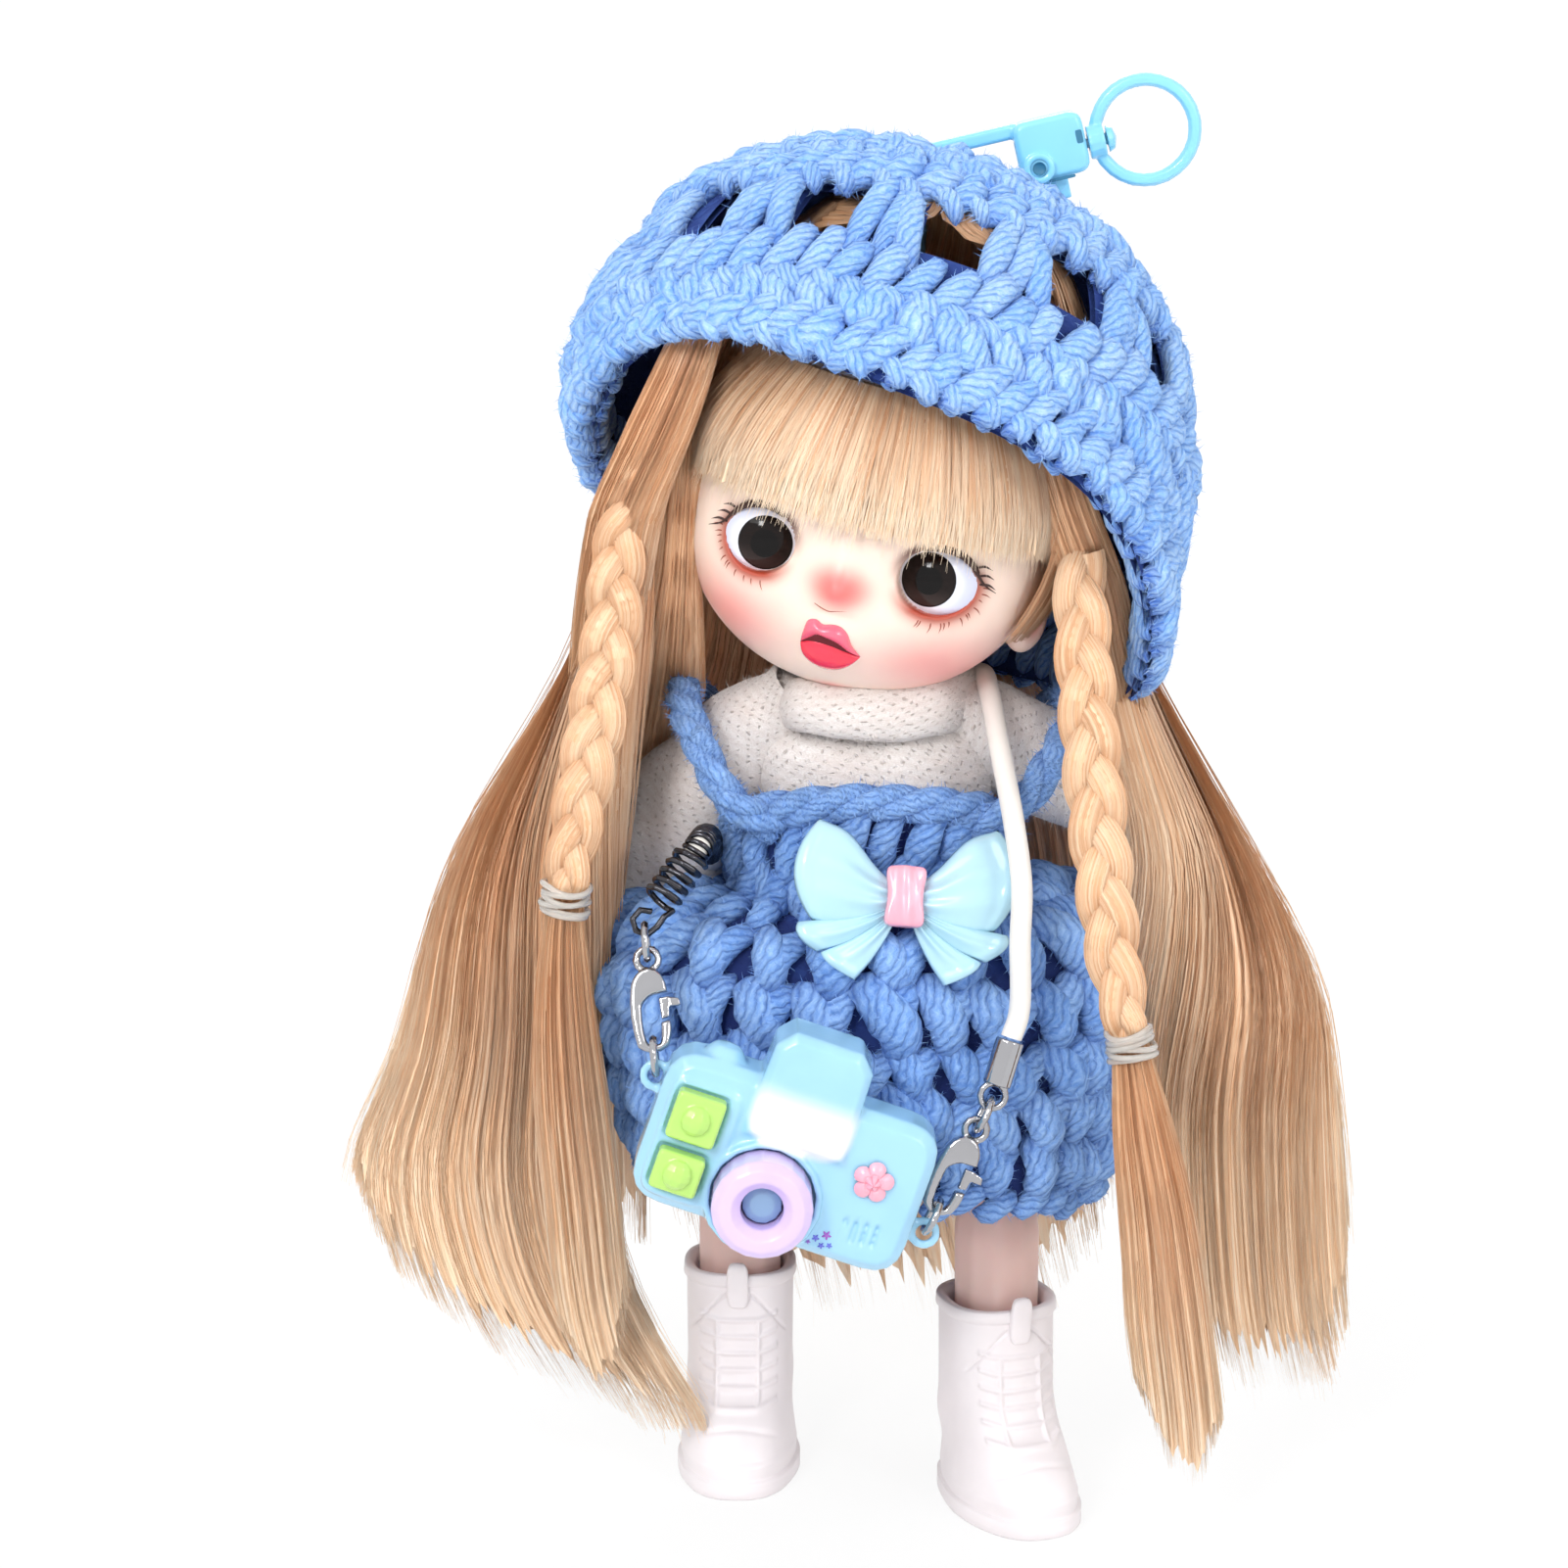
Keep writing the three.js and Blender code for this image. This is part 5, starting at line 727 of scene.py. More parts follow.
def rope(points, up, radius, pitch, strands=3):
    """Chain stitch: strands that wind round the line, each a fat plied tube."""
    P = arr(points)
    _, side, out, run = along(P, up)
    made = []
    for k in range(strands):
        a = (run / pitch * 2 * pi + k * 2 * pi / strands)[:, None]
        Q = P + (np.cos(a) * side * 1.1 + np.sin(a) * out * 0.8) * radius * 0.52
        R = np.full(len(Q), radius * 0.68)
        R[0] = R[-1] = 0.2
        # hide: painted shade on the side of each strand that winds inwards
        facts = {"tone": [rng.random(len(Q)) * 0.2 + 0.4], "hide": [np.clip(-np.sin(a[:, 0]), 0, 1) * 0.6]}
        made.append(tubes([Q], [R], up, 12, 2, 0.05, YARN_WIND, 1.0, facts))
    return made


rim, rim_n = bib_out.at(np.arange(160) / 160, np.full(160, bib_high - 0.9), 0.6)
bib_chunks += rope(np.vstack([rim, rim[:2]]), np.vstack([rim_n, rim_n[:2]]), 1.9, 15)


def bib_middle(degrees_round, level):
    """A point in the thickness of the bib, where a strap starts."""
    hw, hd = torso_size(min(level, CHEST))
    out = SWEATER + YARN / 2
    _, _, x, y = ring_of(arr(degrees_round / 360), hw + out + GAP, hd + out + GAP / 2, 3.2)
    return [float(x), float(y) + 0.5, level]


right_strap = [bib_middle(234, 86), [-16.6, -12.4, 90], [-20.6, -9, 96.6], [-22.4, -3, 100], [-21.8, 5, 100],
               [-19, 11.4, 95], [-15.4, 12.6, 89], bib_middle(126, 84)]
left_strap = [bib_middle(306, 86), [17.2, -12.4, 89.6], [22, -9, 95.6], [24, -3, 98.6], [23.4, 5, 98.4],
              [20, 11.4, 94], [15.8, 12.6, 88.6], bib_middle(54, 84)]
for points in (right_strap, left_strap):
    line = curve(points, 90)
    out = unit(line * [0.9, 1.6, 1] - [0, 0, 84])
    bib_chunks += rope(line + out * 0.2, out, 1.8, 14)


def lining(point, columns, levels, offsets, flip_last):
    """The cloth behind the stitches, inside and outside, dark all over with painted shade."""
    turn, k = np.meshgrid(np.arange(columns) / columns, levels)
    facts = {"hide": np.ones(turn.shape), "tone": np.full(turn.shape, 0.4)}
    return [grid(point(turn, k, offset), True, facts=facts, flip=flip_last and offset == offsets[-1])
            for offset in offsets]


# The skirt and bib backings are painted shade, seen through the gaps between stitches
skirt_core = lining(skirt_point, 140, spread(40, 1.0, 0.02), (-1.7, -2.5), True)
bib_core = lining(bib_point, 120, spread(24, -0.02, 0.97), (-1.5, -2.3), False)
build("skirt_base", skirt_core, DRESS_CORE_SHADE, "torso", ["dress_skirt"])
build("skirt_stitches", dress_chunks, DRESS_YARN, "torso")
build("bib_base", bib_core, DRESS_CORE_SHADE, "torso", ["dress_bib"])
build("bib_stitches", bib_chunks, DRESS_YARN, "torso")
for part in range(2):
    pile = fuzz(dress_chunks + bib_chunks, 36000, *DRESS_FIBRE)
    build(f"dress_pile_{part}", pile, DRESS_YARN, "torso")

# Moulded, plated and painted pieces

CHROME = plain("chrome", (0.46, 0.46, 0.48), 0.1, 1.0, grain=0.02)
STEEL = plain("dark_steel", (0.07, 0.07, 0.08), 0.22, 1.0, grain=0.02)
PAINT = plain("blue_paint", rgb(138, 212, 242), 0.22, 0.0, 0.5, grain=0.03)
LIMB = plain("limb_vinyl", rgb(226, 188, 180), 0.45, grain=0.04, Subsurface_Weight=0.15)
BOOT = plain("boot_vinyl", rgb(236, 229, 231), 0.42, grain=0.04)
LILAC = plain("lilac", rgb(214, 192, 238), 0.22, 0.0, 0.5)
GREEN = plain("lime", rgb(178, 222, 110), 0.22, 0.0, 0.5)
PINK = plain("pink", rgb(250, 172, 190), 0.22, 0.0, 0.5)
BOWBLUE = plain("bow_blue", rgb(176, 217, 233), 0.18, 0.0, 0.6)
GLASS = plain("lens_glass", rgb(130, 165, 200), 0.08, 0.0, 0.8)
CORD = plain("cord_white", rgb(234, 230, 224), 0.35)

for name in ("clasp_right", "clasp_left", "clasp_lever_right", "clasp_lever_left", "jump_ring_right",
             "jump_ring_left", "camera_ring_right", "camera_ring_left", "cord_end_tube", "cord_spring_crimp"):
    piece = refine(name, STEEL if "crimp" in name else CHROME, 0.15, 3)
for name in ("hook_frame", "hook_gate", "swivel_pin", "swivel_ring", "eye_pin"):
    refine(name, PAINT, 0.17, 3)
for side in ("right", "left"):
    for name in ("upper_arm", "forearm", "hand", "thigh", "shin", "foot"):
        refine(f"{name}_{side}", LIMB, 0.46, 8)
refine("torso", LIMB, 0.7, 5)
refine("neck_post", LIMB, 0.4, 8)


def hump_fade(P):
    """1 on the pale lower face of the toy's hump, which has round corners and fades upwards."""
    x, y, z = TOY.inside(P).T
    corner = np.hypot(np.maximum(abs(x - 0.6) - 3, 0), np.maximum(5 - z, 0))
    return ease(z, 10, 6) * ease(corner, 3.6, 2.4) * ease(y, -2.2, -3.4)


s = Shade("toy_resin", Coat_Weight=0.6, Coat_Roughness=0.06, Roughness=0.2)
drift = s.noise(scale=140.0, detail=3.0)
tone = s.blend(drift.step(0.35, 0.75) * 0.4, rgb(156, 206, 234), rgb(142, 192, 226))
s.set(Base_Color=s.blend(s.fact("fade"), tone, rgb(250, 250, 252)), Roughness=drift * 0.1 + 0.16,
      Normal=s.bump(s.noise(scale=900.0), 0.04, 0.3))
refine("camera_body", s.mat, 0.3, 5, {"fade": hump_fade})
refine("lens_ring", LILAC, 0.19, 5)
refine("lens_glass", GLASS, 0.15, 6)
for node in ("button_upper", "button_lower"):
    refine(node, GREEN, 0.12, 5)

# Neck cord, its spring and the small parts of the hook

CORD_THICK = 2.5
line = curve([
    (-21.228, -17.476, 84.446), (-20.318, -16.816, 85.584), (-19.6, -11.6, 85.2), (-19.5, -5, 81.8),
    (-19, 1, 79.4), (-17.6, 8, 79), (-12, 15.4, 82.5), (-4, 16.2, 88), (4, 14.4, 93.6), (10, 9.6, 98.8),
    (13.2, 3, 102.2), (13.9, -5, 101.6), (14.8, -13, 96.6), (16.2, -20.6, 89), (17, -23.4, 82.4),
    (16.8, -25.2, 76.4), (16.844, -24.1, 67.372), (15.946, -24.661, 64.565)], 300)
row_line = (line + SHIFT) * MM
cord_chunks = [tubes([line], CORD_THICK / 2, [0, 0.3, 1], 28)]
cord = build("neck_cord_line", cord_chunks, CORD, "torso", ["neck_cord"])

SPRING_POINTS, SPRING_TURNS, SPRING_FROM, SPRING_TO = 320, 23, 0.2, 13.5
run = along(line, [0, 0, 1])[3]
turns = (spread(SPRING_POINTS, 0, 1) * 2 * pi * SPRING_TURNS)[:, None]
spring_run = spread(SPRING_POINTS, SPRING_FROM, SPRING_TO)
spring_line = xyz(*(np.interp(spring_run, run, line[:, k]) for k in range(3)))
_, side, out, _ = along(spring_line, [0, 0, 1])
wire = spring_line + 1.5 * (np.cos(turns) * side - np.sin(turns) * out)
spring = build("cord_spring", [tubes([wire], 0.33, [0.1, 0.2, 1], 8)], STEEL, "torso")

RIVET_X, RIVET_Z = 14.1, -1.4
rivet, holes = [], []
for side in (-1, 1):
    a, r = np.meshgrid(circle(48), circle(24))
    wide = 1.45 + 0.42 * np.cos(r)
    P = xyz(RIVET_X + wide * np.cos(a), side * (3.05 + 0.3 * np.sin(r)), RIVET_Z + wide * np.sin(a))
    rivet.append(grid(HOOK(np.concatenate([P, P[:1]])), True, flip=side < 0))
    a, r = polar(40, 9, pi / 2)
    wide = 0.8 * np.sin(r)
    P = xyz(RIVET_X + wide * np.cos(a), side * (3.41 - 0.35 * np.cos(r)), RIVET_Z + wide * np.sin(a))
    holes.append(grid(HOOK(P), True, flip=side > 0))
for x, z, wide, high in ((11.3, -2.2, 0.45, 2.4), (16.6, -3.2, 1.6, 0.4), (19.6, 1.2, 0.4, 1.6)):
    a, r = polar(40, 7)
    P = xyz(x + wide * r * puff(np.cos(a), 0.35), -2.34, z + high / 2 * r * puff(np.sin(a), 0.35))
    holes.append(grid(HOOK(P), True, flip=True))
build("hook_rivet_rim", rivet, PAINT, "hook")
build("hook_recesses", holes, plain("hook_shadow", rgb(52, 118, 148), 0.5), "hook")

# Boots: moulded uppers with tongue, lace ladder, toe cap line, sole line and pull tab


BOOT_ROWS = 120
LACE_TOP, LACE_STEP, LACE_COUNT, TONGUE_WIDE = 20.2, 2.1, 6, 2.6


def boot_outline():
    """Heights, and at each the reach forwards, backwards and sideways, with the rim turned in."""
    level, *reach = zip(
        (0, 16.2, 8.1, 7.6), (0.4, 16.5, 8.4, 7.9), (2.2, 16.5, 8.4, 7.9), (2.3, 16, 7.9, 7.4),
        (4, 16.1, 7.9, 7.5), (8.6, 12.5, 7.6, 6.9), (10.6, 9.4, 7.1, 6.8), (14, 7.6, 6.7, 6.6),
        (24.4, 6.7, 6.7, 6.7), (24.6, 7.1, 7.1, 7.1), (26, 7, 7, 7))
    sole = [0, 0, 0.15, 0.4, 1.2, 1.9, 2.2, 2.28, 2.4, 2.6]
    rim = [24.35, 24.5, 24.75, 25.4, 25.8, 26.0, 26.0, 25.7, 24, 20, 14]
    z = np.concatenate([sole, spread(BOOT_ROWS, 2.75, 24.2), rim])
    size = arr([np.interp(z, level, r) for r in reach])
    soft = np.ones(15) / 15
    for k in range(3):
        size[k, 20:BOOT_ROWS] = np.convolve(size[k], soft, "same")[20:BOOT_ROWS]
    size[:, 0] = 0.01
    size[:, -6:] -= [0.1, 0.8, 1.3, 1.5, 1.6, 1.8]
    return z, size


def boot_relief(x, y, Z):
    """Height of the tongue, the lace ladder and the moulded lines over the plain upper."""
    ahead = (y < 0) * ease(y, -2.5, -4.5)
    w = abs(x)
    lift = -0.16 * ((w < 2.3) & (Z > 9.6) & (Z < 20.1)) * ahead
    for k in range(LACE_COUNT):
        h = LACE_TOP - LACE_STEP * k
        level_part = blob((Z - h) / 0.3) * (w < TONGUE_WIDE)
        slanted = blob((Z - h - 0.3 * (w - TONGUE_WIDE)) / 0.32) * (w >= TONGUE_WIDE) * ease(w, 5.0, 4.6)
        lift = np.maximum(lift, 0.42 * (level_part + slanted) * ahead)
    rail = blob((w - 2.55) / 0.3) * ease(Z, 9.3, 9.8) * ease(Z, 20.6, LACE_TOP)
    lift = np.maximum(lift, 0.42 * rail * ahead)
    collar = 23.4 - 0.75 * np.maximum(w - 1.5, 0) ** 1.3
    lift -= 0.3 * blob((Z - collar) / 0.22) * (w > 1.5) * ease(w, 6.2, 5.6) * ahead
    lift -= 0.2 * blob((Z - 8.0 + 0.05 * w * w) / 0.25) * ahead * ease(w, 5.5, 4.5)
    lift[-7:] = 0
    lift[:9] = 0
    return lift


def boot(place, name):
    """One boot in its own place: the upper with its sole and rim, and the pull tab."""
    z, (fore, aft, half) = boot_outline()
    t = spread(181, -1, 1)[:-1]
    a = -pi / 2 + pi * (0.5 * t + 0.5 * t ** 3)
    c, s = np.cos(a), np.sin(a)
    bulge = squarish(c, s, 2.5)
    y = np.where(s < 0, fore[:, None], aft[:, None]) * bulge * s
    narrow = 1 - 0.215 * ease(y, -6, 6) * ease(z, 12, 6)[:, None]
    P = xyz(half[:, None] * bulge * c * narrow, y, z[:, None])
    N = unit(np.cross(np.roll(P, -1, 1) - np.roll(P, 1, 1), np.gradient(P, axis=0)))
    upper = grid(place(P + N * boot_relief(P[..., 0], y, P[..., 2])[..., None]), True)
    a, r = polar(40, 24, pi)
    across, high = puff(np.sin(r), 0.5), 24.8 + 3.0 * puff(np.cos(r), 0.5)
    P = xyz(1.35 * across * puff(np.cos(a), 0.5), -7.0 + 0.55 * across * puff(np.sin(a), 0.5), high)
    P[..., 1] -= 0.5 * ease(high, 24, 27) * ease(high, 28.6, 27.2)
    pull_tab = grid(place(P), True, flip=True)
    build("boot_upper_" + name, [upper, pull_tab], BOOT, "boot_" + name, ["boot_" + name])


boot(Place((-16, 8.2, 0), 0, 0, -2), "right")
boot(Place((15.6, -4.8, 0), 0, 0, 22), "left")

# Resin bow, its folded knot and the flower on the toy


LEAF_ALONG, LEAF_ACROSS = 44, 36


def leaf(top, foot, outer, thick, seed, side, creases=2.0):
    """A puffed bow loop or tail between its top and foot edges, rooted at the knot."""
    t = spread(LEAF_ALONG, 0, 1)[:, None]
    up, down = (curve([(a, b, 0) for a, b in edge], LEAF_ALONG) for edge in (top, foot))
    w = spread(LEAF_ACROSS, 0, 1)
    w = np.concatenate([w, w[::-1]])[None, :]
    in_front = np.arange(2 * LEAF_ACROSS)[None, :] < LEAF_ACROSS
    x = down[:, :1] * (1 - w) + up[:, :1] * w + outer * 4 * w * (1 - w) * t ** 2
    z = down[:, 1:2] * (1 - w) + up[:, 1:2] * w
    dome = np.sin(pi * w) ** 0.6 * np.sin(pi * np.clip(0.08 + t * 0.72, 0, 1)) ** 0.8
    wave = 0.42 * np.cos(w * pi * 2 * creases + seed) * (1 - t) ** 0.8 * ease(t, 0, 0.15) * np.sin(pi * w)
    edge = 0.45 * blob((t - 0.93) / 0.06) * np.sin(pi * w) ** 0.3
    y = np.where(in_front, -(0.5 + thick * dome + edge + wave), 0.5)
    y = np.where((w < 0.002) | (w > 0.998), 0, y)
    P = xyz(side * x, y, z)
    end = P[-1:].mean(1, keepdims=True) * [1, 0, 1] + [0, -0.2, 0]
    return grid(BOW(np.concatenate([P, np.repeat(end, 2 * LEAF_ACROSS, 1)])), True, flip=side < 0)


bow = []
for side in (-1, 1):
    bow += [
        leaf([(0.8, 1.1), (3.5, 3.4), (7, 7.2), (10.4, 8.6)],
             [(0.8, -1.4), (4, -3.0), (7.5, -3.9), (10.6, -3.4)], 2.6, 2.4, 0.6, side, 3.0),
        leaf([(1, -0.9), (4.5, -2.2), (8.5, -3.0), (12.2, -3.6)],
             [(0.8, -1.6), (3.4, -3.8), (6.4, -5.8), (9.8, -7.0)], 1.1, 1.5, 2.0, side),
        leaf([(1, -1.4), (3.6, -3.6), (6.6, -5.6), (9.4, -7.0)],
             [(0.6, -2.0), (1.8, -4.8), (3.4, -7.6), (5.2, -10.0)], 0.9, 1.0, 1.0, side),
    ]
build("bow_sculpted", bow, BOWBLUE, "torso", ["bow_loops"])

KNOT_BACK, KNOT_HIGH = -1.7, 3.6
a, r = polar(120, 70, pi)
z = puff(np.cos(r), 0.55) * KNOT_HIGH
x = puff(np.sin(r), 0.4) * puff(np.cos(a), 0.6) * (2.1 + 0.8 * (z / KNOT_HIGH) ** 2)
y = KNOT_BACK + puff(np.sin(r), 0.4) * puff(np.sin(a), 0.6) * 2.0
y -= 0.32 * np.cos(x * 2.6 + 0.15 * z) * (y < KNOT_BACK) * (0.4 + 0.6 * abs(z) / 3.2)
build("bow_tie", [grid(BOW(xyz(x, y, z)), True, flip=True)], PINK, "torso", ["bow_knot"])


def middle_of(node):
    """The middle of a CAD node's box, in the part's millimetres."""
    lo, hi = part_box(node)
    return arr(lo + hi) / 2 / MM - SHIFT


spot = TOY.inside(middle_of("flower_button"))
a, r = polar(180, 40)
petal = abs(np.cos(2.5 * a))
wide = 2.45 * (0.66 + 0.34 * petal ** 0.55)
h = 0.75 * (1 - r ** 4) * (0.75 + 0.25 * petal ** 0.5) + 0.9 * blob(r / 0.3) - 0.25 * blob((r - 0.4) / 0.07)
P = xyz(wide * r * np.sin(a), 0.45 - h, wide * r * np.cos(a)) + spot
build("flower_petals", [grid(TOY(P), True)], PINK, "toy_camera", ["flower_button"])
for node in ("button_upper", "button_lower"):
    a, r = polar(60, 16, pi / 2)
    wide = 1.25 * np.sin(r)
    P = xyz(wide * np.cos(a), -0.95 - 0.85 * np.cos(r), wide * np.sin(a)) + TOY.inside(middle_of(node))
    build(node + "_dome", [grid(TOY(P), True, flip=True)], GREEN, "toy_camera")

SPECKS = (6.6, -7.0, 0.5), (7.7, -6.3, 0.62), (7.5, -7.7, 0.45), (8.4, -7.4, 0.4), (5.9, -7.7, 0.35)
specks = []
for x, z, wide in SPECKS:
    a, r = polar(40, 10)
    star = wide * (0.72 + 0.28 * np.cos(5 * a)) * r
    P = xyz(x + star * np.cos(a), -3.97 - 0.22 * np.sqrt(1 - r * r), z + star * np.sin(a))
    specks.append(grid(TOY(P), True, flip=True, facts={"tone": np.full(a.shape, rng.random())}))
s = Shade("speck_paint", Roughness=0.3)
share = s.fact("tone").step(0.3, 0.7) + s.noise(scale=900.0) * 0.2
s.set(Base_Color=s.blend(share, rgb(96, 112, 214), rgb(158, 96, 190)))
build("toy_specks", specks, s.mat, "toy_camera")

# Head: a fine painted shell in the head's own frame, with sculpted lips, glossy eyes and lashes


FACE_WIDE, FACE_DEEP, BACK_DEEP = 22, 20.5, 21
CROWN_HIGH, CHIN_LOW = 26, 19.2
# The eye openings by side: centre x and z, half width, half height
LID = {-1: (-10.25, -1.65, 4.15, 3.85), 1: (10.5, -1.35, 4.4, 3.9)}


def relief(x, z):
    """How far nose, lips, chin and cheeks stand out of the ball of the face, and the sockets lie in."""
    nose = 2.2 * blob(x / 2.2, (z + 4.4) / 1.9) + 0.6 * blob(x / 2, (z + 1.4) / 3.6)
    mouth = 1.2 * blob(x / 3.3, (z + 11.0) / 2.1) - 0.35 * blob((x - 0.2) / 2.4, (z + 7.6) / 0.8)
    chin = 0.9 * blob(x / 4, (z + 15.4) / 2)
    cheeks = 0.9 * blob((abs(x) - 12) / 6, (z + 9) / 5)
    sockets = 1.5 * blob((abs(x) - 10) / 5.2, (z + 1) / 4.8)
    return nose + mouth + chin + cheeks - sockets


def head_level(rise):
    """Reach of the head at a rise angle, and the narrowing of the jaw."""
    low = rise < 0
    return np.cos(rise) ** np.where(low, 0.78, 0.95), np.where(low, 1 - 0.1 * np.sin(rise) ** 2, 1)


def face_depth(x, z):
    """Depth of the face at x and z."""
    rise = np.arcsin(np.clip(z / np.where(z < 0, CHIN_LOW, CROWN_HIGH), -1, 1))
    level, jaw = head_level(rise)
    back = -np.sqrt(1 - np.clip(x / (FACE_WIDE * jaw * np.maximum(level, 0.05)), -1, 1) ** 2)
    return back * level * FACE_DEEP - np.minimum(1, -back * 1.6) * level * relief(x, z)


def on_face(x, z, out=0.0):
    """Points out mm above the face, as seen straight from the front."""
    x, z, out = np.broadcast_arrays(arr(x), arr(z), arr(out))
    h = 0.05
    slope_x = (face_depth(x + h, z) - face_depth(x - h, z)) / (2 * h)
    slope_z = (face_depth(x, z + h) - face_depth(x, z - h)) / (2 * h)
    return xyz(x, face_depth(x, z), z) + unit(xyz(slope_x, -1, slope_z)) * out[..., None]


def lid_reach(side, x, z):
    """1 on the rim of the eye opening, less inside it."""
    cx, cz, a, b = LID[side]
    u, v = (x - cx) / a, (z - cz) / b
    return np.sqrt(u * u + v * v + 0.12 * side * u * v), u, v


t = spread(250, -1, 1)[:-1]
rise = np.concatenate([spread(138, -pi / 2, 0.2), spread(22, 0.2, 1.25)[1:]])
turn, rise = np.meshgrid(pi * (0.5 * t + 0.5 * t ** 3), rise)
level, jaw = head_level(rise)
back = -np.cos(turn)
ahead = back < 0
x = np.sin(turn) * level * FACE_WIDE * jaw
z = np.sin(rise) * np.where(rise < 0, CHIN_LOW, CROWN_HIGH)
y = back * level * np.where(ahead, FACE_DEEP, BACK_DEEP)
y = y - np.where(ahead, np.minimum(1, -back * 1.6) * level * relief(x, z), 0)
gone = np.zeros(x.shape, bool)
flush, shade = np.zeros(x.shape), np.zeros(x.shape)
for side in (-1, 1):
    cx, cz, a, b = LID[side]
    e, u, v = lid_reach(side, x, z)
    e = np.where(ahead, e, 9)
    inside = e < 1
    grow = np.where(inside, 0.985 / np.maximum(e, 1e-3), 1)
    x, z = np.where(inside, cx + (x - cx) * grow, x), np.where(inside, cz + (z - cz) * grow, z)
    y = np.where(inside, y + np.minimum(1, (1 - e) / 0.25) * 4.5, y)
    gone |= e < 0.7
    y = y - np.where(ahead, 0.35 * blob((e - 1.05) / 0.12), 0)
    # flush is the eyeshadow paint, strongest low and outside; shade is a painted shadow along the top of each
    # eye, under the lid and fringe
    low_side = np.clip(0.5 - v * 0.75 + 0.5 * side * u, 0.2, 1)
    flush = np.maximum(flush, np.where(e > 0.9, low_side * blob((e - 1.0) / 0.3), 0))
    shade = np.maximum(shade, np.where(ahead, np.clip(v + 0.15, 0, 1) * blob((e - 1.06) / 0.14), 0))


def painted(x0, z0, wide, high, hard):
    """A soft-edged patch of paint on the face."""
    return np.exp(-(((x - x0) / wide) ** 2 + ((z - z0) / high) ** 2) ** hard) * ahead


coral = np.clip(painted(0.1, -4.0, 3.6, 2.5, 1.4) + 0.8 * painted(1.6, -18.4, 2.6, 1.1, 1.2), 0, 1)
cheeks = 0.95 * blob((x + 12.4) / 6, (z + 11.6) / 4.6) + 0.95 * blob((x - 13) / 7, (z + 12.4) / 5)
facts = {"flush": flush, "coral": coral, "blush": np.clip(cheeks, 0, 1) * ahead, "shade": shade}
v, f, uv, facts = grid(HEAD(xyz(x, y, z)), True, None, facts)
keep = ~gone.ravel()[f].all(1)
skin_chunks = [(v, f[keep], uv[keep], facts)]
for side in (-1, 1):
    a, r = polar(60, 36, pi)
    n = xyz(np.sin(r) * np.cos(a), np.sin(r) * np.sin(a), np.cos(r))
    dish = blob((n[..., 0] * side - 0.62) / 0.4, (n[..., 1] + 0.7) / 0.45, (n[..., 2] - 0.1) / 0.5)
    ear = n * [2.5, 3.0, 4.1] * (1 - 0.38 * dish)[..., None] + [side * 20.9, 1.2, -6.4]
    facts = {"coral": 0.9 * dish ** 1.5, "blush": 0.5 * dish + 0.15}
    skin_chunks.append(grid(HEAD(ear), True, None, facts, flip=True))

s = Shade("skin", Subsurface_Weight=0.12, Subsurface_Scale=0.0015, Coat_Weight=0.12, Coat_Roughness=0.3)
s.surface.inputs["Subsurface Radius"].default_value = (1.0, 0.4, 0.25)
fine = s.noise(scale=1500.0, detail=2.0)
drift = s.noise(scale=90.0, detail=3.0)
tone = s.blend(drift.step(0.3, 0.8) * 0.35, rgb(250, 228, 213), rgb(245, 214, 199))
tone = s.blend(s.fact("blush") * (drift * 0.2 + 0.62), tone, rgb(251, 140, 138))
tone = s.blend(s.fact("coral") * 0.95, tone, rgb(250, 112, 110))
tone = s.blend(s.fact("flush"), tone, rgb(176, 66, 42))
# painted shadow along the top of each eye
tone = s.blend(s.fact("shade"), tone, rgb(80, 38, 30))
SKIN = s.set(Base_Color=tone, Roughness=drift * 0.12 + 0.36, Normal=s.bump(fine, 0.02, 0.4)).mat
build("head_fine", skin_chunks, SKIN, "head", ["head_shell"])

s = Shade("lip_paint", Coat_Roughness=0.06)
part, edge = s.fact("part"), s.fact("edge")
u, v = s.uv()
streak = s.noise(s.vector(u * 60.0, v * 3.0), 1.0, 3.0)
tone = s.blend(part.step(0.2, 0.8), rgb(250, 104, 130), rgb(238, 30, 66))
# The mouth opening (part 2) is dark red, partly its own colour and partly painted shade of the gap between
# the lips
tone = s.blend(part.step(1.2, 1.8), tone, rgb(84, 5, 16))
tone = s.blend(edge, tone, rgb(252, 150, 156))
wet = part.step(1.8, 1.2)
s.set(Base_Color=s.blend(streak * 0.25, tone, rgb(170, 24, 52)), Normal=s.bump(streak, 0.03, 0.5),
      Coat_Weight=wet, Roughness=0.6 - wet * 0.35)


LIP_COLUMNS, LIP_ROWS = 90, 26


def lip(foot, top, part, swell, edge=None):
    """A swollen strip between two lines of the mouth; edge is where its pale rim ends."""
    lo, hi = (curve([(a, b, 0) for a, b in line], LIP_COLUMNS) for line in (foot, top))
    w, u = spread(LIP_ROWS, 0, 1)[:, None], spread(LIP_COLUMNS, 0, 1)[None, :]
    P = lo[None] * (1 - w[..., None]) + hi[None] * w[..., None]
    out = 0.05 + swell * np.sin(pi * w) ** 0.8 * np.sin(pi * u) ** 0.7
    pale = 0 * w * u if edge is None else ease(w, edge + 0.05, edge - 0.05) + 0 * u
    facts = {"part": np.full(pale.shape, part), "edge": pale}
    return grid(HEAD(on_face(P[..., 0], P[..., 1], out)), False, None, facts, flip=True)


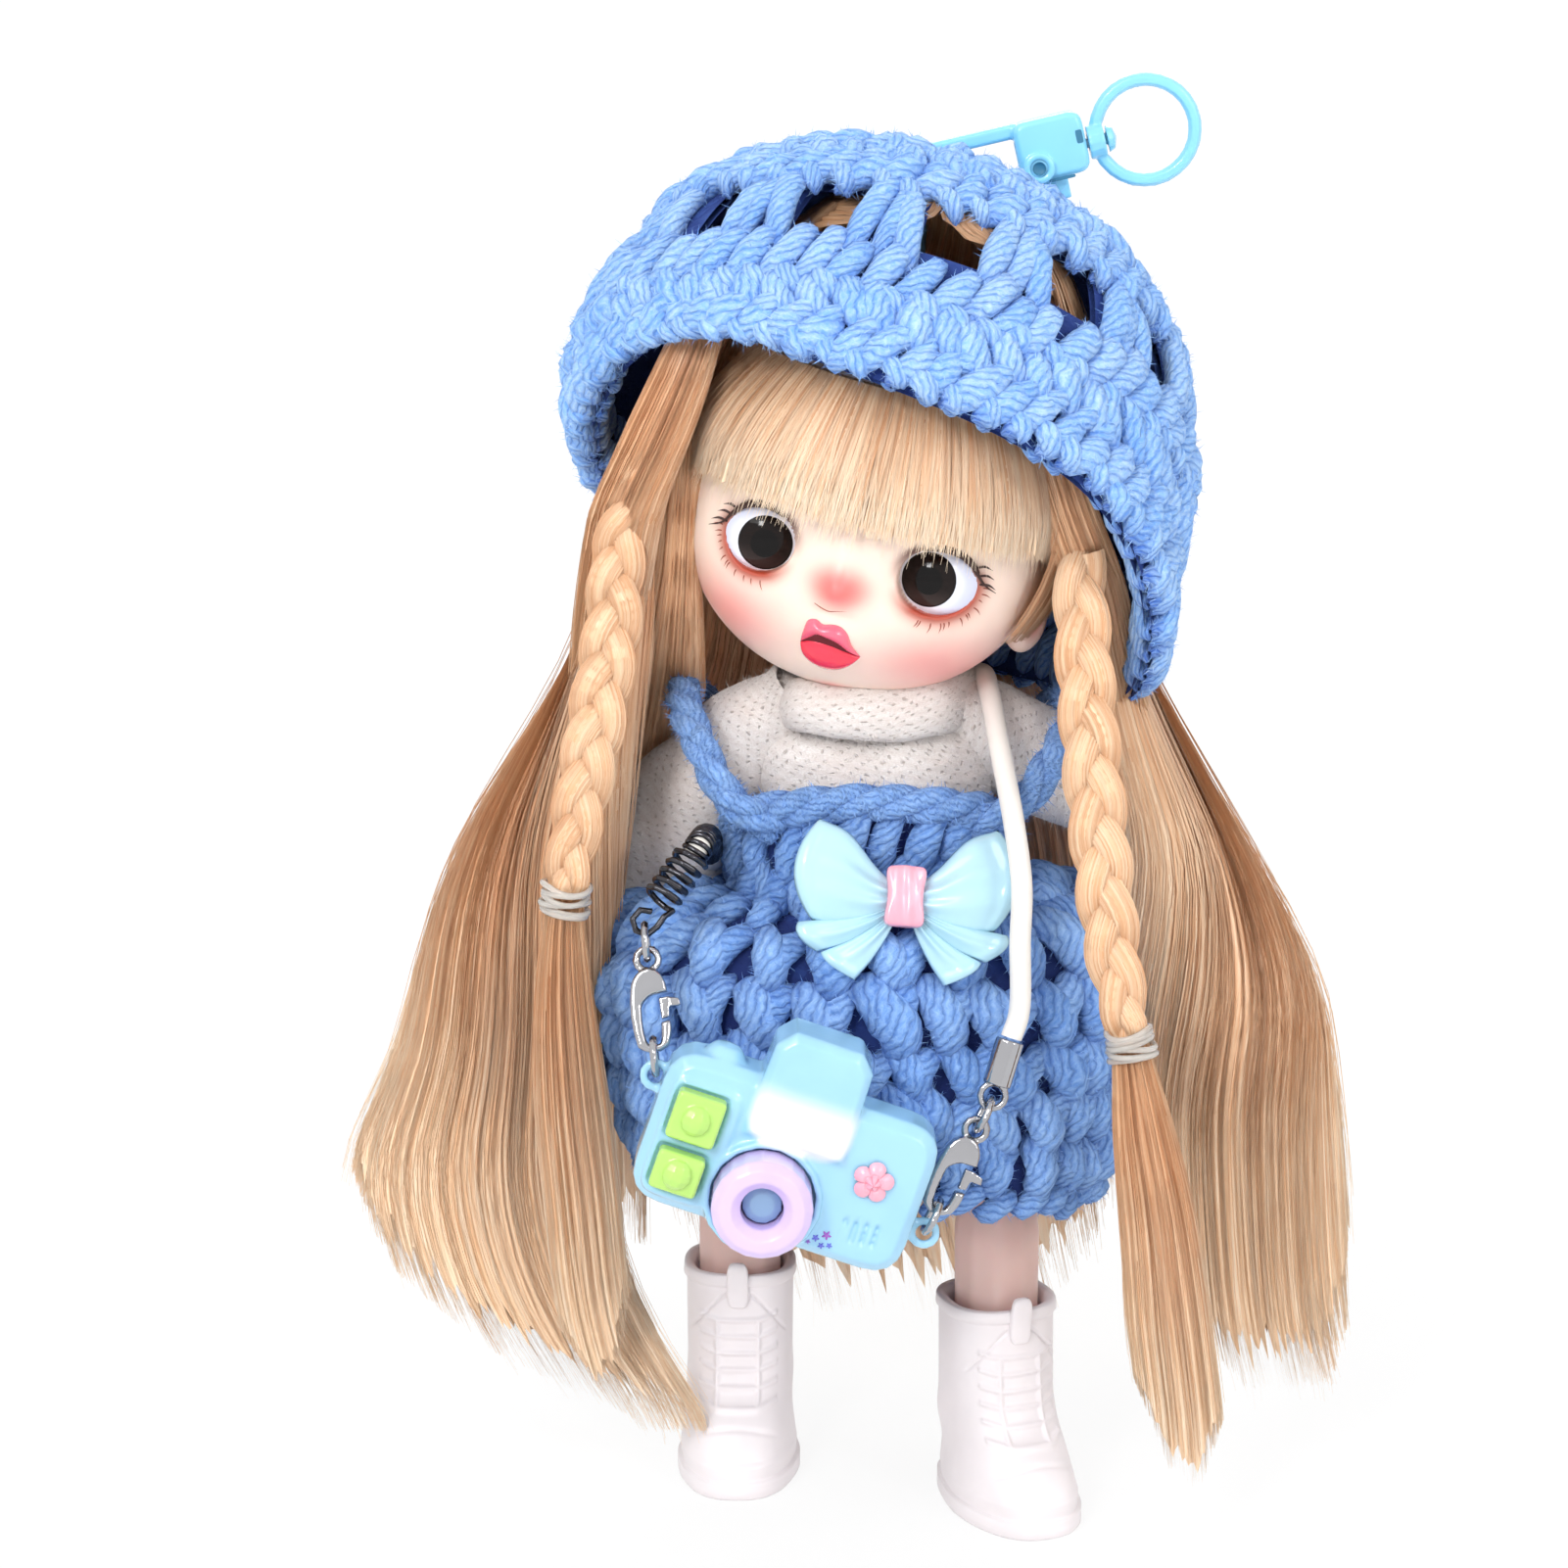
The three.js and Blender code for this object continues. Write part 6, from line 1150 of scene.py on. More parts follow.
bow_line = [(-3.0, -11.9), (-2.9, -10.3), (-2.55, -8.95), (-1.7, -8.6), (-0.8, -8.95), (0.3, -8.7),
            (1.3, -8.75), (2.2, -9.4), (3.0, -10.8), (4.1, -12.0)]
inner_line = [(-3.0, -11.95), (-2.1, -11.1), (-1.2, -10.4), (0.1, -10.45), (1.3, -10.8), (2.5, -11.5),
              (4.1, -12.0)]
lower_line = [(-3.0, -12.0), (-2.0, -11.5), (-0.7, -11.3), (0.8, -11.4), (2.3, -11.75), (4.1, -12.05)]
foot_line = [(-2.95, -12.05), (-2.4, -13.5), (-1.4, -14.3), (0.2, -14.75), (2.0, -14.4), (3.2, -13.4),
             (4.1, -12.05)]
# Upper lip, the mouth opening as a flat sheet darkened with painted shade, and lower lip
lips = [lip(inner_line, bow_line, 0.0, 0.95), lip(lower_line, inner_line, 2.0, -0.03),
        lip(foot_line, lower_line, 1.0, 1.25, 0.16)]
build("lips", lips, s.mat, "head")

s = Shade("eye", Coat_Weight=0.4, Coat_Roughness=0.02, Specular_IOR_Level=0.04)
ex, ez, _ = s.parts(s.fact("spot", "Vector"))
far = (ex * ex + ez * ez) ** 0.5
# The iris is lighter towards the bottom: a painted reflection of the floor
brown = s.blend(ez.step(-0.2, -3.0), rgb(22, 13, 11), rgb(56, 44, 42))
brown = s.blend(far.step(1.75, 1.55), brown, rgb(8, 5, 5))
brown = s.blend(far.step(2.95, 3.1), brown, rgb(14, 9, 10))
# The white darkens towards the rim: painted shade from the lids
white = s.blend(far.step(3.2, 4.6), rgb(236, 238, 250), rgb(214, 218, 240))
s.set(Base_Color=s.blend(far.step(3.16, 3.24), brown, white), Roughness=s.noise(scale=300.0) * 0.05 + 0.12)
EYE = s.mat
BALL, BALL_Y = 6.1, -11.1
for side, name, iris in ((-1, "right", (-9.75, -2.0)), (1, "left", (9.6, -1.3))):
    a, r = polar(96, 60, 1.15)
    cx, cz = LID[side][0] * 0.97, LID[side][1]
    P = xyz(cx + BALL * np.sin(r) * np.cos(a), BALL_Y - BALL * np.cos(r), cz + BALL * np.sin(r) * np.sin(a))
    spot = xyz(P[..., 0] - iris[0], P[..., 2] - iris[1], 0)
    ball = grid(HEAD(P), True, facts={"spot": spot}, flip=True)
    build("eye_ball_" + name, [ball], EYE, "head", ["eye_" + name])

LASH = plain("lash", rgb(58, 32, 27), 0.5, grain=0.02)
FAINT = plain("lash_faint", rgb(150, 72, 52), 0.5, grain=0.02)
strokes, faint = [], []


def stroke(points, thick, out=0.06, lift=0.0, n=24, into=strokes):
    """One painted or glued lash, thinning to its tip."""
    c = curve([(a, b, 0) for a, b in points], n)
    k = spread(n, 0, 1)
    P = HEAD(on_face(c[:, 0], c[:, 1], out + lift * k))
    R = thick * np.maximum(0.06, np.sin(pi * (0.12 + 0.86 * k)) ** 0.8 * (1 - 0.55 * k))
    into.append(tubes([P], [R], [P - HEAD([0, 0, 0])], 8, flat=0.5))


WINGS = {-1: [(-14.35, 0.0), (-15.2, -1.3), (-16.7, -2.2)], 1: [(14.6, 0.6), (15.6, -0.6), (17.0, -1.5)]}
for side, wing in WINGS.items():
    cx, cz, a, b = LID[side]

    def ray(k, out_x, out_z):
        """A place round the eye opening, at angle k from the top."""
        return cx + side * a * out_x * math.sin(k), cz + b * out_z * math.cos(k)

    stroke([ray(k, 1.06, 1.07) for k in spread(7, -0.5, 1.1)] + wing, 0.58, 0.12, 0.3, 60)
    for k in spread(3, 0.95, 1.42):
        x0, z0 = ray(k, 1.05, 1.06)
        size = rng.uniform(1.3, 1.8)
        bent = (x0 + side * size * math.sin(k + 0.1) * 0.6, z0 + size * math.cos(k) * 0.5)
        tip = (x0 + side * size * math.sin(k + 0.3), z0 + size * math.cos(k + 0.4) * 0.6)
        stroke([(x0, z0), bent, tip], 0.2, 0.15, 0.7)
    for k in spread(13, 1.55, 3.35):
        k += rng.normal(0, 0.04)
        x0, z0 = ray(k, 1.12, 1.14)
        size = rng.uniform(0.9, 1.7)
        bent = (x0 + side * size * math.sin(k) * 0.55, z0 + size * math.cos(k) * 0.5)
        tip = (x0 + side * size * math.sin(k + 0.2), z0 + size * math.cos(k + 0.15))
        stroke([(x0, z0), bent, tip], 0.1, 0.02, 0.05, into=faint)
stroke([(-2.3, -6.7), (-1.4, -7.05), (-0.5, -7.25), (0.5, -6.95), (1.6, -6.7)], 0.12, 0.0, into=faint)
build("lashes", strokes, LASH, "head")
build("lashes_low", faint, FAINT, "head")

# Sweater: a fuzzy knit with small holes in slanting rows, loose over the shoulders, and a folded collar


def knit(name, light, deep):
    """Fuzzy knit: small uneven holes along slanting rows, painted darker as shade inside them, under a soft
    pile.
    """
    s = Shade(name, Roughness=0.92, Sheen_Weight=0.6, Sheen_Roughness=0.45)
    u, v = s.uv()
    drift = s.noise(s.vector(u * 0.5, v * 0.5), 1.0, 3.0)
    rows = (v * 4.8 + u * 1.0 + drift * 7.0).math("SINE")
    hole = (rows * (u * 4.0 + v * 1.1 + drift * 9.0).math("SINE")).step(0.5, 0.95)
    hole = hole * s.noise(s.vector(u * 1.4, v * 1.4, 7.0), 1.0, 2.0).step(0.36, 0.62)
    down = s.noise(s.vector(u * 3.4 + v * 1.2, v * 6.5), 1.0, 4.0, 0.7)
    broad = s.noise(s.vector(u * 0.14, v * 0.14), 1.0, 3.0)
    tone = s.blend(down.step(0.35, 0.68) * 0.8 + rows * 0.2, deep, light)
    # The holes are painted shade
    tone = s.blend(hole * 0.6, tone, rgb(176, 156, 148))
    s.set(Base_Color=s.blend(broad.step(0.4, 0.75) * 0.4, tone, rgb(232, 216, 208)),
          Normal=s.bump(down * 0.9 - hole * 1.5, 0.35, 0.75))
    s.surface.inputs["Sheen Tint"].default_value = (1, 0.98, 0.96, 1)
    return s.mat


KNIT = knit("sweater_knit", rgb(255, 251, 248), rgb(234, 225, 220))


def folds(P, N, size, seed):
    """Soft creases pushed into a knit surface."""
    g = np.random.default_rng(seed)
    out = np.zeros(P.shape[:2])
    for _ in range(9):
        d = unit(g.normal(0, 1, 3))
        out += np.sin((P @ d) * g.uniform(0.35, 0.9) + g.uniform(0, 6)) * g.uniform(0.3, 1)
    return P + N * (out * size / 3)[..., None]


def knit_tube(centre, radii, up, creases, seed, columns=120):
    """A knit tube as one fine grid with its uvs in mm."""
    P = arr(centre)
    _, side, out, run = along(P, up)
    a = np.arange(columns) / columns * 2 * pi
    N = np.cos(a)[None, :, None] * side[:, None] + np.sin(a)[None, :, None] * out[:, None]
    V = folds(P[:, None] + N * arr(radii)[:, None, None], unit(N), creases, seed)
    return grid(V, True, (2 * pi * float(np.mean(radii)) / columns, run))


SWEATER_FOOT, SWEATER_TOP, SLOPE_FROM, NECK_WIDE, NECK_DEEP = 70.5, 102.5, 93, 8.2, 8.0
a, ring = np.arange(200) / 200 * 2 * pi, []
bulge = squarish(np.cos(a), np.sin(a), 2.2)
for h in spread(90, SWEATER_FOOT, SWEATER_TOP):
    wide, deep = torso_size(min(h, 98.0))
    slope = ease(h, SLOPE_FROM, SWEATER_TOP)
    wide = (wide + SWEATER + 0.1) * (1 - slope) + NECK_WIDE * slope
    deep = (deep + SWEATER) * (1 - slope) + NECK_DEEP * slope
    ring.append(xyz(wide * bulge * np.cos(a), 0.6 + deep * bulge * np.sin(a), h))
P = arr(ring)
knit_chunks = [grid(folds(P, unit(P - [0, 0.6, 86]), 0.3, 3), True, (0.42, 0.36))]
collar = curve([(8.4, 98.2, 0), (8.9, 101.4, 0), (10.1, 103.3, 0), (11.7, 103.0, 0), (13.0, 101.2, 0),
                (13.3, 99.2, 0), (12.6, 97.4, 0), (11.0, 96.6, 0)], 60)
a = np.arange(220) / 220 * 2 * pi
wobble = 0.45 * np.sin(3 * a + 1) + 0.3 * np.sin(5 * a) + 0.2 * np.sin(8 * a + 2)
reach = collar[:, :1] + wobble * ease(collar[:, :1], 9, 12)
P = xyz(reach * np.cos(a), 1 + reach * np.sin(a), collar[:, 1:2] + wobble * 0.7)
knit_chunks.append(grid(folds(P, unit(P - [0, 1, 100]), 0.25, 4), True, (0.3, 0.3)))
build("sweater_knit_body", knit_chunks, KNIT, "torso", ["sweater_body", "sweater_collar"])
pile = fuzz(knit_chunks, 26000, *KNIT_FIBRE)
build("sweater_pile", pile, KNIT, "torso")

# Sleeves: side, name, elbow, how far past the elbow's share the cuff goes, and the most that one may puff
SLEEVE_SHARES = [-0.32, -0.1, 0.1, 0.3, 0.6, 0.9, 1.06, 1.12, 1.14]
SLEEVE_RADII = [3.6, 5.9, 6.9, 7.6, 8.5, 9.5, 10.0, 9.7, 9.0]
SLEEVES = ((-1, "right", (-26, 10, 78), 1.14, 10.0), (1, "left", (35.5, 4, 84), 0.96, 6.3))
for side, name, elbow, cuff, most in SLEEVES:
    start = arr([side * 14.5, 1, 95])
    share = spread(80, -0.32, cuff)
    line = start + share[:, None] * (arr(elbow) - start)
    line[:, 0] -= side * 2.6 * (1 - ease(share, -0.32, 0.15))
    line[:, 2] += 1.2 * (1 - ease(share, -0.32, 0.2))
    size = np.minimum(np.interp(share, SLEEVE_SHARES, SLEEVE_RADII), most)
    piece = [knit_tube(line, size, [0, -1, 0], 0.45, 7 + side)]
    build("sleeve_knit_" + name, piece, KNIT, "arm_" + name, ["sleeve_" + name])
    pile = fuzz(piece, 9000, *KNIT_FIBRE)
    build("sleeve_pile_" + name, pile, KNIT, "arm_" + name)

# Hair: every sheet and strand runs down a lock


class Lock:
    """A lock of hair, whose levels run down it.

    Each level is height, centre x, centre y, half thickness, half breadth and the turn of the breadth.
    ends says how low a strand at each breadth, from -1 to 1, reaches.
    """

    def __init__(self, levels, ends):
        t = arr(levels)[::-1]
        self.z, self.cx, self.cy, self.a, self.b, self.turn = t.T
        self.ends, self.top = ends, self.z[-1]
        self.b = np.maximum.accumulate(self.b[::-1])[::-1]
        wide = int(np.argmax(self.b))
        low = np.arange(len(self.z)) < wide
        self.cx = np.where(low, self.cx[wide] + (self.cx - self.cx[wide]) * 0.12, self.cx)
        z, window = spread(160, self.z[0], self.z[-1]), np.hanning(27) / np.hanning(27).sum()
        for key in ("cx", "cy", "a", "b", "turn"):
            value = np.pad(np.interp(z, self.z, getattr(self, key)), 13, "reflect", reflect_type="odd")
            setattr(self, key, np.convolve(value, window, "valid"))
        self.z = z

    def at(self, p, q, t):
        """Points at breadth p, thickness q (both -1 to 1) and share t of the strand's length."""
        foot = np.interp(p, self.ends[0], self.ends[1])
        z = self.top + (foot - self.top) * t
        cx, cy, a, b = (np.interp(z, self.z, v) for v in (self.cx, self.cy, self.a, self.b))
        r = np.radians(np.interp(z, self.z, self.turn))
        a = a * (1 - 0.75 * np.clip(t, 0, 1) ** 5)
        return xyz(cx - b * p * np.sin(r) + a * q * np.cos(r), cy + b * p * np.cos(r) + a * q * np.sin(r), z)


def waves(x, seed, count=7, low=2.0, high=26.0):
    """A repeatable smooth noise of x, about -1 to 1."""
    g = np.random.default_rng(seed)
    f, ph, am = g.uniform(low, high, count), g.uniform(0, 2 * pi, count), g.uniform(0.5, 1, count)
    return sum(a * np.sin(k * x + h) for a, k, h in zip(am, f, ph)) / am.sum() * 1.6


def sheet_of(lock, seed, columns=250, rows=40, relief=0.07):
    """The opaque body of a lock, grooved into smaller locks, ragged at its foot."""
    angle = np.arange(columns) / columns * 2 * pi
    c, s = np.cos(angle), np.sin(angle)
    bulge = squarish(c, s, 2.4)
    p, q = s * bulge, c * bulge
    t = spread(rows, 0, 1)[:, None]
    jag = 1 + 0.03 * waves(p, seed, 9, 20, 90) + 0.02 * waves(angle, seed + 1, 6, 40, 120)
    T = t * jag * 0.96
    groove = 1 + relief * (0.25 + t) * waves(p * 1.6 + 0.1 * np.sin(3 * t + seed), seed + 2, 8, 6, 40)
    P = lock.at(p * (1 + 0.01 * waves(angle, seed + 3, 5, 8, 20)), q * groove, T)
    facts = {"tip": np.broadcast_to(t, (rows, columns)), "tone": np.full((rows, columns), 0.5)}
    return grid(P, True, (2 * pi * 14 / columns, 100 / rows), facts)


def strands_of(lock, seed, count, radius=0.12, steps=16, stray=0.0, over=0.02):
    """Loose hairs over a lock; stray says how far they stand off, over how far they pass its foot."""
    g = np.random.default_rng(seed)
    angle = g.uniform(0, 2 * pi, (count, 1))
    c, s = np.cos(angle), np.sin(angle)
    bulge = squarish(c, s, 2.4)
    depth = g.uniform(0.9, 1.12, (count, 1)) + stray * g.uniform(0, 1, (count, 1))
    share = spread(steps, 0, 1)[None, :]
    t = share * (1 - g.uniform(0, 0.22, (count, 1)) ** 1.5 + over)
    lead = g.uniform(0, 0.55, (count, 1)) * (g.random((count, 1)) < 0.45)
    t = lead + (t - lead * share)
    sway = (0.02 + 0.25 * stray) * np.sin(g.uniform(2, 5, (count, 1)) * t + g.uniform(0, 6, (count, 1))) * t
    P = lock.at(np.clip(s * bulge + sway, -1.12, 1.12), c * bulge * depth * (1 + 0.5 * sway), t)
    R = radius * g.uniform(0.7, 1.25, (count, 1)) * (1 - 0.75 * share ** 3)
    up = np.stack([np.cos(angle), np.sin(angle), 0 * angle], -1)
    tone = np.clip(g.normal(0.55, 0.28, (count, 1)), 0, 1) + 0 * t
    return ribbons(P, R, up, {"tone": tone, "tip": np.clip(t, 0, 1)})


def swap(levels):
    """Levels as half width along x and half depth along y, made thickness and breadth."""
    return [(z, x, y, h, w, turn) if abs(turn) > 60 else (z, x, y, w, h, turn)
            for z, x, y, w, h, turn in levels]


def hair(name, root, mid, tip):
    """Combed hair: fine and broad bands along its length, from root to tip colour, with painted shade where
    hidden.
    """
    s = Shade(name, Roughness=0.36, Coat_Weight=0.25, Coat_Roughness=0.3)
    u, v = s.uv()
    tone, ends, hide = s.fact("tone"), s.fact("tip"), s.fact("hide")
    wander = s.noise(s.vector(u * 0.3, v * 0.05), 1.0, 2.0) * 3.0
    broad = s.noise(s.vector(u * 1.3 + wander, v * 0.035), 1.0, 3.0, 0.6)
    fine = s.noise(s.vector(u * 9.0 + wander, v * 0.07), 1.0, 3.0, 0.7)
    band = s.noise(s.vector(u * 3.1 + wander, v * 0.05), 1.0, 2.0, 0.6)
    share = broad.step(0.32, 0.68) * 0.3 + band.step(0.32, 0.68) * 0.45
    share = (share + fine * 0.5 + tone * 0.7 - 0.6).held()
    warm = s.blend(share, root, mid)
    pale = s.blend(share, mid, tip)
    colour = s.blend(ends.step(0.15, 0.95) * 0.75 + share * 0.25, warm, pale)
    # hide darkens the hair to painted shade
    colour = s.blend(hide, colour, tuple(c * 0.3 for c in root))
    grooves = broad * 0.3 + band * 0.9 + fine * 0.6
    s.set(Base_Color=colour, Roughness=fine * 0.2 + 0.22, Normal=s.bump(grooves, 0.16, 0.75))
    return s.mat


HAIR = hair("doll_hair", rgb(214, 150, 102), rgb(250, 211, 168), rgb(255, 244, 224))

right_lock = Lock(swap([
    (131, -27.5, 4, 1.6, 8, 4), (122, -28, 3, 2.2, 11, 4), (112, -29.6, 3, 3, 12, 6),
    (102, -32, 3, 3.8, 12, 10), (92, -35.6, 2, 4.6, 11, 24), (82, -39.6, 2, 5.4, 9.5, 44),
    (70, -42.6, 1, 8, 6.4, 66), (56, -45.6, 0, 11.2, 5, 84), (42, -48.6, -1, 15.6, 4.4, 90),
    (30, -46.6, -2, 14.6, 4.2, 90), (20, -42.6, -3, 11, 3.6, 90), (10, -36, -4, 4.4, 2.4, 90)]),
    ([-0.53, 0.32, 0.81, 1.0], [10, 20, 30, 42]))
left_lock = Lock(swap([
    (121, 25.4, 6, 1.6, 8, -4), (112, 27, 6, 2.2, 11, -4), (102, 29.6, 6, 3.2, 12, -8),
    (92, 33.4, 5, 4.4, 12.5, -14), (82, 37.4, 5, 5.6, 12.5, -20), (72, 40.4, 4, 7, 12, -40),
    (60, 43.6, 3, 9.4, 9.5, -70), (46, 45.8, 2, 12.4, 6, -88), (32, 47, 1, 12.4, 4.4, -90),
    (20, 48.4, 1, 10.8, 3.6, -90), (12, 50.6, 1, 7, 2.6, -90)]),
    ([-1, -0.7, -0.25, 0.6, 0.9, 1], [34, 22, 13, 14, 22, 34]))
back_lock = Lock([(z, x, y, d, w, -90) for z, x, y, w, d in (
    (136, 1, 20.5, 15, 1.5), (124, 0, 23, 20, 1.7), (112, 0, 22, 22, 1.9), (102, 0, 19.4, 23, 2),
    (92, 0, 19.8, 27, 2.2), (80, 0, 25.4, 31, 2.2), (66, 0, 27.9, 34, 2.3), (50, 0, 27.5, 35, 2.3),
    (34, 0, 26.6, 31, 2.2), (22, 2, 25.8, 25, 2), (14, 4, 25.4, 14, 1.6))],
    ([-1, -0.88, -0.6, -0.3, 0.5, 0.77, 0.94, 1], [50, 34, 22, 15, 14, 22, 34, 50]))
turning = ("torso", "head", (0, 0, 104), (0, 0, 128))
many = 1.0


def hair_piece(name, chunks, replaces=()):
    """Hair joins head and torso; it is built fixed in place, on neither body."""
    build(name, chunks, HAIR, replaces=replaces, bend=turning)


for name, lock, seed, amount in (("hair_side_right", right_lock, 20, 1850),
                                 ("hair_side_left", left_lock, 40, 1850), ("hair_back", back_lock, 60, 1500)):
    hair_piece(name + "_sheet", [sheet_of(lock, seed)], [name])
    hair_piece(name + "_strands", [strands_of(lock, seed + 5, int(amount * many)),
                                   strands_of(lock, seed + 6, int(160 * many), 0.07, 18, 0.35, 0.04)])

small_locks = (
    ("temple_right", 70, [
        (148, -19.5, -9, 1.2, 2.6, 90), (142, -21.5, -11, 1.4, 3.4, 80), (136, -24, -11.5, 1.6, 4, 75),
        (130, -26.5, -11, 2, 4.2, 70), (124, -29, -9, 2.2, 4.6, 60), (112, -31, -4, 2.2, 5, 50),
        (98, -33, 2, 2, 5, 40), (84, -37, 3, 2, 5, 40)]),
    ("inner_right", 72, [
        (138, -22.5, -6, 1.4, 3, 80), (126, -23.5, -7, 1.8, 3.4, 75), (116, -24, -5, 2, 3.6, 70),
        (106, -25.5, 1, 2, 6, 60), (96, -27, 10, 2, 8, 55), (84, -30, 15, 2, 9, 50),
        (66, -33, 18, 2, 9, 50), (44, -35, 19, 2, 8, 50), (28, -35, 19, 1.4, 6, 50)]),
    ("temple_left", 74, [
        (134, 19.5, -13, 1.3, 3, -80), (124, 22.5, -12.5, 1.8, 3.6, -75), (116, 25.5, -10, 2, 4, -70),
        (106, 27.5, -6, 2, 4.6, -60), (94, 30, -2, 2, 5, -45), (80, 36, 0, 2, 5, -30)]))
for name, seed, levels in small_locks:
    lock = Lock(levels, ([-1, 1], [levels[-1][0]] * 2))
    hair_piece(name, [sheet_of(lock, seed, 140, 40), strands_of(lock, seed + 1, int(420 * many), 0.1),
                      strands_of(lock, seed + 2, int(60 * many), 0.06, stray=0.3)])

# Braids: bundles that cross over each other down to the elastic, then a loose tail

BRAID_POINTS, BRAID_STOP, LOOSE_POINTS = 400, 206, 60


def braid(name, points, radii, seed, pitch, side):
    """Builds one braid and gives the place, direction and radius at its elastic."""
    line = curve(points, BRAID_POINTS)
    T, across, out, run = along(line, [0, -1, 0])
    R = np.interp(spread(BRAID_POINTS, 0, len(radii) - 1), np.arange(len(radii)), radii)
    keep, end = slice(0, BRAID_STOP), run[BRAID_STOP]
    squeeze = 1 - ease(run, end - 5, end - 0.5) * 0.55
    width = (R * 0.62 * (1 - ease(run, end - 4, end) * 0.3))[keep]
    pick = np.linspace(0, BRAID_STOP - 1, LOOSE_POINTS).astype(int)
    chunks = []
    for k in range(3):
        a = run / pitch * 2 * pi + k * 2 * pi / 3
        path = (line + across * (np.sin(a) * R * 0.62 * squeeze)[:, None]
                + out * (np.sin(2 * a) * R * 0.36 * squeeze)[:, None])[keep]
        # hide: painted shade where a bundle passes under the others
        facts = {"tone": [np.full(BRAID_STOP, 0.45)], "tip": [np.full(BRAID_STOP, 0.35)],
                 "hide": [np.clip(-np.sin(2 * a[keep]) - 0.3, 0, 1) * 0.35]}
        v, f, uv, facts = tubes([path], [width], out[keep], 16, flat=0.8, facts=facts)
        chunks.append((v, f, uv * [12, 1], facts))
        n, g = int(70 * many), np.random.default_rng(seed + k)
        w = g.uniform(0, 2 * pi, (n, 1))[:, :, None]
        _, beside, above, _ = along(path, out[keep])
        reach = width[pick][None, :, None] * g.uniform(0.96, 1.06, (n, 1, 1))
        P = path[pick] + reach * (np.cos(w) * beside[pick] + 0.8 * np.sin(w) * above[pick])
        facts = {"tone": g.uniform(0.2, 1, (n, 1)) + np.zeros((n, LOOSE_POINTS)),
                 "tip": np.full((n, LOOSE_POINTS), 0.35)}
        chunks.append(ribbons(P, 0.1, above[pick][None], facts))
    tail = slice(BRAID_STOP - 8, None, 12)
    levels = [(p[2], p[0], p[1], r * 0.72, r, -90) for p, r in zip(line[tail], R[tail])]
    lowest = levels[-1][0] + arr([14, 3, 0, 9][::side])
    loose = Lock(levels, ([-1, -0.4, 0.3, 1], lowest))
    chunks += [sheet_of(loose, seed + 9, 90, 40, 0.2), strands_of(loose, seed + 10, int(520 * many), 0.1),
               strands_of(loose, seed + 11, int(40 * many), 0.06, stray=0.3)]
    hair_piece(name + "_plait", chunks, [name])
    return line[200], T[200], R[200]


ELASTIC = plain("elastic", rgb(240, 236, 230), 0.12, 0.0, 0.4, Transmission_Weight=0.55, Alpha=0.8)


def elastic(name, at, way, radius, seed):
    """A clear band wound six times round the braid."""
    g = np.random.default_rng(seed)
    x = unit(np.cross(way, [0, -1, 0]))
    y = np.cross(x, way)
    a = circle(63)
    loops = []
    for k in range(6):
        lift = (k - 2.5) * 0.62 + 0.3 * np.sin(a * g.integers(1, 3) + g.uniform(0, 6))
        r = (radius + 0.75 + 0.22 * np.sin(a * 2 + g.uniform(0, 6)))[:, None]
        P = at + r * (np.cos(a)[:, None] * x + 0.82 * np.sin(a)[:, None] * y) + lift[:, None] * way
        P = np.vstack([P, P[:2]])
        loops.append(tubes([P], 0.36, [unit(P - at)], 8))
    build(name + "_loops", loops, ELASTIC, replaces=[name], bend=turning)


spot = braid("braid_right", [
    (-25.6, -10.8, 131), (-29.6, -9.9, 120), (-30.6, -12.4, 110), (-32.6, -16.2, 99), (-34.4, -18.2, 89.6),
    (-36, -19.5, 80), (-36.5, -16, 67.5), (-36, -13, 54), (-35, -11.5, 42), (-33.6, -10.5, 26),
    (-30.4, -9.5, 12)], [2.2, 2.6, 2.8, 2.8, 2.6, 2.0, 3.4, 4.4, 4.6, 3.8, 1.6], 80, 19, -1)
elastic("elastic_right", *spot, 90)
spot = braid("braid_left", [
    (23.8, -12.2, 119.4), (24.2, -16.6, 108.6), (25, -20.5, 97.4), (26, -23, 87.3), (27.4, -25.4, 76),
    (29.6, -27, 64.6), (31.4, -26.4, 54), (33.2, -25.4, 44), (35, -24, 30), (37, -22.4, 16),
    (38, -21.4, 6)], [2.4, 2.7, 2.8, 2.8, 2.7, 2.0, 3.6, 4.4, 5, 4.6, 2.2], 100, 21, 1)
elastic("elastic_left", *spot, 91)

# Wig cap and fringe, in the head's own frame


def wig_point(turn, level, offset=0.0):
    """turn in degrees from the back, level from 0 at the crown to 1 at the nape."""
    rise = pi / 2 - level * 2.05
    c, s = np.cos(rise), np.sin(rise)
    a = np.radians(turn)
    z = 4 + np.where(s < 0, 24, 38 + offset) * s
    return HEAD(xyz((25.0 + offset) * c * np.sin(a), 2 + (24.2 + offset) * c * np.cos(a), z))


turn, level = np.meshgrid(spread(300, -180, 180), spread(60, 0.0, 1.0))
turn = turn * (1 - 0.355 * ease(level, 0.2, 0.36))
groove = 0.35 * waves(turn / 14, 5, 8, 3, 30)
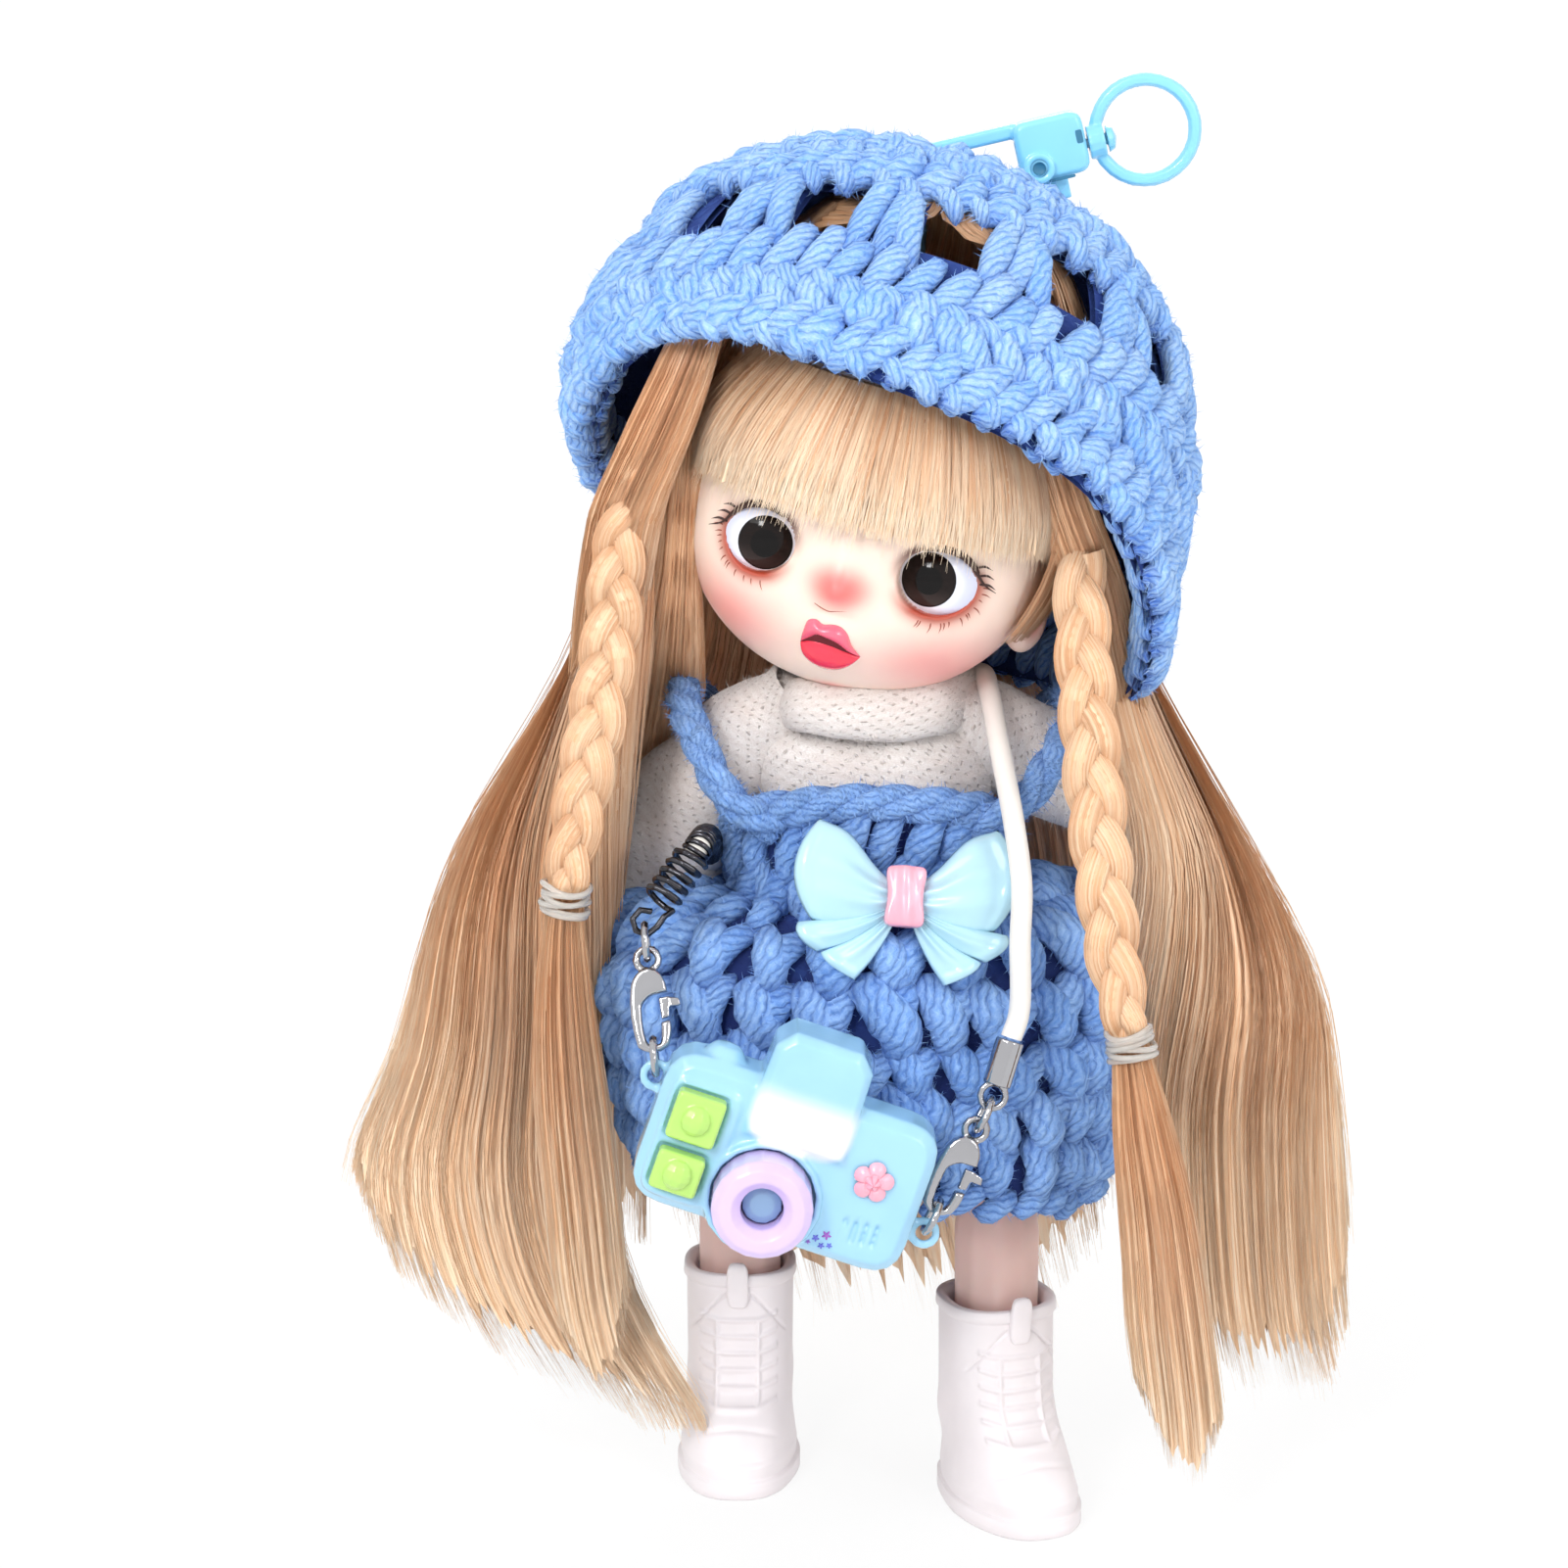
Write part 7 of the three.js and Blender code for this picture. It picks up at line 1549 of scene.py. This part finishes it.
# hide: painted shade on the crown, under the hat
facts = {"tip": level * 0.3, "tone": np.full(turn.shape, 0.5), "hide": ease(level, 0.5, 0.2) * 0.55}
cap = [grid(wig_point(turn, level, groove), False, (0.5, 1.4), facts)]
n = int(760 * many)
a = rng.uniform(-118, 118, (n, 1))
t = spread(14, 0, 1)[None] * rng.uniform(0.6, 1, (n, 1)) + 0.28
P = wig_point(a + 3 * np.sin(3 * t + a), np.minimum(t, 1.02), rng.uniform(0.1, 0.7, (n, 1)))
facts = {"tone": rng.uniform(0.2, 0.9, (n, 1)) + 0 * t, "tip": 0.3 * t}
cap.append(ribbons(P, 0.1, P - HEAD([0, 2, 4]), facts))
build("wig_hair", cap, HAIR, "head", ["wig_cap"])


def fringe_point(turn, t, offset=0.0):
    """turn in degrees from the front, t from 0 under the hat to 1 at the cut ends."""
    top, cut = 19, 3.3
    z = top + (cut - top) * t
    fan = turn * (0.84 + 0.16 * t)
    r = np.sqrt(np.maximum(0, 1 - ((z - 1) / (28.0 + offset)) ** 2)) * (1 - 0.02 * ease(t, 0.7, 1))
    a = np.radians(fan)
    return HEAD(xyz((24.3 + offset) * r * np.sin(a), 0.4 - (23.5 + offset) * r * np.cos(a), z))


turn, t = np.meshgrid(spread(340, -79, 79), spread(26, 0, 1))
jag = 1 + 0.035 * waves(turn / 3, 8, 9, 3, 30) * ease(t, 0.5, 1)
groove = 0.5 * waves(turn / 7 + 0.15 * np.sin(4 * t), 9, 9, 2, 24) * (0.35 + 0.65 * t)
# hide: painted shade at the roots, under the hat's brim
facts = {"tip": 0.15 + 0.85 * t ** 2, "tone": np.full(turn.shape, 0.5), "hide": ease(t, 0.3, 0.0) * 0.35}
chunks = [grid(fringe_point(turn, t * jag * 0.97, groove), False, (0.21, 0.69), facts),
          grid(fringe_point(turn, t * jag * 0.95, groove * 0.3 - 1.1), False, (0.21, 0.69), facts, flip=True)]
# Hairs over it: how many, their radius, how far they lift and how far some pass the cut
for hairs, thick, lift, over in ((2100, 0.12, 0.35, 0.05), (800, 0.07, 0.3, 0.2), (120, 0.06, 1.5, 0.08)):
    n = int(hairs * many)
    a = rng.uniform(-80, 80, (n, 1))
    size = 1 - rng.uniform(0, 1, (n, 1)) ** 3 * 0.35 + over * rng.random((n, 1))
    t = spread(12, 0, 1)[None] * size
    bend = rng.normal(0, 1.2 + lift, (n, 1)) * t ** 2 + rng.normal(0, 0.8, (n, 1))
    P = fringe_point(a + bend, t, 0.15 + lift * rng.uniform(0, 1, (n, 1)) * (0.3 + t * (1 - t) * 3))
    R = thick * (1 - 0.8 * spread(12, 0, 1)[None] ** 3) * rng.uniform(0.7, 1.2, (n, 1))
    facts = {"tone": np.clip(rng.normal(0.6, 0.3, (n, 1)) + over * 3 * t, 0, 1), "tip": 0.15 + t ** 2}
    chunks.append(ribbons(P, R, P - HEAD([0, 2, 0]), facts))
build("fringe_hair", chunks, HAIR, "head", ["fringe"])

# Photo camera, floor and light

cam_data = bpy.data.cameras.new("photo_camera")
cam = bpy.data.objects.new("photo_camera", cam_data)
bpy.context.scene.collection.objects.link(cam)
FRAME_PIXELS, FOCAL_PIXELS, DISTANCE = 1601, 4228.5, 0.5
DOWN = math.radians(13)
cam_data.sensor_width, cam_data.lens = 36, FOCAL_PIXELS / FRAME_PIXELS * 36
target = (arr([-10.48, 0, 89.14]) + SHIFT) * MM
aim = arr([0, math.cos(DOWN), -math.sin(DOWN)])
cam.location = Vector(target - aim * DISTANCE)
cam.rotation_euler = Vector(aim).to_track_quat("-Z", "Y").to_euler()
bpy.context.scene.camera = cam
bpy.context.scene.view_settings.view_transform = "Standard"
cam_data.clip_start, cam_data.clip_end = 0.01, 20


# Lamps that point at the doll's middle: name, place, size and power
LAMPS = (
    ("key", (-0.5, -0.72, 0.9), 0.7, 5.0),
    ("catch_left", (-0.32, -0.72, 0.52), 0.15, 2.0),
    ("catch_right", (0.5, -0.67, 0.42), 0.12, 0.9),
    ("fill", (0.75, -0.6, 0.55), 0.6, 1.8),
    ("back", (0.1, 0.8, 0.7), 0.6, 3.2))
for name, at, size, power in LAMPS:
    data = bpy.data.lights.new(name, "AREA")
    data.shape, data.size, data.energy, data.color = "SQUARE", size, power, (1, 1, 1)
    obj = bpy.data.objects.new(name, data)
    obj.location = at
    obj.rotation_euler = (Vector((0, 0, 0.09)) - Vector(at)).to_track_quat("-Z", "Y").to_euler()
    bpy.context.scene.collection.objects.link(obj)

# A white studio: full white to the camera and in mirrors, softer from below for the light itself
world = bpy.data.worlds.new("studio")
bpy.context.scene.world = world
world.use_nodes = True
sky = world.node_tree.nodes["Background"]
sky.inputs[0].default_value = (1, 1, 1, 1)
coord = world.node_tree.nodes.new("ShaderNodeTexCoord")
split = world.node_tree.nodes.new("ShaderNodeSeparateXYZ")
world.node_tree.links.new(coord.outputs["Generated"], split.inputs[0])
rays = world.node_tree.nodes.new("ShaderNodeLightPath")
seen_white = sum(Socket(world.node_tree, rays.outputs[ray]) for ray in (
    "Is Camera Ray", "Is Glossy Ray", "Is Transmission Ray")).held()
level = Socket(world.node_tree, split.outputs["Z"]).step(-0.15, 0.75) * 0.5 + 0.4
plug(world.node_tree, level * (1 - seen_white) + seen_white, sky.inputs[1])

floor_mat = Shade("floor", Roughness=0.9, Base_Color=(0.9, 0.9, 0.9))
seen = floor_mat.node("LightPath", "Is Camera Ray")
seen = sum((floor_mat.node("LightPath", ray) for ray in ("Is Glossy Ray", "Is Transmission Ray")), seen)
glow = floor_mat.node("Emission", 0, {"Color": (1, 1, 1), "Strength": 1.0})
show = floor_mat.node("MixShader", 0, {0: seen * 0.86})
floor_mat.tree.links.new(floor_mat.surface.outputs[0], show.out.node.inputs[1])
floor_mat.tree.links.new(glow.out, show.out.node.inputs[2])
floor_mat.tree.links.new(show.out, floor_mat.tree.nodes["Material Output"].inputs[0])
# The floor in metres, seen from the side: flat, then bent up into a wall behind the doll
FRONT, BEND_AT, BEND, WALL_TOP, HALF_WIDE = -7.0, 0.5, 0.5, 3.0, 5
bent = [[BEND_AT + BEND * math.sin(a), BEND - BEND * math.cos(a)] for a in spread(16, 0.1, pi / 2)]
side_view = arr([[FRONT, 0], [BEND_AT, 0], *bent, [BEND_AT + BEND, WALL_TOP]])
sweep = xyz(spread(9, -HALF_WIDE, HALF_WIDE)[None], side_view[:, :1], side_view[:, 1:])
floor = build("floor", [grid(sweep)], floor_mat.mat, in_metres=True)
